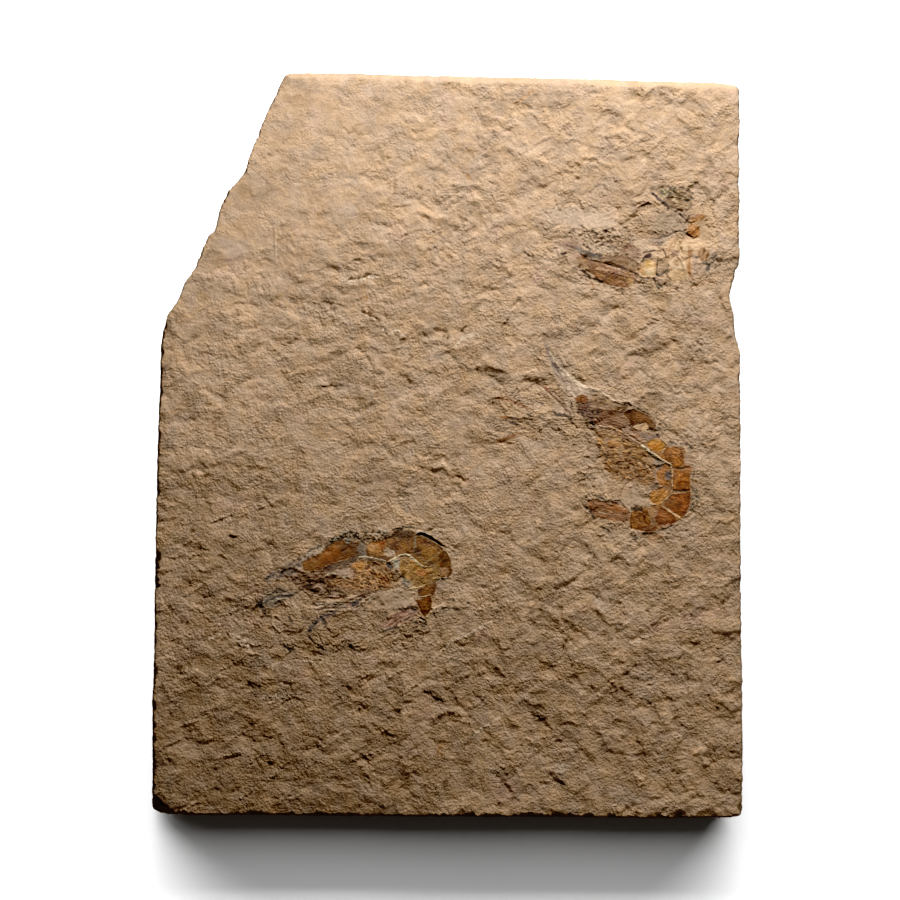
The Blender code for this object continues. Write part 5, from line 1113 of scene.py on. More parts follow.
    # back plates, from the head round to the tail
    f.patch([(647, 443.6), (650, 440.6), (656, 439), (661, 440.4), (664.4, 444.4), (664, 450), (658, 453),
             (652, 450.6), (648, 447)], t(202, 143, 71), 0.96, 0.8, 0.4, lift=0.03, gloss=0.95, seed=263, calm=0.96, dome=0.06)
    f.patch([(649, 446), (654, 444.6), (659, 447), (657, 451), (651, 449)], t(171, 108, 44), 0.8, 1.2, 0.5, gloss=0.9, seed=264)
    f.line([(664.6, 443.6), (665, 448), (661.5, 453.6)], 1.3, t(88, 54, 30), 0.8, -0.05, 0.5, seed=265)
    f.line([(661.5, 454), (664, 450), (667, 447)], 1.1, t(216, 188, 154), 0.85, 0.07, 0.45, wob=0.2, seed=266)
    f.patch([(666, 447), (674, 447), (682, 448), (684.4, 455), (685, 462), (680, 467), (672.4, 466.4), (666, 462),
             (661, 458), (662, 453)], t(144, 91, 41), 0.96, 0.8, 0.5, lift=0.03, gloss=0.8, seed=267, calm=0.94, dome=0.06)
    f.patch([(674, 458), (680, 457), (683.6, 461), (680, 466), (674.6, 465)], t(165, 104, 37), 0.85, 1.2, 0.6, gloss=0.9, seed=268)
    f.streaks([(664, 449), (682, 449), (684, 462), (672, 466), (662, 457)], 62, 2.3, 9, 0.03, t(101, 60, 29), t(181, 124, 64),
              0.7, 1.0, 0.4, seed=269, gloss=0.8)
    f.patch([(684, 452), (688.6, 456), (690.6, 463.6), (686.6, 465), (684, 460)], t(178, 146, 120), 0.85, 0.9, 0.5, seed=270, calm=0.6)
    f.line([(671.6, 467.4), (680, 468.8), (687, 468.2), (692, 466.8)], 1.4, t(40, 22, 12), 0.9, -0.07, 0.45, wob=0.2, seed=271)
    f.patch([(683, 468.4), (687, 466), (692, 467.4), (692, 472), (687, 473.4), (682.6, 472)], t(148, 93, 43), 0.92, 0.7, 0.4, gloss=0.8, seed=272, calm=0.9)
    f.patch([(672.6, 470), (680, 470.4), (689, 473.6), (689.4, 479), (690, 486), (689.6, 489.6), (680, 489.6),
             (673, 489)], t(153, 93, 37), 0.96, 0.8, 0.4, lift=0.03, gloss=0.9, seed=273, calm=0.95, dome=0.06)
    f.patch([(672.6, 472), (677, 472.4), (678.6, 480), (677, 488), (673.4, 487)], t(140, 95, 54), 0.85, 1.0, 0.5, gloss=0.6, seed=274)
    f.streaks([(673, 471), (689, 475), (690, 489), (674, 489)], 80, 2.4, 9, 0.025, t(109, 63, 22), t(186, 120, 50), 0.7, 0.9, 0.4, seed=275, gloss=0.85)
    f.line([(672.6, 490.4), (680, 490.8), (690, 490)], 1.4, t(42, 22, 10), 0.9, -0.07, 0.45, wob=0.2, seed=276)
    f.line([(669.4, 494), (675, 493.6), (682, 493.2)], 1.1, t(200, 160, 118), 0.75, 0.05, 0.45, wob=0.2, seed=277)
    f.patch([(670, 495), (678, 494), (689.6, 492.4), (690, 499), (689, 507), (686, 513.4), (681, 517), (675, 513),
             (670, 509), (664, 504.4)], t(126, 68, 18), 0.98, 0.7, 0.4, lift=0.04, gloss=0.98, seed=278, calm=0.97, dome=0.08)
    f.patch([(677, 496), (685, 495), (688, 500), (684, 506), (678, 503)], t(146, 81, 24), 0.8, 1.8, 0.6, gloss=0.98, seed=279)
    f.patch([(664, 500), (670, 496.6), (676, 498), (678, 504), (672, 507), (666, 505)], t(132, 86, 47), 0.75, 1.2, 0.6, gloss=0.7, seed=280)
    f.streaks([(668, 497), (689, 494), (689, 508), (680, 515), (668, 507)], -40, 2.8, 12, 0.02, t(96, 47, 12), t(156, 90, 32),
              0.65, 1.0, 0.4, seed=281, gloss=0.95)
    f.line([(660, 504), (665, 507.4), (669.4, 510.4), (675, 515)], 1.3, t(46, 24, 12), 0.9, -0.06, 0.45, wob=0.2, seed=282)
    f.line([(668, 510.6), (673.6, 514), (681.6, 519)], 1.4, t(222, 184, 142), 0.9, 0.08, 0.45, wob=0.2, seed=283)
    # inner side of the bend
    f.patch([(650, 493), (656, 490), (664, 489.6), (670, 491), (668, 498), (661, 503.4), (654, 504), (649, 500)],
            t(183, 127, 68), 0.94, 0.9, 0.6, gloss=0.7, seed=284, calm=0.85, lift=0.02)
    f.streaks([(650, 493), (668, 490), (667, 499), (654, 504)], -30, 2.0, 9, 0.035, t(127, 77, 36), t(227, 171, 103), 0.75, 0.9, 0.4, seed=285)
    f.patch([(657, 470), (664, 467), (669, 470), (667, 480), (664, 486), (659, 486), (656.6, 479)], t(167, 108, 51), 0.9, 1.0, 0.6,
            gloss=0.6, seed=286, calm=0.75)
    f.patch([(664.6, 471), (670, 470.6), (671.6, 476), (669, 480.4), (665.4, 478)], t(126, 112, 106), 0.85, 0.8, 0.6, gloss=0.2, seed=287)
    for q in [(666, 472), (668.6, 474.4), (666.6, 476.8), (669.4, 478)]:
        f.line([q, (q[0] + 1.4, q[1] + 0.3)], 1.3, t(84, 66, 60), 0.8, -0.04, 0.5, taper=False, seed=int(q[1]))
    f.patch([(652, 461), (658, 460), (664, 464), (662, 468.6), (656, 469), (651.6, 466)], t(164, 146, 126), 0.85, 1.0, 0.6, gloss=0.2, seed=288)
    f.patch([(622, 491.6), (632, 489.6), (642, 490.4), (649, 493), (648, 500), (642, 505), (632, 506), (623, 502)],
            t(166, 140, 112), 0.4, 2.2, 1.4, calm=0.45, gloss=0.1, seed=289)
    # tail plates below the bend
    f.patch([(655, 511), (661, 507.4), (667, 510), (673.4, 515), (677, 520), (671, 524), (664, 526), (656, 524),
             (654, 517)], t(126, 70, 24), 0.97, 0.7, 0.4, lift=0.03, gloss=0.95, seed=290, calm=0.95, dome=0.05)
    f.patch([(659, 512), (665, 512), (669, 517), (664, 520), (659, 517)], t(148, 89, 33), 0.75, 1.4, 0.6, gloss=0.95, seed=291)
    f.patch([(647, 510), (653, 508.6), (658, 511), (656, 517), (651, 518), (647, 515)], t(158, 124, 94), 0.88, 0.9, 0.5, gloss=0.35, seed=292, calm=0.85)
    f.patch([(649, 520), (655, 519.6), (657, 524), (653, 527.6), (649, 526)], t(158, 122, 92), 0.85, 0.9, 0.5, gloss=0.3, seed=293)
    f.patch([(631, 513), (636, 509), (643, 507.6), (648, 511), (649, 518), (650, 525), (645, 530), (638, 530),
             (631, 528.6), (630, 521)], t(123, 73, 22), 0.96, 0.8, 0.4, lift=0.02, gloss=0.9, seed=294, calm=0.9, dome=0.04)
    f.streaks([(631, 512), (644, 508), (650, 516), (648, 529), (632, 528)], 24, 2.2, 10, 0.04, t(78, 40, 11), t(165, 114, 53),
              0.75, 0.9, 0.4, seed=295, gloss=0.8)
    f.patch([(644, 525), (650, 525.6), (657, 527), (656, 531.4), (649, 533.6), (643, 531)], t(114, 71, 37), 0.94, 0.7, 0.4, gloss=0.7, seed=296, calm=0.85)
    f.patch([(657, 526), (663, 525), (669, 523.6), (670, 526), (664, 528.4), (658, 529)], t(186, 146, 116), 0.85, 0.8, 0.4, gloss=0.3, seed=297)
    f.line([(634, 531), (642, 533.6), (650, 534), (658, 531.4), (668, 527.4), (678, 522)], 1.6, t(60, 42, 26), 0.75, -0.08, 0.6, wob=0.4, seed=298)
    f.patch([(630.6, 508), (636, 506.6), (642, 507.6), (642.4, 510.6), (636, 511.6), (631, 511)], t(44, 26, 14), 0.9, 0.7, 0.5, lift=-0.07, seed=299)
    # dark stain beyond the plates, and dark marks along the edges of the pit they lie in
    for q in [(691, 487), (693, 491), (695, 495.6), (692, 498), (696, 501), (693, 505), (690.6, 509), (697, 491), (698, 497)]:
        f.line([q, (q[0] + 1.5, q[1] + 1.2)], 2.2, t(82, 74, 56), 0.75, -0.05, 0.8, wob=0.6, taper=False, seed=int(q[1]) + 4)
    for q in [(671, 442), (674.6, 443.4), (678, 442.6), (681.6, 444.4), (685, 445), (688, 447.4), (691, 449)]:
        f.line([q, (q[0] + 2.0, q[1] + 0.5)], 2.0, t(78, 62, 46), 0.75, -0.06, 0.7, wob=0.6, taper=False, seed=int(q[0]) + 5)
    f.line([(692.6, 466), (694, 474), (692, 482), (693.4, 489)], 1.6, t(86, 62, 40), 0.75, -0.06, 0.6, wob=0.4, seed=300)
    f.line([(686, 443), (690, 446), (694, 450)], 1.4, t(52, 38, 26), 0.8, -0.06, 0.5, seed=301)

    # tail fan: narrow blades side by side
    f.patch([(588, 503), (592, 499.6), (601, 500), (610, 501.6), (619, 503.6), (627, 508), (630, 513), (629, 521),
             (624, 522.4), (614, 521.4), (604, 519.4), (596, 517.4), (590, 513)], t(134, 90, 55), 0.9, 1.0, 0.6,
            gloss=0.4, seed=302, calm=0.75)
    f.streaks([(588, 502), (602, 500), (620, 503), (630, 513), (628, 522), (606, 520), (590, 513)], 14, 2.1, 18, 0.05,
              t(66, 43, 25), t(191, 141, 100), 0.8, 1.0, 0.4, seed=303)
    f.line([(592, 495), (600, 497), (606, 501), (612, 503)], 1.5, t(56, 54, 48), 0.85, -0.05, 0.5, wob=0.3, seed=304)
    f.line([(612, 500), (620, 501), (625, 507)], 1.5, t(54, 52, 46), 0.85, -0.05, 0.5, wob=0.3, seed=305)
    f.line([(592, 502), (600, 504.6), (609, 507.4), (617, 510)], 2.6, t(167, 124, 94), 0.85, 0.05, 0.6, wob=0.3, seed=306)
    f.line([(606, 506), (616, 509), (628, 512.6)], 2.6, t(140, 84, 33), 0.88, 0.03, 0.6, wob=0.3, gloss=0.5, seed=307)
    f.line([(590, 509), (602, 513), (614, 516), (628, 517.6)], 1.8, t(110, 69, 39), 0.85, -0.03, 0.6, wob=0.3, seed=308)
    f.line([(592, 513.6), (604, 517), (618, 519.6), (629, 521)], 2.0, t(148, 106, 71), 0.8, 0.04, 0.6, wob=0.3, seed=309)
    f.line([(596, 511), (606, 514), (618, 515.4)], 0.9, t(212, 178, 140), 0.7, 0.05, 0.5, wob=0.2, seed=310)
    f.line([(595, 498.6), (603, 500.6), (611, 504)], 0.9, t(206, 178, 146), 0.65, 0.05, 0.5, wob=0.2, seed=311)
    f.line([(582.5, 504.6), (586, 508.6), (590, 512), (593, 517), (598, 523)], 2.4, t(38, 28, 20), 0.9, -0.12, 0.7, wob=0.6, seed=312)
    f.line([(599, 526.4), (604, 528.6), (609, 531), (611, 533.4)], 2.8, t(30, 20, 12), 0.92, -0.14, 0.7, wob=0.6, seed=313)
    f.line([(629, 532.6), (633, 536), (638, 538.6)], 3.2, t(60, 44, 30), 0.85, -0.12, 0.9, wob=0.8, seed=314)
    f.line([(584, 500), (589, 501), (594, 503.4)], 1.3, t(72, 56, 42), 0.8, -0.06, 0.5, seed=315)
    f.line([(602, 521.4), (612, 524), (624, 525)], 1.2, t(94, 66, 42), 0.75, -0.06, 0.6, wob=0.4, seed=316)
    f.patch([(650, 536), (658, 533.6), (664, 536), (658, 540), (650, 540)], t(176, 124, 84), 0.55, 1.6, 1.0, seed=317)

    # legs: ochre streaks, then reddish crumples
    f.patch([(596, 431), (606, 430.6), (618, 434.6), (630, 440.6), (642, 448), (650, 455), (655, 463), (655, 474),
             (654, 484), (644, 486), (632, 482), (618, 481), (610, 476), (605, 466), (600, 455), (597, 444)],
            t(145, 106, 65), 0.72, 2.0, 1.2, calm=0.45, gloss=0.25, seed=318, mottle=0.2)
    f.streaks([(598, 434), (612, 434), (632, 443), (648, 455), (646, 462), (620, 458), (604, 456), (598, 444)], 8, 2.0, 13,
              0.045, t(95, 59, 29), t(196, 150, 97), 0.8, 1.4, 0.8, seed=319)
    f.streaks([(604, 458), (622, 458), (646, 463), (655, 472), (650, 485), (634, 481), (612, 478), (605, 468)], 20, 2.1, 8,
              0.055, t(74, 42, 21), t(184, 131, 81), 0.85, 1.4, 0.9, seed=320)
    for pts in [[(610, 461), (616, 463.6), (622, 462.6)], [(618, 467), (625, 469.4), (632, 468)], [(612, 470), (618, 473.6), (625, 474)],
                [(630, 474), (637, 477), (644, 476)], [(626, 461.6), (633, 465), (640, 466)], [(636, 470), (643, 472.4), (650, 472)],
                [(606, 465), (611, 468)], [(640, 460), (646, 464.6)], [(622, 478), (630, 480)]]:
        f.line(pts, 1.5, t(84, 50, 26), 0.8, -0.07, 0.7, wob=0.7, seed=int(pts[0][0]) + 6)
    for pts in [[(612, 465), (620, 466.6), (628, 465.8)], [(614, 476), (622, 476.8), (632, 478.4)], [(633, 461.6), (641, 463.4)],
                [(604, 440), (614, 443), (625, 446.4)], [(602, 447.6), (614, 450), (628, 452.6)]]:
        f.line(pts, 1.2, t(206, 166, 122), 0.7, 0.06, 0.5, wob=0.4, seed=int(pts[0][0]) + 7)
    f.patch([(608, 441), (616, 442), (620, 446), (612, 447)], t(172, 114, 62), 0.7, 1.2, 0.6, seed=321)
    f.line([(597, 443.6), (599, 446), (600.6, 449)], 2.1, t(66, 48, 34), 0.8, -0.08, 0.8, wob=0.7, seed=322)
    f.line([(600, 451), (604, 454), (609, 457.6)], 2.2, t(68, 50, 34), 0.78, -0.08, 0.8, wob=0.8, seed=323)
    f.line([(594, 434), (597, 438.6)], 2.2, t(60, 42, 28), 0.8, -0.08, 0.8, wob=0.6, seed=324)
    for q in [(579, 473), (583, 475), (587, 477.6), (590, 474.4), (592.4, 478.6)]:
        f.line([q, (q[0] + 1.8, q[1] + 0.9)], 2.0, t(66, 52, 38), 0.75, -0.06, 0.8, wob=0.6, taper=False, seed=int(q[0]) + 8)
    f.line([(636, 477), (643, 478.6), (651, 478)], 1.2, t(96, 64, 40), 0.75, -0.05, 0.6, wob=0.3, seed=325)
    f.line([(646, 465), (650, 469.6), (652, 476)], 1.2, t(204, 178, 146), 0.7, 0.06, 0.5, wob=0.3, seed=326)
    # the keel line lies over the plates, down to the tail
    f.line([(658, 458.6), (664, 462), (670.6, 465.6), (671.8, 472), (671.6, 480), (672.4, 488), (669.4, 495.6), (664.6, 500.4), (661, 504.6)],
           2.3, t(58, 36, 20), 0.55, -0.03, 0.7, wob=0.2, taper=False, seed=351)
    f.line([(642, 445.6), (649, 450.8), (658, 457.6), (664, 461), (671, 464.8)],
           1.5, t(236, 206, 170), 0.95, 0.14, 0.45, wob=0.25, taper=False, seed=352)
    f.line([(671, 464.8), (672.2, 472), (672, 480), (672.8, 488.4), (669.8, 495.4)], 1.0, t(222, 184, 142), 0.82, 0.10, 0.45, wob=0.35,
           taper=False, seed=357)
    f.line([(669.8, 495.4), (665.4, 499.8), (660.6, 503.8)], 1.1, t(220, 188, 150), 0.85, 0.08, 0.45, wob=0.2, seed=353)
    f.line([(661, 505), (668, 509.6), (675, 514), (682, 518.6)], 1.3, t(226, 186, 142), 0.85, 0.09, 0.45, wob=0.2, seed=354)
    f.line([(671.6, 489.8), (680, 491), (689, 490)], 1.6, t(46, 25, 12), 0.85, -0.07, 0.45, wob=0.25, seed=355)
    f.line([(672, 467), (680, 468.6), (691, 466.6)], 1.6, t(44, 25, 13), 0.85, -0.07, 0.45, wob=0.25, seed=356)


def draw_upper_right(f):
    """The crushed shrimp at the upper right."""
    def t(r, g, b):
        return tone(r, g, b, 1.40)

    def specks(points, w, colour, alpha=0.8, lift=-0.05, dx=1.8, dy=0.7, seed=0):
        for q in points:
            f.line([q, (q[0] + dx, q[1] + dy)], w, colour, alpha, lift, 0.6, wob=0.5, taper=False, seed=int(q[0]) + seed)

    # smooth grey patch to the upper left, with the dark line at its end
    f.patch([(544, 212), (556, 208), (572, 207), (590, 210), (604, 215), (613, 222), (608, 228), (594, 229),
             (578, 227), (562, 224), (549, 220)], t(227, 198, 169), 0.70, 3.0, 1.6, calm=0.75, gloss=0.1, seed=401)
    f.patch([(556, 212), (572, 211), (586, 214), (582, 221), (564, 220)], t(220, 190, 164), 0.5, 3.0, 1.4, calm=0.7, seed=402)
    f.line([(599, 232), (606, 230), (613, 228)], 1.6, t(84, 62, 46), 0.85, -0.08, 0.6, wob=0.4, seed=403)

    # crumpled, speckled zone below it
    f.streaks([(562, 231), (580, 228), (600, 231), (616, 237), (622, 246), (600, 249), (580, 244), (564, 240)], 22, 2.0, 7,
              0.06, t(128, 100, 78), t(222, 194, 162), 0.7, 2.0, 1.2, seed=404)
    specks([(592, 231.5), (595, 233), (604, 230.4), (608, 241.6), (601, 245)], 2.2, t(72, 52, 40), 0.85, -0.07, seed=1)
    specks([(570, 233), (576, 235), (583, 232.6), (571, 238), (600, 238), (612, 229.4), (617, 240.6), (623, 238), (629, 239.6)],
           1.5, t(104, 78, 60), 0.7, -0.05, seed=2)
    f.line([(552, 237), (560, 237.6), (568, 237.2)], 1.4, t(108, 82, 58), 0.7, -0.05, 0.6, wob=0.3, seed=501)
    f.line([(550, 259.6), (557, 259), (563, 258)], 1.4, t(112, 84, 58), 0.65, -0.05, 0.7, wob=0.3, seed=502)
    # mauve films with the dark smudge beside the head
    f.patch([(561, 241), (570, 238.6), (580, 240), (583, 246), (576, 251), (566, 250), (560, 246)], t(169, 134, 112), 0.65, 1.6, 1.0,
            calm=0.45, gloss=0.2, seed=405)
    specks([(567, 245.6), (571, 246.8), (575, 248.4)], 1.9, t(98, 72, 58), 0.8, -0.05, seed=3)
    f.patch([(572, 254), (578, 252.6), (584, 256), (585, 259.4), (578, 260.6), (572, 258)], t(204, 164, 138), 0.8, 1.0, 0.6, calm=0.5, seed=503)
    f.patch([(575, 247), (580, 245.6), (583, 249), (581, 253), (576, 251.6)], t(150, 138, 128), 0.75, 1.0, 0.6, calm=0.4, seed=504)
    f.patch([(581, 251), (586, 250.4), (592, 252), (599, 253.6), (603, 256), (600, 259), (593, 258.6), (586, 256)], t(114, 101, 87),
            0.88, 0.9, 0.6, calm=0.6, gloss=0.2, seed=505)
    f.line([(588, 252.6), (593, 254), (598, 255.6)], 2.4, t(102, 97, 94), 0.8, 0.0, 0.7, wob=0.4, seed=506)
    f.line([(583, 243.6), (585, 246)], 1.6, t(50, 38, 32), 0.85, -0.05, 0.5, seed=507)
    f.line([(585.4, 246.4), (588, 248), (592, 249.4)], 2.6, t(52, 36, 28), 0.92, -0.07, 0.6, wob=0.4, seed=508)
    f.line([(596, 253.6), (599, 254.8), (603, 255.4)], 1.8, t(66, 50, 40), 0.85, -0.05, 0.5, seed=509)
    f.line([(578.4, 251.6), (582, 254.6), (586, 257.4), (590, 260)], 1.5, t(78, 52, 32), 0.88, -0.06, 0.5, wob=0.3, seed=510)
    # pale rumpled ridge over the smudge
    f.patch([(588, 243), (596, 243), (606, 246), (616, 250), (620, 254), (612, 256), (603, 254), (595, 250.6), (590, 247)],
            t(220, 190, 158), 0.78, 1.2, 0.9, calm=0.35, lift=0.06, seed=410)
    f.line([(590, 243.6), (597, 247.4), (604, 251.4), (612, 253.6)], 1.6, t(236, 206, 172), 0.8, 0.08, 0.6, wob=0.4, seed=409)
    f.line([(607, 246.6), (612, 247.6), (619, 249)], 3.0, t(158, 138, 116), 0.75, -0.05, 0.8, wob=0.4, seed=511)
    f.line([(602, 243.6), (607, 242), (612, 242.4)], 2.0, t(110, 78, 58), 0.8, -0.06, 0.6, wob=0.5, seed=512)
    f.patch([(618, 244), (626, 243), (634, 245), (640, 249), (640, 256), (634, 260), (627, 258), (620, 252)], t(158, 123, 97), 0.78, 1.6, 0.9,
            calm=0.45, gloss=0.3, seed=411)
    f.streaks([(618, 243), (630, 243), (641, 248), (639, 260), (627, 258)], 38, 1.9, 9, 0.05, t(117, 84, 61), t(195, 162, 130), 0.7, 1.2, 0.6, seed=412)
    f.line([(622, 245.6), (625, 248.6), (627, 252)], 1.5, t(150, 90, 56), 0.75, -0.04, 0.6, wob=0.4, seed=513)
    f.line([(628, 245), (632, 247), (635, 250)], 1.4, t(156, 104, 72), 0.7, -0.04, 0.6, wob=0.4, seed=514)
    f.patch([(633, 231), (641, 229), (649, 232), (650, 238), (642, 238), (635, 235)], t(196, 156, 118), 0.5, 1.8, 1.2, seed=515)
    f.line([(636, 233.6), (639, 232.4), (642, 231)], 1.8, t(106, 68, 44), 0.8, -0.06, 0.6, wob=0.5, seed=516)

    # upper leaf of the head: a grey-tan lens under a brown edge
    f.patch([(600, 259), (604, 256.6), (611, 255.6), (620, 256.4), (628, 258.4), (635, 261.4), (638.6, 264.6), (638, 271),
             (633, 272.4), (626, 270), (618, 266.6), (609, 263.6)], t(149, 117, 87), 0.96, 0.8, 0.4, calm=0.92, gloss=0.5, lift=0.03, seed=413)
    f.streaks([(602, 258), (620, 257), (637, 264), (636, 271), (612, 264)], 17, 2.0, 16, 0.02, t(119, 88, 59), t(171, 137, 104),
              0.7, 0.9, 0.4, seed=414, gloss=0.5)
    f.line([(601, 258.6), (606, 256.2), (613, 255.4), (621, 256.4), (629, 258.6), (636, 261.6)], 1.8, t(123, 81, 45), 0.85, 0.02, 0.5,
           wob=0.25, gloss=0.5, seed=517)
    f.patch([(628, 262.6), (634, 263.6), (638, 266), (637, 270.6), (631, 269.6), (626, 266.6)], t(196, 162, 128), 0.85, 1.1, 0.6, gloss=0.3, seed=518)
    f.patch([(607, 259), (614, 259.6), (618, 262.4), (612, 262.8), (607, 261)], t(152, 128, 106), 0.7, 1.1, 0.6, gloss=0.4, seed=519)
    # tip of the head
    f.patch([(576, 257.6), (582, 257), (590, 260), (596, 264.6), (598, 269), (590, 270.4), (583, 268.4), (577, 264)], t(184, 148, 112), 0.85,
            1.0, 0.6, calm=0.75, gloss=0.3, seed=520)
    f.line([(579.6, 254.6), (584, 258.4), (589, 261.6), (594, 265)], 1.9, t(186, 136, 92), 0.85, 0.04, 0.6, wob=0.3, gloss=0.4, seed=521)
    # wide pinkish strand under the dark line
    f.patch([(584, 259), (592, 260), (600, 263), (610, 266), (620, 269.6), (630, 272.6), (639, 275), (638, 278.6), (628, 277),
             (616, 273.6), (606, 271.6), (596, 268), (588, 264)], t(178, 136, 106), 0.95, 0.8, 0.4, calm=0.92, gloss=0.55, lift=0.03, seed=415)
    f.streaks([(586, 259), (602, 263), (622, 270), (639, 276), (626, 277), (600, 270)], 19, 1.8, 18, 0.02, t(158, 114, 80), t(216, 174, 138),
              0.65, 0.9, 0.3, seed=422, gloss=0.5)
    # body of the head below it
    f.patch([(588, 265), (596, 268.4), (606, 271.6), (616, 273.6), (628, 277), (636, 278.4), (634, 284), (628, 288), (618, 287.4),
             (608, 285), (600, 280.6), (594, 275.6), (589, 270)], t(156, 110, 68), 0.97, 0.8, 0.4, lift=0.03, calm=0.94, gloss=0.85, seed=416, dome=0.05)
    f.patch([(594, 271), (600, 270.6), (606, 273), (604, 278), (598, 277.4)], t(150, 93, 44), 0.8, 1.3, 0.6, gloss=0.85, seed=417)
    f.patch([(599, 276), (605, 275), (611, 275.6), (609, 279), (602, 279.6)], t(98, 58, 26), 0.88, 0.9, 0.5, gloss=0.8, seed=418)
    f.patch([(611, 271.6), (617, 271.6), (618, 276), (614, 278.4), (611, 275.6)], t(124, 80, 60), 0.8, 1.1, 0.5, gloss=0.7, seed=419)
    f.patch([(609, 279.6), (616, 279), (624, 281.6), (627, 285), (622, 287.6), (613, 286)], t(164, 116, 80), 0.85, 1.1, 0.5, gloss=0.75, seed=420)
    f.line([(609, 279.4), (616, 279.2), (623, 280.8), (626.6, 284.4), (624.6, 287.4)], 1.2, t(112, 70, 40), 0.75, -0.03, 0.5, wob=0.25, seed=522)
    f.patch([(626, 276.6), (634, 278.4), (634, 283.6), (629, 287), (626.6, 282)], t(198, 160, 118), 0.85, 1.1, 0.6, gloss=0.5, seed=523)
    f.streaks([(590, 266), (606, 272), (634, 279), (624, 287), (602, 281)], 16, 2.2, 16, 0.025, t(114, 72, 38), t(190, 146, 102),
              0.6, 0.9, 0.4, seed=421, gloss=0.8)
    f.line([(595, 268.4), (601, 269.8), (609, 270.4)], 1.5, t(228, 182, 132), 0.85, 0.05, 0.5, wob=0.2, seed=524)
    f.line([(599.6, 266.6), (603.6, 266.6), (606.6, 268.4)], 1.7, t(124, 62, 36), 0.85, -0.04, 0.5, wob=0.2, seed=525)
    # the dark line through the head, and the pale edge below it
    f.line([(584, 257.6), (590, 259.8), (596, 261), (604, 263.2), (612, 265), (620, 267), (628, 270.6), (637, 273.6)], 1.5,
           t(84, 50, 26), 0.9, -0.06, 0.45, wob=0.2, taper=False, seed=423)
    f.line([(609, 264.4), (616, 265.4), (622, 267.8), (627, 270.4)], 2.7, t(72, 42, 18), 0.92, -0.08, 0.5, wob=0.25, seed=424)
    f.line([(610, 267), (619, 269.8), (628, 272.8), (637, 275)], 0.9, t(226, 182, 144), 0.7, 0.05, 0.5, wob=0.15, seed=526)
    # shadow under the head and the curved line in front of it
    f.line([(561, 253.4), (564, 253.8), (567, 253.4)], 2.6, t(62, 42, 30), 0.9, -0.07, 0.6, wob=0.4, seed=425)
    f.line([(564, 257), (567, 261), (569.6, 265), (573, 268.6), (578, 271)], 1.4, t(88, 64, 46), 0.88, -0.08, 0.5, wob=0.3, seed=527)
    f.line([(576, 272), (582, 276.6), (588, 280.6), (593, 284)], 1.1, t(122, 92, 68), 0.75, -0.05, 0.5, wob=0.3, seed=528)
    f.line([(566, 262), (572, 267.4), (579, 273), (586, 278)], 1.1, t(214, 182, 150), 0.6, 0.06, 0.5, wob=0.3, seed=428)
    f.line([(579.6, 270), (584, 271.4), (588, 273.6), (591, 276)], 2.8, t(62, 38, 22), 0.93, -0.13, 0.6, wob=0.4, seed=426)
    f.line([(583, 275), (588, 277), (594, 279), (600, 281), (606, 282.6)], 2.8, t(34, 20, 12), 0.95, -0.18, 0.6, wob=0.4, seed=427)
    f.line([(591, 282), (594.6, 287.6)], 1.6, t(184, 122, 74), 0.75, 0.0, 0.6, seed=529)
    f.line([(575, 279), (579, 280)], 1.8, t(112, 88, 66), 0.7, -0.05, 0.6, seed=530)
    f.line([(620, 289.4), (626, 288.8)], 1.6, t(92, 70, 50), 0.75, -0.05, 0.6, seed=531)
    f.line([(636.6, 276.6), (635, 281), (633.4, 285.6)], 1.1, t(110, 82, 56), 0.85, -0.06, 0.45, wob=0.2, seed=532)

    # dark patch and cream shell with its yellow spot and ring crack
    f.line([(641.6, 261.4), (643.6, 258.4), (647, 256), (650.6, 254.6)], 2.2, t(44, 30, 24), 0.88, -0.06, 0.6, wob=0.3, seed=533)
    f.patch([(643.6, 257), (646, 253.6), (649.6, 253), (651.6, 256), (649.6, 259), (645.6, 259.6)], t(64, 37, 28), 0.92, 0.8, 0.5,
            calm=0.5, lift=-0.03, seed=430)
    f.line([(641, 253.4), (646, 251.8), (652, 251.2), (655, 249.6)], 1.5, t(84, 64, 50), 0.85, -0.06, 0.5, wob=0.3, seed=431)
    f.line([(641, 249.6), (647, 248), (654, 247.4)], 1.8, t(220, 192, 162), 0.75, 0.06, 0.6, wob=0.3, seed=433)
    f.patch([(650, 238), (658, 236.6), (664, 240), (662, 246), (655, 246), (650, 243)], t(168, 142, 122), 0.6, 1.5, 1.0, seed=534)
    f.line([(660.6, 243.4), (663.6, 241.6)], 2.4, t(86, 68, 62), 0.85, -0.06, 0.6, wob=0.4, seed=535)
    f.patch([(640, 264), (645, 260), (652, 259), (657, 260), (657, 268), (656.4, 275), (650, 277.6), (642, 276.6), (638.4, 271)],
            t(249, 204, 155), 0.96, 0.9, 0.5, calm=0.93, gloss=0.4, lift=0.03, seed=434, dome=0.04)
    f.patch([(645.6, 261), (650, 260.6), (651.4, 264.6), (648.6, 268), (645.6, 266.4)], t(224, 177, 92), 0.85, 1.1, 0.5, gloss=0.4, seed=435)
    f.patch([(645, 268), (652, 267), (656, 270), (654.6, 275.6), (647, 276.4)], t(250, 220, 175), 0.85, 1.4, 0.6, seed=436)
    f.patch([(638.6, 265), (642, 262.6), (644, 268), (642.6, 274), (639.4, 271)], t(228, 177, 132), 0.7, 1.2, 0.6, seed=536)
    f.patch([(657.4, 261), (663, 261.6), (668, 265.6), (667, 271), (662, 273.6), (657.4, 273)], t(197, 164, 132), 0.85, 1.0, 0.6, calm=0.6,
            gloss=0.2, seed=439)
    f.line([(657, 258.6), (661, 259.4), (663.6, 261)], 1.4, t(84, 64, 44), 0.85, -0.06, 0.45, wob=0.25, seed=537)
    f.line([(658, 247), (663, 249.6), (665.4, 253), (665.6, 258)], 1.3, t(96, 74, 52), 0.82, -0.06, 0.5, wob=0.3, seed=538)
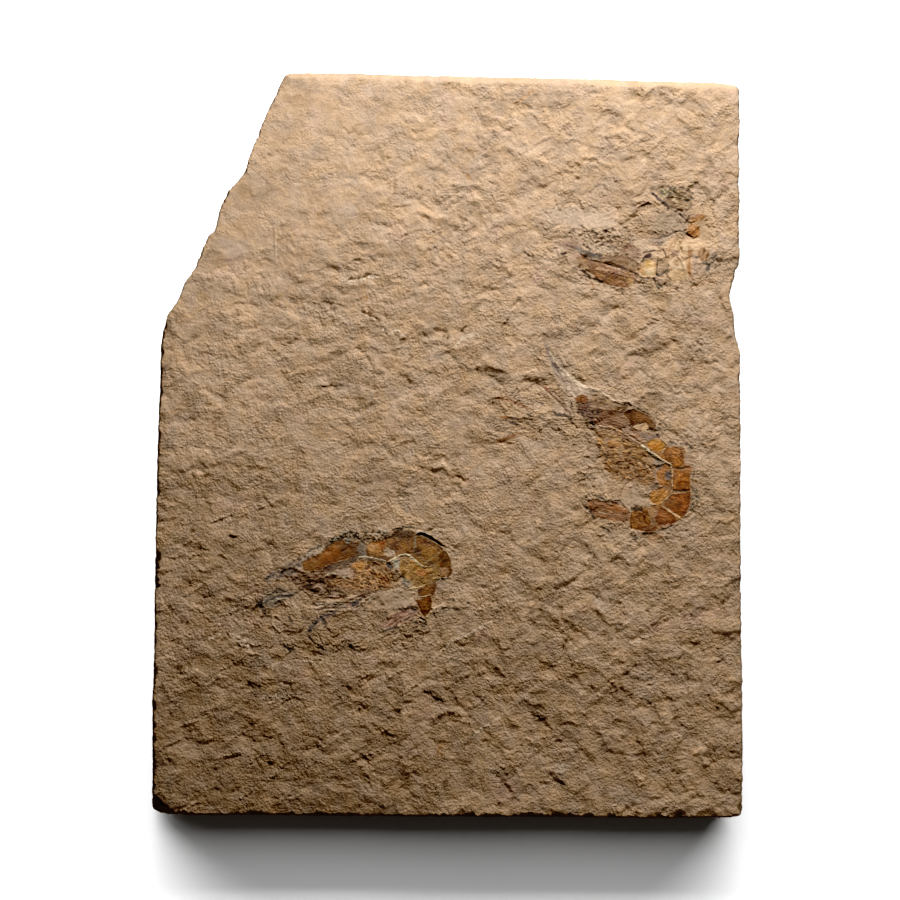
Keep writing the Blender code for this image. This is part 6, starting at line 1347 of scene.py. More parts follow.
    f.line([(657.8, 259), (657, 266), (656.4, 274)], 1.1, t(104, 78, 52), 0.85, -0.05, 0.45, wob=0.2, taper=False, seed=438)
    f.line([(669, 265.6), (667.6, 268), (667.4, 271)], 1.9, t(74, 58, 46), 0.88, -0.07, 0.5, wob=0.4, seed=437)
    f.line([(656, 274.6), (660, 275), (664, 273.2), (667, 271.4)], 2.0, t(98, 88, 76), 0.85, -0.05, 0.6, wob=0.4, taper=False, seed=539)
    specks([(657, 274), (660.6, 274.8), (663.6, 272.8), (666, 270.6)], 1.3, t(66, 58, 50), 0.8, -0.05, 1.2, -0.4, seed=4)
    f.line([(636, 276.6), (640.6, 277.6), (647, 278.8), (653, 277.6)], 1.4, t(88, 66, 44), 0.88, -0.07, 0.5, wob=0.3, seed=440)
    f.line([(652.6, 277.6), (654.6, 279.6), (656.4, 282.8)], 1.9, t(68, 50, 36), 0.88, -0.07, 0.5, wob=0.3, seed=540)
    f.patch([(655.6, 285), (659, 283.6), (663, 285.6), (661, 288.6), (656.6, 288.4)], t(130, 112, 85), 0.85, 1.0, 0.8, seed=541)
    specks([(656, 286), (658.6, 287.8), (660, 285.4)], 1.7, t(72, 62, 48), 0.8, -0.06, 1.2, 0.5, seed=5)
    specks([(665, 284.6), (669, 284), (673, 286.4), (676, 288)], 2.2, t(104, 84, 62), 0.8, -0.06, 2.2, 0.8, seed=6)

    # broad cream and tan shell behind it
    f.patch([(668, 242), (676, 236), (688, 237), (697, 238), (706, 242), (709, 249), (704, 256), (699, 262), (693, 268), (691, 278),
             (684, 281), (674, 280), (669, 275), (670, 266), (667, 256), (666, 249)], t(236, 195, 151), 0.80, 1.8, 1.1,
            calm=0.7, gloss=0.2, seed=441)
    f.streaks([(668, 240), (686, 238), (690, 256), (688, 280), (672, 280), (668, 258)], 78, 3.0, 14, 0.03, t(207, 162, 117), t(250, 218, 173),
              0.6, 1.4, 0.8, seed=442)
    f.patch([(670, 270), (678, 269.6), (686, 271.4), (689, 277), (680, 281), (671, 278.4)], t(216, 177, 130), 0.75, 1.4, 0.7, calm=0.7, seed=542)
    f.line([(670, 267), (676, 268), (682, 268.8), (687, 270.4)], 1.9, t(240, 206, 168), 0.85, 0.05, 0.7, wob=0.3, seed=543)
    f.patch([(671, 250), (676, 248.6), (680, 252), (677, 257), (671.6, 256)], t(186, 150, 124), 0.75, 1.3, 0.8, seed=544)
    f.line([(675, 238), (671, 243.6), (669.6, 250), (668.6, 257), (669, 263)], 1.5, t(198, 144, 94), 0.75, 0.03, 0.6, wob=0.4, seed=545)
    f.line([(678.6, 238), (675.6, 242), (674, 246)], 1.4, t(190, 140, 94), 0.7, -0.03, 0.6, wob=0.3, seed=546)
    f.line([(680, 240), (679.6, 246), (683, 251), (689, 252.4), (694, 251)], 1.6, t(160, 124, 84), 0.75, -0.04, 0.6, wob=0.4, seed=547)
    f.line([(684, 241), (690, 243), (697, 243.6)], 1.3, t(178, 142, 104), 0.6, -0.03, 0.6, wob=0.3, seed=548)
    f.patch([(688, 250.6), (692, 250), (693.6, 254), (691.6, 257.6), (688.4, 256)], t(151, 109, 60), 0.85, 0.9, 0.5, gloss=0.4, seed=467, calm=0.7)
    f.patch([(687, 263), (690.6, 262), (692.6, 266), (691.6, 272), (690, 276), (687, 271)], t(200, 146, 94), 0.85, 1.0, 0.6, gloss=0.4, seed=549, calm=0.7)
    f.line([(688.4, 272), (690, 276), (693.6, 280.4)], 1.9, t(124, 80, 54), 0.82, -0.05, 0.6, wob=0.3, seed=469)
    f.patch([(691, 255), (695, 254), (698, 260), (698, 268), (696, 275), (692.6, 276.6), (692.6, 266)], t(193, 161, 136), 0.8, 1.2, 0.7, gloss=0.2, seed=468, calm=0.55)
    f.patch([(697, 266), (706, 266), (708, 271), (702, 274), (697, 272)], t(200, 172, 142), 0.55, 1.6, 1.0, calm=0.4, seed=550)
    f.line([(694, 264.6), (701, 263.8), (708.6, 264.2)], 1.5, t(84, 64, 46), 0.85, -0.06, 0.5, wob=0.3, seed=466)
    f.line([(699, 280.4), (707, 280), (715, 278.8)], 1.6, t(184, 134, 100), 0.65, 0.0, 0.7, wob=0.4, seed=551)

    # fan of brown lines at its right, and the dark lumps beyond
    f.patch([(698, 250), (702, 247), (708, 249), (709.6, 255), (706, 261), (701, 261), (698.6, 256)], t(184, 138, 90), 0.8, 1.1, 0.7, gloss=0.3, calm=0.4, seed=552)
    f.line([(704.4, 247.6), (703.8, 251), (703, 254.6)], 2.2, t(104, 70, 36), 0.9, -0.08, 0.5, wob=0.3, seed=553)
    f.line([(708.8, 252.6), (707.4, 256), (706, 259)], 2.4, t(124, 76, 32), 0.9, -0.06, 0.5, wob=0.3, seed=554)
    f.line([(699, 253), (700, 257), (702.4, 260.4)], 1.5, t(122, 86, 54), 0.8, -0.06, 0.5, wob=0.3, seed=555)
    f.line([(702.6, 256), (703.4, 260)], 1.4, t(138, 92, 52), 0.75, -0.04, 0.5, seed=556)
    specks([(706, 262.4), (708.6, 264), (708, 267), (706.4, 269)], 2.6, t(88, 78, 66), 0.85, -0.07, 1.2, 0.6, seed=7)
    specks([(711.6, 257.6), (714, 256), (716, 259), (697, 257)], 2.2, t(96, 86, 72), 0.85, -0.06, 1.4, -0.5, seed=8)
    specks([(711, 267.6), (723, 253.6), (713, 262)], 1.6, t(120, 100, 80), 0.7, -0.05, 1.6, -0.4, seed=9)

    # crust above: mauve streak, dark specks, a brown middle and a tan foot
    f.patch([(649, 189), (650.6, 185), (655, 183.6), (660, 186), (662, 190.6), (656, 192), (650, 191.4)], t(190, 158, 127), 0.85, 1.2, 0.9, calm=0.6, seed=557)
    f.patch([(658, 191), (664, 188), (671, 187), (679, 188.6), (687, 190), (693, 193), (693, 200), (692, 208), (684, 210), (673, 208.6),
             (665, 204), (659, 198)], t(181, 149, 114), 0.90, 1.2, 0.9, calm=0.45, gloss=0.15, lift=0.02, seed=445)
    f.patch([(660, 190), (668, 187.6), (676, 188.4), (677, 193), (670, 196.6), (663, 195)], t(192, 168, 133), 0.85, 1.3, 0.9, seed=446)
    f.patch([(667, 198.6), (673, 196), (680, 196.6), (683, 200.6), (676, 203), (669, 202.4)], t(152, 115, 81), 0.85, 1.1, 0.8, seed=447)
    f.patch([(672, 202), (680, 201), (688, 203.6), (690, 209), (680, 209), (673, 206)], t(169, 133, 99), 0.8, 1.2, 0.8, seed=558)
    f.patch([(680, 190), (686, 190), (690, 193.6), (687, 197), (681, 195)], t(238, 203, 168), 0.85, 1.0, 0.7, lift=0.04, seed=559)
    f.patch([(683, 203), (687.6, 202.6), (688.4, 206.6), (684, 208.6)], t(222, 181, 143), 0.75, 1.0, 0.7, lift=0.03, seed=560)
    f.streaks([(660, 189), (676, 188), (692, 194), (691, 208), (674, 208), (660, 197)], 14, 2.0, 7, 0.035, t(130, 103, 75), t(250, 223, 177),
              0.6, 1.0, 0.6, seed=448)
    f.line([(650, 192), (655, 195.6), (660, 199.6), (665, 203), (668.6, 206)], 3.0, t(128, 108, 104), 0.88, 0.0, 0.6, wob=0.35, seed=450)
    f.line([(651.6, 192.6), (655, 195), (658.4, 198)], 1.7, t(66, 54, 56), 0.9, -0.06, 0.5, wob=0.3, seed=451)
    f.line([(655, 191.4), (661, 196), (667, 200.6)], 1.1, t(204, 176, 152), 0.7, 0.05, 0.5, wob=0.3, seed=561)
    specks([(661, 191.6), (664, 194), (666, 190.4), (670.6, 188), (673.6, 188.6), (669, 192.6), (675, 192), (662.6, 193.6), (672, 190.6),
            (667, 195.4)], 1.5, t(84, 76, 64), 0.8, -0.05, 1.5, 0.5, seed=10)
    specks([(689, 190.6), (691.6, 192.6), (690, 195.6), (692, 197.6), (690.6, 204), (691.4, 207.6), (688.6, 199.4)], 1.4, t(88, 80, 70), 0.8,
           -0.05, 1.2, 0.6, seed=11)
    f.line([(680, 197.6), (685, 199.6), (691.6, 200.6)], 1.6, t(54, 42, 32), 0.9, -0.06, 0.5, wob=0.3, seed=449)
    f.line([(666, 198), (671, 197.2), (676, 197.6)], 1.2, t(96, 70, 50), 0.8, -0.05, 0.5, wob=0.3, seed=562)
    f.line([(662, 201.6), (666, 205), (671.6, 209), (677, 212), (682, 215), (686, 218.6), (688.6, 221.6)], 1.4, t(88, 70, 54), 0.85, -0.06,
           0.5, wob=0.4, taper=False, seed=452)
    specks([(663, 203), (665.6, 206), (675, 210.6), (681.4, 214.6), (682.6, 216.6), (687, 220.8), (668.6, 207.6)], 2.1, t(64, 54, 44), 0.85,
           -0.06, 1.1, 0.6, seed=12)
    specks([(642, 206), (644.6, 204.8), (646.6, 203.6), (649, 203.8)], 2.2, t(84, 66, 50), 0.85, -0.07, 1.6, -0.5, seed=13)
    specks([(653, 211.6), (656.4, 210.6), (658.4, 212.4), (651, 188.4)], 2.0, t(110, 88, 66), 0.75, -0.06, 1.6, 0.5, seed=14)
    specks([(682, 187), (687, 187.6), (696, 182.6)], 2.0, t(122, 98, 74), 0.75, -0.06, 2.2, 0.4, seed=15)
    # smooth greyish stone between crust and branch
    f.patch([(657, 216), (664, 211.6), (673, 211), (681, 217), (687, 224), (686, 230), (676, 231), (664, 233), (657, 229), (655, 222)],
            t(169, 145, 117), 0.75, 2.0, 1.2, calm=0.65, seed=455)
    f.streaks([(658, 216), (680, 216), (686, 229), (664, 232)], 32, 2.4, 9, 0.03, t(168, 140, 112), t(214, 186, 156), 0.5, 1.6, 0.9, seed=456)

    # amber plates at the right, on smooth tan stone
    f.patch([(689, 210), (698, 207), (708, 210), (714, 218), (712, 232), (706, 241), (696, 241), (690, 238), (694, 226)], t(222, 184, 142), 0.45,
            2.0, 1.2, calm=0.6, seed=566)
    f.patch([(689, 214), (693, 212), (698, 213.6), (694, 217.6), (689.6, 219)], t(200, 164, 138), 0.85, 1.0, 0.6, calm=0.7, gloss=0.3, seed=563)
    f.patch([(690.6, 218), (696, 214.6), (703, 213.6), (707.6, 215.6), (704, 219), (698, 221.6), (691.6, 221.6)], t(208, 153, 96), 0.95, 0.8, 0.4,
            lift=0.04, calm=0.93, gloss=0.75, seed=457, dome=0.04)
    f.line([(692.6, 219), (697.6, 216), (703, 214.8), (706.6, 216)], 2.2, t(170, 116, 64), 0.85, 0.0, 0.6, wob=0.3, gloss=0.7, seed=564)
    f.line([(686.6, 221), (690, 223), (697, 222.4), (703, 220.6)], 1.3, t(116, 82, 52), 0.85, -0.06, 0.5, wob=0.3, seed=565)
    f.line([(690, 224), (697, 223.6), (704, 221.6)], 1.1, t(222, 186, 148), 0.75, 0.05, 0.5, wob=0.2, seed=462)
    f.patch([(688, 225), (694, 224), (699, 226), (701, 231), (699, 236), (694, 237.4), (690, 235.4), (687.6, 230.6)], t(225, 161, 104), 0.95, 0.8, 0.4,
            lift=0.04, calm=0.93, gloss=0.85, seed=458, dome=0.04)
    f.patch([(691.6, 229.6), (696, 229), (698, 232), (695.6, 235.6), (692, 234.4)], t(179, 114, 66), 0.85, 1.0, 0.5, gloss=0.85, seed=459)
    f.streaks([(689, 216), (706, 215), (700, 224), (700, 236), (690, 236)], 30, 2.2, 9, 0.02, t(168, 116, 69), t(247, 194, 136), 0.6, 0.9, 0.4, seed=460)
    f.line([(685.6, 231.6), (689, 235), (694, 237.6), (699, 236.6)], 1.8, t(104, 70, 44), 0.85, -0.06, 0.5, wob=0.2, seed=461)
    f.patch([(700, 219), (706, 218), (712, 224), (713, 233), (708, 240), (702, 239), (701, 230)], t(196, 160, 122), 0.72, 1.6, 1.0, calm=0.55, gloss=0.15, seed=566)
    f.line([(707.6, 216), (711.6, 222), (713, 229)], 1.2, t(162, 128, 94), 0.6, -0.03, 0.6, wob=0.4, seed=463)
    # dark branch with its pale underside
    f.line([(658, 238.6), (663, 236.6), (668, 235.6), (671.6, 234.4), (675, 231.8), (679.6, 230.6), (684, 232), (687, 234.6)], 1.9,
           t(98, 78, 60), 0.88, -0.06, 0.5, wob=0.35, taper=False, seed=464)
    f.line([(661, 240.6), (668, 238), (673, 235.6), (680, 233.4), (685, 235)], 1.3, t(222, 194, 162), 0.75, 0.06, 0.5, wob=0.3, seed=465)
    specks([(656, 232.6), (661, 235.6), (659, 243)], 1.6, t(120, 100, 86), 0.75, -0.05, 1.8, -0.5, seed=16)
    # ragged film round the fan of the tail, and dark crumbs at its edges
    f.patch([(652, 187), (660, 184.6), (668, 186), (664, 190), (656, 191), (651, 190)], t(150, 124, 100), 0.55, 1.4, 1.0, seed=570)
    f.line([(659, 188), (666, 186), (674, 186.4), (682, 188), (690, 190.4)], 1.3, t(104, 84, 64), 0.75, -0.05, 0.6, wob=0.6, taper=False, seed=571)
    f.line([(670, 205.6), (677, 208.6), (685, 210.4), (692, 209)], 1.3, t(112, 86, 62), 0.75, -0.05, 0.6, wob=0.5, seed=572)
    f.line([(664, 196), (672, 201), (681, 204.4), (690, 206)], 1.2, t(108, 82, 58), 0.7, -0.04, 0.6, wob=0.4, seed=573)
    f.line([(668, 191), (677, 195.4), (688, 197.6)], 1.2, t(120, 94, 68), 0.7, -0.04, 0.6, wob=0.4, seed=574)
    # streaks of the crushed shell
    f.line([(600, 262), (612, 263.4), (624, 266.6), (636, 271.6)], 1.1, t(120, 84, 54), 0.7, -0.03, 0.5, wob=0.25, seed=575)
    f.line([(592, 268), (602, 273), (614, 277.6), (628, 281.6)], 1.3, t(112, 70, 36), 0.75, -0.03, 0.5, wob=0.3, gloss=0.6, seed=576)
    f.line([(596, 272.6), (606, 278), (618, 283)], 1.2, t(206, 160, 112), 0.6, 0.04, 0.5, wob=0.3, gloss=0.6, seed=577)
    f.line([(664, 252), (668, 262), (669, 272)], 1.2, t(150, 116, 84), 0.65, -0.04, 0.6, wob=0.3, seed=578)
    f.line([(676, 256), (681, 262), (684, 270)], 1.2, t(160, 124, 88), 0.65, -0.04, 0.6, wob=0.3, seed=579)
    f.line([(689, 244), (690, 254), (689, 264), (690, 274), (694, 282)], 1.9, t(176, 118, 68), 0.72, -0.02, 0.7, wob=0.3, seed=580)


def draw_all(f):
    draw_stone(f)
    draw_lower_left(f)
    draw_right(f)
    draw_upper_right(f)


# --------------------------------------------------------------------- meshes
def densify(points, longest):
    out = []
    for (ax, ay), (bx, by) in zip(points, points[1:] + points[:1]):
        n = max(1, math.ceil(math.hypot(bx - ax, by - ay) / longest))
        out += [(ax + (bx - ax) * i / n, ay + (by - ay) * i / n) for i in range(n)]
    return np.array(out)


def normals_out(P):
    """Outward normals of a closed outline in drawing steps, smoothed a little."""
    d = np.roll(P, -1, axis=0) - np.roll(P, 1, axis=0)
    area = 0.5 * np.sum(P[:, 0] * np.roll(P[:, 1], -1) - np.roll(P[:, 0], -1) * P[:, 1])
    n = np.c_[d[:, 1], -d[:, 0]] * (1 if area > 0 else -1)
    n /= np.hypot(n[:, 0], n[:, 1])[:, None]
    for _ in range(2):
        n = 0.5 * n + 0.25 * (np.roll(n, 1, axis=0) + np.roll(n, -1, axis=0))
        n /= np.hypot(n[:, 0], n[:, 1])[:, None]
    return n


class Strokes:
    """Takes down where narrow marks run, so that the mesh can be finer there."""

    def __init__(self):
        self.lines = []

    def line(self, pts, w, *args, **more):
        self.lines.append(pts)

    def patch(self, *args, **more):
        pass


def follow(X, Y, ring, margin, lines):
    """Leaves out the points near the marks and puts rows of closer ones along them."""
    lo, hi = ring.min(axis=0), ring.max(axis=0)
    ok = np.ones(X.shape, bool)
    rows = []
    for pts in lines:
        P = np.asarray(pts, float)
        if (P.max(axis=0) < lo).any() or (P.min(axis=0) > hi).any():
            continue
        idx = near_box(X, Y, pts, 2.2)
        ok[idx[to_line(X[idx], Y[idx], pts)[0] < 2.1]] = False
        seg = np.diff(P, axis=0)
        s = np.r_[0, np.cumsum(np.hypot(seg[:, 0], seg[:, 1]))]
        u = np.linspace(0, s[-1], max(3, int(s[-1] / 0.85)))
        C = np.c_[np.interp(u, s, P[:, 0]), np.interp(u, s, P[:, 1])]
        T = np.gradient(C, axis=0)
        T /= np.maximum(np.hypot(T[:, 0], T[:, 1]), 1e-9)[:, None]
        for k, off in enumerate((-1.5, -0.75, 0.0, 0.75, 1.5)):
            rows.append(C + np.c_[-T[:, 1], T[:, 0]] * off + T * (0.2 * (k % 2)))
    if not rows:
        return X, Y
    R = np.vstack(rows)
    # rows of crossing marks may meet: keep one point of each close pair
    _, first = np.unique(np.round(R / 0.5).astype(int), axis=0, return_index=True)
    R = R[np.sort(first)]
    R = R[to_outline(R[:, 0], R[:, 1], ring) > margin]
    return np.r_[X[ok], R[:, 0]], np.r_[Y[ok], R[:, 1]]


def fill(ring, step, margin, jitter, seed, keep=None, marks=None):
    """Points inside a ring on a staggered grid, and the triangles over ring and points."""
    lo, hi = ring.min(axis=0), ring.max(axis=0)
    rows = np.arange(lo[1], hi[1], step * 0.866)
    cols = np.arange(lo[0], hi[0], step)
    X, Y = np.meshgrid(cols, rows)
    X = X + (np.arange(len(rows)) % 2)[:, None] * step / 2
    rng = np.random.default_rng(seed)
    X = (X + rng.uniform(-jitter, jitter, X.shape) * step).ravel()
    Y = (Y + rng.uniform(-jitter, jitter, Y.shape) * step).ravel()
    sd = to_outline(X, Y, ring)
    ok = sd > margin
    X, Y = X[ok], Y[ok]
    if keep is not None:
        ok = keep(X, Y)
        X, Y = X[ok], Y[ok]
    if marks is not None:
        X, Y = follow(X, Y, ring, margin, marks)
    pts = np.r_[ring, np.c_[X, Y]]
    # the triangulation wants an anticlockwise outline seen with y up
    verts, _, faces, _, _, _ = delaunay_2d_cdt(
        [Vector((p[0], -p[1])) for p in pts], [], [anticlockwise_order(ring)], 1, 1e-6)
    V = np.array([(v[0], -v[1]) for v in verts])
    return V, [tuple(t) for t in faces]


def anticlockwise_order(ring):
    P = np.c_[ring[:, 0], -ring[:, 1]]
    area = 0.5 * np.sum(P[:, 0] * np.roll(P[:, 1], -1) - np.roll(P[:, 0], -1) * P[:, 1])
    n = len(ring)
    return list(range(n)) if area > 0 else list(range(n - 1, -1, -1))


def orient(V, faces, up=True):
    """Turns triangles so that they face up (or down); V in drawing steps."""
    T = np.array(faces)
    A, B, C = V[T[:, 0]], V[T[:, 1]], V[T[:, 2]]
    s = (B[:, 0] - A[:, 0]) * (C[:, 1] - A[:, 1]) - (B[:, 1] - A[:, 1]) * (C[:, 0] - A[:, 0])
    flip = (s > 0) == up      # v points down, so a positive turn faces away
    T[flip] = T[flip][:, ::-1]
    return [tuple(t) for t in T.tolist()]


def mesh_object(name, co, faces, mat, attrs=None, smooth_shading=True):
    me = bpy.data.meshes.new(name)
    me.from_pydata([tuple(c) for c in co], [], faces)
    me.update()
    if attrs:
        for key, values in attrs.items():
            at = me.attributes.new(key, "FLOAT", "POINT")
            at.data.foreach_set("value", np.ascontiguousarray(values, dtype=np.float32))
    me.materials.append(mat)
    if smooth_shading:
        me.polygons.foreach_set("use_smooth", [True] * len(me.polygons))
    ob = bpy.data.objects.new(name, me)
    bpy.context.scene.collection.objects.link(ob)
    return ob


def top_attrs(face):
    return {"pr": face.rgb[:, 0], "pg": face.rgb[:, 1], "pb": face.rgb[:, 2],
            "pa": face.a, "gloss": face.gloss,
            "grain": grain_map(face.X, face.Y) * (1 - 0.85 * face.calm),
            "bruising_and_painted_light": face.bruising_and_painted_light * (1 - face.calm)}


def spread(attrs, n):
    """Extends the top's attributes with zeros for the points below it."""
    return {k: np.r_[v, np.zeros(n - len(v))] for k, v in attrs.items()}


# ------------------------------------------------------------------ materials
class Nodes:
    """Short names for building a node tree."""

    def __init__(self, name):
        self.mat = bpy.data.materials.new(name)
        self.mat.use_nodes = True
        self.t = self.mat.node_tree
        self.bsdf = self.t.nodes["Principled BSDF"]
        self.coords = self.t.nodes.new("ShaderNodeTexCoord").outputs["Object"]

    def put(self, socket, value):
        if isinstance(value, bpy.types.NodeSocket):
            self.t.links.new(value, socket)
        else:
            socket.default_value = value

    def attr(self, name):
        n = self.t.nodes.new("ShaderNodeAttribute")
        n.attribute_type = "GEOMETRY"
        n.attribute_name = name
        return n.outputs["Fac"]

    def noise(self, scale, detail=2.0, rough=0.5, distort=0.0, vector=None, stretch=None):
        v = vector or self.coords
        m = self.t.nodes.new("ShaderNodeMapping")
        if stretch:
            m.inputs["Scale"].default_value = stretch[:3]
            if len(stretch) > 3:
                m.inputs["Rotation"].default_value = (0, 0, stretch[3])
        else:
            # turned, so that the flat face never lies along the noise's own lattice
            m.inputs["Rotation"].default_value = (0.52, 0.66, 0.31)
        self.t.links.new(v, m.inputs["Vector"])
        v = m.outputs["Vector"]
        n = self.t.nodes.new("ShaderNodeTexNoise")
        self.t.links.new(v, n.inputs["Vector"])
        n.inputs["Scale"].default_value = scale
        n.inputs["Detail"].default_value = detail
        n.inputs["Roughness"].default_value = rough
        n.inputs["Distortion"].default_value = distort
        return n.outputs["Fac"]

    def grains(self, scale):
        """Small packed grains: high in the middle of each, low between them."""
        m = self.t.nodes.new("ShaderNodeMapping")
        m.inputs["Rotation"].default_value = (0.4, 0.7, 0.2)
        self.t.links.new(self.coords, m.inputs["Vector"])
        n = self.t.nodes.new("ShaderNodeTexVoronoi")
        n.feature = "SMOOTH_F1"
        self.t.links.new(m.outputs["Vector"], n.inputs["Vector"])
        n.inputs["Scale"].default_value = scale
        n.inputs["Smoothness"].default_value = 0.35
        return n.outputs["Distance"]

    def maths(self, op, a, b=0.0, c=None, clamp=False):
        n = self.t.nodes.new("ShaderNodeMath")
        n.operation = op
        n.use_clamp = clamp
        self.put(n.inputs[0], a)
        self.put(n.inputs[1], b)
        if c is not None:
            self.put(n.inputs[2], c)
        return n.outputs[0]

    def remap(self, v, a, b, c=0.0, d=1.0):
        n = self.t.nodes.new("ShaderNodeMapRange")
        n.clamp = True
        self.put(n.inputs["Value"], v)
        for key, val in (("From Min", a), ("From Max", b), ("To Min", c), ("To Max", d)):
            self.put(n.inputs[key], val)
        return n.outputs["Result"]

    def mix(self, fac, a, b, mode="MIX"):
        n = self.t.nodes.new("ShaderNodeMix")
        n.data_type = "RGBA"
        n.blend_type = mode
        n.clamp_result = False
        self.put(n.inputs[0], fac)
        self.put(n.inputs[6], a if isinstance(a, bpy.types.NodeSocket) else (*a, 1.0))
        self.put(n.inputs[7], b if isinstance(b, bpy.types.NodeSocket) else (*b, 1.0))
        return n.outputs[2]

    def scaled(self, colour, factor):
        """A colour times a number."""
        n = self.t.nodes.new("ShaderNodeVectorMath")
        n.operation = "SCALE"
        self.put(n.inputs[0], colour)
        self.put(n.inputs["Scale"], factor)
        return n.outputs[0]

    def rgb(self, r, g, b):
        n = self.t.nodes.new("ShaderNodeCombineColor")
        self.put(n.inputs[0], r)
        self.put(n.inputs[1], g)
        self.put(n.inputs[2], b)
        return n.outputs[0]

    def bump(self, height, distance, normal=None):
        n = self.t.nodes.new("ShaderNodeBump")
        n.inputs["Strength"].default_value = 1.0
        n.inputs["Distance"].default_value = distance
        self.t.links.new(height, n.inputs["Height"])
        if normal:
            self.t.links.new(normal, n.inputs["Normal"])
        return n.outputs["Normal"]


STONE = (0.585, 0.421, 0.292)


def stone_colour(k):
    """Base colour of the limestone: large pale and dull areas, small pinkish, grey
    and yellowish ones, and a sugary grain."""
    large = k.noise(26, 3, 0.55)
    patch = k.noise(150, 4, 0.6, 0.6)
    tint = k.noise(210, 3, 0.6, 0.4, stretch=(1, 1, 1, 0.7))
    grain = k.noise(2300, 2.5, 0.65)
    middle = k.noise(430, 3, 0.6)
    c = k.mix(k.remap(tint, 0.36, 0.64), (0.606, 0.414, 0.262), (0.582, 0.424, 0.300))
    pink = k.remap(k.noise(120, 3, 0.6, 0.5, stretch=(1, 1, 1, 2.1)), 0.60, 0.72)
    c = k.mix(k.maths("MULTIPLY", pink, 0.55), c, (0.640, 0.430, 0.318))
    grey = k.remap(k.noise(95, 4, 0.65, 0.8, stretch=(1, 1, 1, 4.0)), 0.60, 0.70)
    c = k.mix(k.maths("MULTIPLY", grey, 0.55), c, (0.500, 0.388, 0.300))
    f = k.maths("ADD", k.remap(large, 0.3, 0.7, 0.95, 1.05), k.remap(patch, 0.25, 0.75, -0.08, 0.08))
    f = k.maths("ADD", f, k.remap(grain, 0.2, 0.8, -0.17, 0.17))
    f = k.maths("ADD", f, k.remap(middle, 0.2, 0.8, -0.12, 0.12))
    # crests paler as bruised stone and painted highlight; hollows, the lower half and the lower left duller with
    # painted shade
    bruising_and_painted_light = k.maths("ADD", 1.0, k.maths("MULTIPLY", k.attr("bruising_and_painted_light"), 0.32))
    f = k.maths("MULTIPLY", f, k.maths("MINIMUM", k.maths("MAXIMUM", bruising_and_painted_light, 0.62), 1.5))
    return k.scaled(c, f)


def stone_material(name, film=True):
    k = Nodes(name)
    c = stone_colour(k)
    side = k.attr("side")
    # beds seen on the sides: thin dull and pale bands
    beds = k.noise(1.0, 5, 0.6, 0.0, stretch=(14, 14, 620))
    fine_beds = k.noise(1.0, 3, 0.6, 0.0, stretch=(40, 40, 2100))
    band = k.maths("ADD", k.remap(beds, 0.3, 0.7, 0.80, 1.12), k.remap(fine_beds, 0.3, 0.7, -0.08, 0.08))
    band = k.maths("ADD", 1.0, k.maths("MULTIPLY", side, k.maths("SUBTRACT", band, 1.0)))
    c = k.scaled(c, band)
    if film:
        pa = k.attr("pa")
        grain = k.noise(1500, 2.5, 0.65)
        vary = k.remap(grain, 0.2, 0.8, 0.86, 1.14)
        paint = k.scaled(k.rgb(k.attr("pr"), k.attr("pg"), k.attr("pb")), vary)
        add = k.t.nodes.new("ShaderNodeVectorMath")
        add.operation = "ADD"
        k.put(add.inputs[0], k.scaled(c, k.maths("SUBTRACT", 1.0, pa, clamp=True)))
        k.put(add.inputs[1], paint)
        c = add.outputs[0]
    k.put(k.bsdf.inputs["Base Color"], c)
    gloss = k.attr("gloss") if film else None
    rough = k.remap(k.noise(700, 3, 0.6), 0.3, 0.7, 0.82, 0.96)
    if film:
        rough = k.maths("SUBTRACT", rough, k.maths("MULTIPLY", gloss, 0.45))
    k.put(k.bsdf.inputs["Roughness"], rough)
    k.bsdf.inputs["Specular IOR Level"].default_value = 0.35
    small = k.noise(1850, 3, 0.72)
    lumps = k.noise(720, 2, 0.55)
    h = k.maths("ADD", k.maths("MULTIPLY", small, 0.90), k.maths("MULTIPLY", lumps, 0.45))
    h = k.maths("SUBTRACT", h, k.maths("MULTIPLY", k.grains(1600), 0.40))
    h = k.maths("MULTIPLY", h, k.attr("grain"))
    if film:
        h = k.maths("MULTIPLY", h, k.maths("SUBTRACT", 1.0, k.maths("MULTIPLY", gloss, 0.8)))
    k.put(k.bsdf.inputs["Normal"], k.bump(h, 0.00028))
    return k.mat


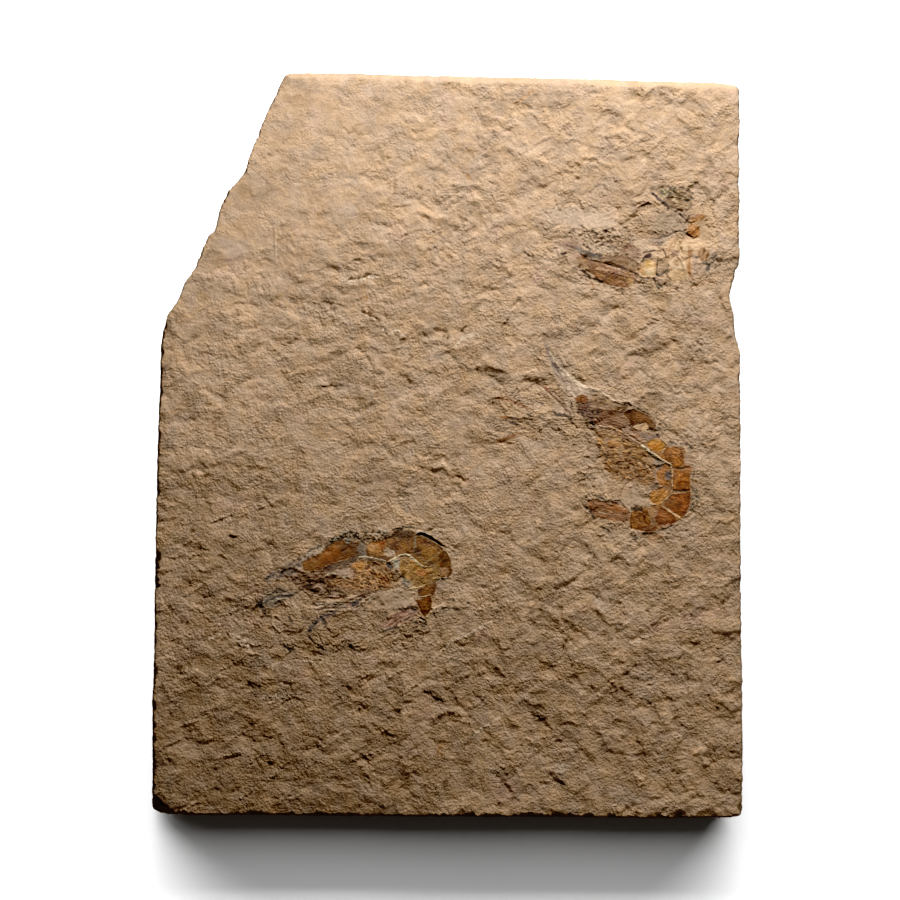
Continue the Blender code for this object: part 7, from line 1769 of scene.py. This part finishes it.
# ------------------------------------------------------------------- the slab
def edge_shape(P):
    """Width and depth of the worn edge at each outline point, and how broken the
    side below it is."""
    rng_u = np.cumsum(np.r_[0, np.hypot(*np.diff(P, axis=0).T)])
    x, y = plan_x(P[:, 0]), plan_y(P[:, 1])
    n1 = gn(rng_u / 26, rng_u * 0 + 0.5, 81)
    n2 = gn(rng_u / 9, rng_u * 0 + 4.5, 82)
    w = 0.42 + 0.10 * n1 + 0.08 * n2
    d = 0.90 + 0.20 * n1 + 0.16 * n2
    chip = smooth(0.6, 1.6, gn(rng_u / 11, rng_u * 0 + 9.5, 83))
    left = smooth(-0.066, -0.070, x) * smooth(0.034, 0.026, y)
    foot = smooth(-0.0885, -0.0910, y)
    scallop = np.abs(gn(rng_u / 9, rng_u * 0 + 7.5, 88)) + 0.4 * np.abs(gn(rng_u / 4, rng_u * 0 + 3.5, 89))
    # small pieces nibbled out of the left edge and the foot: steep, so they lie in shade
    nibble = smooth(0.15, 1.1, gn(rng_u / 10, rng_u * 0 + 7.5, 88)) + 0.55 * smooth(0.1, 1.0, gn(rng_u / 3.6, rng_u * 0 + 3.5, 89))
    shade = np.maximum(left, foot)
    nibble *= 0.35 + 0.65 * smooth(-0.5, 0.9, gn(rng_u / 44, rng_u * 0 + 2.5, 90))
    w = w * (1 - 0.30 * shade) + 0.35 * chip + shade * (0.04 + (0.72 - 0.10 * foot) * nibble)
    d = d + 1.0 * chip + shade * (1.6 + 2.2 * nibble)
    broken = np.zeros(len(P))
    top = y > 0.0895
    w = np.where(top, 1.70 + 0.22 * n1 + 0.16 * n2, w)
    d = np.where(top, 1.75 + 0.15 * n1, d)
    diag = (x < -0.040) & (y > 0.028)
    bites = smooth(0.35, 1.2, gn(rng_u / 12, rng_u * 0 + 7.5, 88)) + 0.5 * smooth(0.2, 1.0, gn(rng_u / 4, rng_u * 0 + 3.5, 89))
    w = np.where(diag, 0.30 + 0.05 * n1 + 0.42 * bites, w)
    d = np.where(diag, 0.55 + 0.10 * n1 + 1.9 * bites, d)
    broken = np.where(diag, 1.0, broken)
    # the chip off the corner at the lower left: the face ends early, the side below is whole
    along = (P[:, 0] - 151.5) + (813 - P[:, 1])
    c = smooth(21, 9, along) * (P[:, 1] > 780)
    w = w + 2.3 * c
    d = d + 7.5 * c
    return np.clip(w, 0.22, None), np.clip(d, 0.35, None), broken, rng_u


def window_depth(X, Y):
    """How far the face lies below the finely modelled stone round the fossils, in mm."""
    low = np.zeros(X.shape)
    for pts in WINDOWS.values():
        idx = near_box(X, Y, pts, 4)
        sd = to_outline(X[idx], Y[idx], pts) * 0.25
        low[idx] = np.maximum(low[idx], 1.6 * smooth(1.0, 3.2, sd))
    return low


def inset_outline(distance):
    """The slab's outline drawn in by a distance in drawing steps, as a plain polygon."""
    P = densify(OUTLINE, 12.0)
    return P - normals_out(P) * distance


def cut_to_box(P, x0, y0, x1, y1):
    """The part of a polygon inside an upright box."""
    P = [tuple(q) for q in P]
    for axis, limit, keep_less in ((0, x0, False), (0, x1, True), (1, y0, False), (1, y1, True)):
        out = []
        for i, q in enumerate(P):
            o = P[i - 1]
            q_in = q[axis] <= limit if keep_less else q[axis] >= limit
            o_in = o[axis] <= limit if keep_less else o[axis] >= limit
            if q_in != o_in:
                t = (limit - o[axis]) / (q[axis] - o[axis])
                c = [o[0] + t * (q[0] - o[0]), o[1] + t * (q[1] - o[1])]
                c[axis] = float(limit)
                out.append(tuple(c))
            if q_in:
                out.append(q)
        P = out
    clean = []
    for q in P:
        if not clean or math.hypot(q[0] - clean[-1][0], q[1] - clean[-1][1]) > 1e-6:
            clean.append(q)
    if math.hypot(clean[0][0] - clean[-1][0], clean[0][1] - clean[-1][1]) < 1e-6:
        clean.pop()
    return clean


INNER = inset_outline(8.0)
CUTS_X = (0, 450, 900)
CUTS_Y = (0, 262, 447, 632, 900)
OVERLAP = 5.0       # each tile of fine stone runs on below its neighbours


def tile_depth(X, Y):
    """How far the slab's own face lies below the tiles of fine stone, in mm."""
    return 2.2 * smooth(1.3, 3.0, to_outline(X, Y, INNER) * 0.25)


def untangle(Q):
    """Takes out the small loops that an inset outline makes at its corners. The points of
    a loop are spread evenly along the way past it, so their number stays the same."""
    Q = Q.copy()
    n = len(Q)

    def cross(a, b):
        return a[:, 0] * b[:, 1] - a[:, 1] * b[:, 0]

    for _ in range(40):
        hit = None
        a, b = Q, np.roll(Q, -1, axis=0)
        for k in range(70, 1, -1):
            c, d = np.roll(Q, -k, axis=0), np.roll(Q, -k - 1, axis=0)
            across = (cross(b - a, c - a) * cross(b - a, d - a) <= 0) & (cross(d - c, a - c) * cross(d - c, b - c) <= 0)
            if across.any():
                hit = int(np.argmax(across)), k
                break
        if hit is None:
            break
        i, k = hit
        p, q = Q[i], Q[(i + 1) % n] - Q[i]
        r, t = Q[(i + k) % n], Q[(i + k + 1) % n] - Q[(i + k) % n]
        den = q[0] * t[1] - q[1] * t[0]
        u = ((r[0] - p[0]) * t[1] - (r[1] - p[1]) * t[0]) / den if abs(den) > 1e-12 else 0.5
        more = 4
        way = [Q[(i - more + m) % n] for m in range(more + 1)] + [p + q * u] \
            + [Q[(i + k + 1 + m) % n] for m in range(more + 1)]
        way = np.array(way)
        run = np.r_[0, np.cumsum(np.hypot(*np.diff(way, axis=0).T))]
        at = np.linspace(0, run[-1], k + 2 * more + 2)
        for m, v in enumerate(at):
            Q[(i - more + m) % n] = (np.interp(v, run, way[:, 0]), np.interp(v, run, way[:, 1]))
    return Q


def slab():
    P = densify(OUTLINE, 1.7)
    N = normals_out(P)
    w, d, broken, s = edge_shape(P)
    n = len(P)
    tail = np.minimum(smooth(0, 12, s), smooth(0, 12, s[-1] + 3 - s))
    nib = 0.13 * gn(s / 7, s * 0 + 2.5, 84) + 0.16 * gn(s / 3.2, s * 0 + 6.5, 85) - 0.1
    P0 = P + N * (nib * tail)[:, None]
    rim = untangle(P0 - N * (w / 0.25)[:, None])
    V, tris = fill(rim, 1.45, 0.8, 0.16, 3, keep=keep_rim)
    tris = orient(V, tris, True)
    face = Face(V[:, 0], V[:, 1])
    x, y = plan_x(V[:, 0]), plan_y(V[:, 1])
    sd = to_outline(V[:, 0], V[:, 1], rim) * 0.25
    wear = 0.10 * np.exp(-(np.maximum(sd, 0) / 0.9) ** 2)
    z = THICK / MM + swell(x, y) + face.height() - tile_depth(V[:, 0], V[:, 1]) - wear
    co = [np.c_[x, y, z * MM]]
    attrs = top_attrs(face)
    faces = list(tris)
    zr = z[:n]
    above = np.arange(n)
    count = len(V)
    side_attr = [np.zeros(len(V))]
    topedge = plan_y(P[:, 1]) > 0.0895
    shaded = np.maximum(smooth(-0.066, -0.070, plan_x(P[:, 0])) * smooth(0.034, 0.026, plan_y(P[:, 1])),
                        smooth(-0.0885, -0.0910, plan_y(P[:, 1])))

    away = np.maximum(0, ((P - 450) * N).sum(axis=1)) * 0.25 / 640
    hold = np.maximum(shaded, smooth(24, 10, (P[:, 0] - 151.5) + (813 - P[:, 1]))) * np.maximum(d - 0.6, 0) * away * 0.95

    def ring(inset, zz, is_side):
        nonlocal above, count
        Q = untangle(P0 - N * (inset / 0.25)[:, None])
        co.append(np.c_[plan_x(Q[:, 0]), plan_y(Q[:, 1]), zz * MM])
        below = np.arange(count, count + n)
        nxt = np.roll(below, -1)
        a2 = np.roll(above, -1)
        # the outline runs clockwise seen from above
        for i in range(n):
            faces.append((int(above[i]), int(a2[i]), int(nxt[i]), int(below[i])))
        above = below
        count += n
        side_attr.append(np.full(n, is_side) if np.isscalar(is_side) else is_side)

    def rough_side(depth_mm, share):
        """Inset of the side at a height, millimetres, positive inwards."""
        v = depth_mm
        saw = 0.03 * gn(s / 40, s * 0 + v / 0.9, 91) + 0.05 * gn(s / 10, s * 0 + v / 2.2, 92)
        saw = saw + 0.05 * gn(s / 5, s * 0 + v / 1.1, 93)
        ledge = 0.45 * gn(s / 60, s * 0 + v / 2.4, 94) + 0.30 * gn(s / 16, s * 0 + v / 1.7, 95) \
            + 0.20 * gn(s / 7, s * 0 + v / 1.0, 96)
        ledge = np.maximum(ledge + 0.55, -0.05)
        waist = -0.45 * math.sin(math.pi * share)
        return (saw * (1 - broken) + (ledge + waist) * broken) * tail

    for t in (0.2, 0.42, 0.66, 1.0):
        round_w = w * (1 - math.sin(math.pi / 2 * t))
        round_d = d * (1 - math.cos(math.pi / 2 * t))
        flat_w, flat_d = w * (1 - t), d * t
        mixk = np.where(topedge, 0.85, np.maximum(0.25 + 0.25 * broken, 0.8 * shaded))
        inset = flat_w * mixk + round_w * (1 - mixk)
        drop = flat_d * mixk + round_d * (1 - mixk)
        crumb = 0.10 * gn(s / 4.0, s * 0 + t * 3.1, 87) * tail * math.sin(math.pi * t)
        ring(inset + crumb - hold * t, zr - drop + 0.5 * crumb, 0.35 + 0.65 * t)
    # the foot draws in, more at the sides
    under_w = np.where(np.abs(plan_x(P[:, 0])) > 0.060, 3.2, 1.4) + 0.7 * gn(s / 24, s * 0 + 3.3, 100) * tail
    under_w = np.convolve(np.r_[under_w[-12:], under_w, under_w[:12]], np.ones(25) / 25, "valid")
    base = zr - d
    steps = 10
    for j in range(1, steps + 1):
        share = j / steps
        zz = base * (1 - share) + 0.95 * share
        zz = zz + 0.08 * gn(s / 9, s * 0 + j * 1.7, 97) * tail
        ring(rough_side(j * 1.2, share) + 0.75 * under_w * smooth(0.35, 1.1, share) ** 1.3
             - hold * (1 - smooth(0.1, 0.8, share)), zz, 1.0)
    foot = 0.28 + 0.10 * gn(s / 14, s * 0 + 1.5, 98) * tail
    ring(foot + 0.90 * under_w + rough_side(13.0, 1.0) * 0.5, 0.42 + 0.12 * gn(s / 7, s * 0 + 7.7, 99) * tail, 1.0)
    ring(foot + 0.60 + under_w, np.zeros(n), 1.0)
    # underside
    last = untangle(P0 - N * ((foot + 0.60 + under_w) / 0.25)[:, None])
    B, under = fill(last, 9.0, 5.0, 0.12, 5)
    under = orient(B, under, False)
    inner = B[n:]
    zi = 0.30 * np.clip(0.7 + gn(inner[:, 0] / 90, inner[:, 1] / 90, 101) * 0.7
                        + 0.6 * gn(inner[:, 0] / 40, inner[:, 1] / 40, 102)
                        + 0.3 * gn(inner[:, 0] / 20, inner[:, 1] / 20, 103), 0, None)
    co.append(np.c_[plan_x(inner[:, 0]), plan_y(inner[:, 1]), zi * MM])
    table = np.r_[above, np.arange(count, count + len(inner))]
    faces += [tuple(int(table[i]) for i in t) for t in under]
    side_attr.append(np.full(len(inner), 0.0))
    co = np.vstack(co)
    attrs = spread(attrs, len(co))
    attrs["grain"][len(V):] = 1.0
    attrs["side"] = np.concatenate(side_attr)
    ob = mesh_object("limestone_stone", co, faces, limestone, attrs)
    return ob


MARKS = Strokes()
draw_stone(MARKS)


def keep_rim(X, Y):
    """Keeps the slab's own points near its edge and few where the tiles cover it."""
    few = (np.floor(X / 1.45) % 6 == 0) & (np.floor(Y / 1.2557) % 6 == 0)
    return few | (to_outline(X, Y, INNER) < 7)


def keep_few(X, Y):
    """Leaves out most of a tile's points where the stone round a fossil covers it."""
    ok = np.ones(X.shape, bool)
    few = (np.floor(X / 1.46) % 2 == 0) & (np.floor(Y / 1.2644) % 2 == 0)
    for pts in WINDOWS.values():
        idx = near_box(X, Y, pts, 4)
        sd = to_outline(X[idx], Y[idx], pts) * 0.25
        ok[idx[(sd > 4.5) & ~few[idx]]] = False
    return ok


def film_material(name, rough, coat, tint):
    """A thin mineral film on the stone: painted colour with fine streaks and a satin
    surface, the stone's own colour where it is worn through."""
    k = Nodes(name)
    c = stone_colour(k)
    pa = k.attr("pa")
    streak = k.noise(1.0, 4, 0.62, 0.5, stretch=(1500, 3200, 800, 0.6))
    cloud = k.noise(520, 4, 0.6, 0.6)
    vary = k.maths("ADD", k.remap(streak, 0.25, 0.75, 0.86, 1.14), k.remap(cloud, 0.3, 0.7, -0.15, 0.15))
    paint = k.scaled(k.rgb(k.attr("pr"), k.attr("pg"), k.attr("pb")), vary)
    warm = k.mix(k.remap(cloud, 0.42, 0.66), (1.0, 1.0, 1.0), tint)
    paint = k.mix(1.0, paint, warm, "MULTIPLY")
    add = k.t.nodes.new("ShaderNodeVectorMath")
    add.operation = "ADD"
    k.put(add.inputs[0], k.scaled(c, k.maths("SUBTRACT", 1.0, pa, clamp=True)))
    k.put(add.inputs[1], paint)
    k.put(k.bsdf.inputs["Base Color"], add.outputs[0])
    g = k.attr("gloss")
    r = k.remap(k.noise(900, 3, 0.6), 0.3, 0.7, rough - 0.07, rough + 0.09)
    r = k.maths("ADD", r, k.maths("MULTIPLY", k.maths("SUBTRACT", 1.0, g, clamp=True), 0.30))
    k.put(k.bsdf.inputs["Roughness"], r)
    k.bsdf.inputs["Specular IOR Level"].default_value = 0.32
    k.bsdf.inputs["Coat Weight"].default_value = coat
    k.bsdf.inputs["Coat Roughness"].default_value = 0.32
    h = k.maths("ADD", k.noise(1900, 4, 0.66, 0.2), k.maths("MULTIPLY", streak, 0.5))
    h = k.maths("MULTIPLY", h, k.maths("ADD", 0.28, k.maths("MULTIPLY", k.attr("grain"), 0.8)))
    k.put(k.bsdf.inputs["Normal"], k.bump(h, 0.00036))
    return k.mat


def thin_piece(name, outline, step, seed, mat, flakes_on_it=(), film=False, tile=None):
    """A closed thin piece of the face: its top follows the face finely, its edge dips
    into the surface, and its underside is flat. tile is the part of the plan that is
    the piece's own, beyond which it sinks below its neighbours."""
    ring = densify(outline, step * (1.0 if tile else 1.1))
    if film:
        s = np.cumsum(np.r_[0, np.hypot(*np.diff(ring, axis=0).T)])
        n = normals_out(ring)
        wave = 0.30 * gn(s / 4.2, s * 0 + seed + 0.5, 120) + 0.16 * gn(s / 1.9, s * 0 + seed + 0.5, 121)
        ring = ring + n * (wave * np.minimum(smooth(0, 4, s), smooth(0, 4, s[-1] + step - s)))[:, None]
    n = len(ring)
    V, tris = fill(ring, step, step * 0.55, 0.15, seed, keep=keep_few if tile else None,
                   marks=MARKS.lines if tile else None)
    tris = orient(V, tris, True)
    face = Face(V[:, 0], V[:, 1])
    x, y = plan_x(V[:, 0]), plan_y(V[:, 1])
    sd = to_outline(V[:, 0], V[:, 1], ring) * 0.25
    z = THICK / MM + swell(x, y) + face.height()
    if film:
        z += 0.045 * smooth(0.0, 0.45, sd) - 0.05 * (1 - smooth(0.0, 0.22, sd))
    elif tile:
        rim = to_outline(V[:, 0], V[:, 1], INNER) * 0.25
        past = np.maximum.reduce([tile[0] - V[:, 0], V[:, 0] - tile[2], tile[1] - V[:, 1], V[:, 1] - tile[3]])
        z -= window_depth(V[:, 0], V[:, 1]) + 0.45 * smooth(0.8, OVERLAP, past) \
            + 0.50 * (1 - smooth(0.0, 0.9, rim + 0.20 * gn(V[:, 0] / 6, V[:, 1] / 6, 122)))
    else:
        z -= 0.55 * (1 - smooth(0.0, 1.5, sd + 0.25 * gn(V[:, 0] / 6, V[:, 1] / 6, 122)))
    for other in flakes_on_it:
        idx = near_box(V[:, 0], V[:, 1], other, 3)
        so = to_outline(V[idx, 0], V[idx, 1], other) * 0.25
        z[idx] -= 0.42 * smooth(0.12, 0.75, so)
    flat = z.min() - (0.16 if film else 0.12)
    N = normals_out(ring)
    co = [np.c_[x, y, z * MM]]
    faces = list(tris)
    Q = ring - N * (0.0 if tile else 0.25)
    co.append(np.c_[plan_x(Q[:, 0]), plan_y(Q[:, 1]), np.full(n, flat * MM)])
    below = np.arange(len(V), len(V) + n)
    area = 0.5 * np.sum(ring[:, 0] * np.roll(ring[:, 1], -1) - np.roll(ring[:, 0], -1) * ring[:, 1])
    for i in range(n):
        j = (i + 1) % n
        quad = (i, j, int(below[j]), int(below[i]))
        faces.append(quad if area > 0 else quad[::-1])
    B, under = fill(Q, step * 7, step * 3, 0.1, seed + 50)
    under = orient(B, under, False)
    inner = B[n:]
    table = np.r_[below, np.arange(len(V) + n, len(V) + n + len(inner))]
    co.append(np.c_[plan_x(inner[:, 0]), plan_y(inner[:, 1]), np.full(len(inner), flat * MM)])
    faces += [tuple(int(table[i]) for i in t) for t in under]
    co = np.vstack(co)
    attrs = spread(top_attrs(face), len(co))
    attrs["side"] = np.zeros(len(co))
    attrs["grain"][len(V):] = 1.0
    ob = mesh_object(name, co, faces, mat, attrs)
    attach(ob, "root")
    return ob


built = []
limestone = stone_material("limestone")
stone = slab()
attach(stone, "root")
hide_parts("limestone_slab")
built.append(stone)

FILMS = {
    "amber": ("amber_film", film_material("amber_film", 0.44, 0.06, (1.0, 0.90, 0.72))),
    "dark": ("dark_film", film_material("dark_film", 0.50, 0.04, (1.0, 0.92, 0.82))),
    "legs": ("leg_film", film_material("leg_film", 0.64, 0.0, (1.0, 0.93, 0.84))),
    "cream": ("cream_shell", film_material("cream_shell", 0.54, 0.06, (1.0, 0.93, 0.80))),
    "crust": ("dark_crust", film_material("dark_crust", 0.66, 0.0, (0.92, 0.94, 0.90))),
}
for i in range(len(CUTS_Y) - 1):
    for j in range(len(CUTS_X) - 1):
        own = (CUTS_X[j], CUTS_Y[i], CUTS_X[j + 1], CUTS_Y[i + 1])
        pts = cut_to_box(INNER, own[0] - OVERLAP, own[1] - OVERLAP, own[2] + OVERLAP, own[3] + OVERLAP)
        piece = thin_piece(f"split_face_{i + 1}{'ab'[j]}", pts, 1.46, 400 + 2 * i + j, limestone, tile=own)
        built.append(piece)
for k, (name, pts) in enumerate(WINDOWS.items()):
    over = [o for _, o in FLAKES.values() if to_outline(np.array([o[0][0]]), np.array([o[0][1]]), pts)[0] > 0]
    piece = thin_piece(name, pts, 0.80, 200 + k, limestone, over)
    built.append(piece)
for k, (name, (kind, pts)) in enumerate(FLAKES.items()):
    piece = thin_piece(name + "_film", pts, 0.62, 300 + k, FILMS[kind][1], film=True)
    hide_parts(name)
    built.append(piece)

# ---------------------------------------------------------------------- stage
bpy.ops.mesh.primitive_plane_add(size=6, location=(0, 0, 0))
floor = bpy.context.object
floor.name = "floor"
fm = bpy.data.materials.new("floor")
fm.use_nodes = True
fm.node_tree.nodes["Principled BSDF"].inputs["Base Color"].default_value = (0.86, 0.86, 0.86, 1)
fm.node_tree.nodes["Principled BSDF"].inputs["Roughness"].default_value = 0.9
fm.node_tree.nodes["Principled BSDF"].inputs["Specular IOR Level"].default_value = 0.1
floor.data.materials.append(fm)
floor.visible_diffuse = False
floor.visible_glossy = False


def area_light(name, loc, aim, size, size_y, power, colour=(1, 1, 1)):
    data = bpy.data.lights.new(name, "AREA")
    data.shape = "RECTANGLE"
    data.size, data.size_y = size, size_y
    data.energy = power
    data.color = colour
    ob = bpy.data.objects.new(name, data)
    ob.location = loc
    ob.rotation_mode = "QUATERNION"
    ob.rotation_quaternion = (Vector(aim) - Vector(loc)).to_track_quat("-Z", "Y")
    bpy.context.scene.collection.objects.link(ob)
    return ob


def only_for(light, name, objects):
    coll = bpy.data.collections.new(name)
    for o in objects:
        coll.objects.link(o)
    light.light_linking.receiver_collection = coll


key = area_light("key", (0.045, 0.305, 0.197), (0.0, 0.0, 0.014), 0.16, 0.08, 1.62)
fill_light = area_light("fill_light", (0.30, 0.10, 0.36), (0.0, 0.0, 0.014), 0.34, 0.34, 0.52)
floor_light = area_light("floor_light", (0.0, 0.647, 0.277), (0.0, -0.093, 0.0), 1.7, 0.38, 48.0)
floor_light_high = area_light("floor_light_high", (0.0, 0.24, 0.40), (0.0, -0.093, 0.0), 1.0, 0.34, 2.2)
only_for(key, "lit_by_key", built)
only_for(fill_light, "lit_by_fill_light", built)
only_for(floor_light, "lit_by_floor_light", [floor])
only_for(floor_light_high, "lit_by_floor_light_high", [floor])

world = bpy.data.worlds.new("studio")
world.use_nodes = True
world.node_tree.nodes["Background"].inputs["Color"].default_value = (1, 1, 1, 1)
world.node_tree.nodes["Background"].inputs["Strength"].default_value = 0.11
bpy.context.scene.world = world

cam = bpy.data.cameras.new("camera")
cam.lens, cam.sensor_width = 100.0, 36.0
cam.clip_start, cam.clip_end = 0.05, 20
camera = bpy.data.objects.new("camera", cam)
camera.location = ((450 - CENTRE[0]) * UNIT, (CENTRE[1] - 450) * UNIT, THICK + 0.625)
bpy.context.scene.collection.objects.link(camera)
bpy.context.scene.camera = camera

# The picture's tones: a small black offset with a soft toe.
view = bpy.context.scene.view_settings
view.view_transform = "Standard"
view.look = "None"
view.use_curve_mapping = True
curve = view.curve_mapping.curves[3]
stops = [0.0, 0.03, 0.05, 0.06, 0.07, 0.08, 0.09, 0.11, 0.14, 0.2, 0.4, 1.0]
levels = [((s - OFFSET) + math.hypot(s - OFFSET, TOE)) / 2 - LIFT for s in stops]
curve.points[0].location = (stops[0], levels[0])
curve.points[1].location = (stops[-1], levels[-1])
for s, v in zip(stops[1:-1], levels[1:-1]):
    curve.points.new(s, v)
for p in curve.points:
    p.handle_type = "VECTOR"
view.curve_mapping.use_clip = False
view.curve_mapping.update()
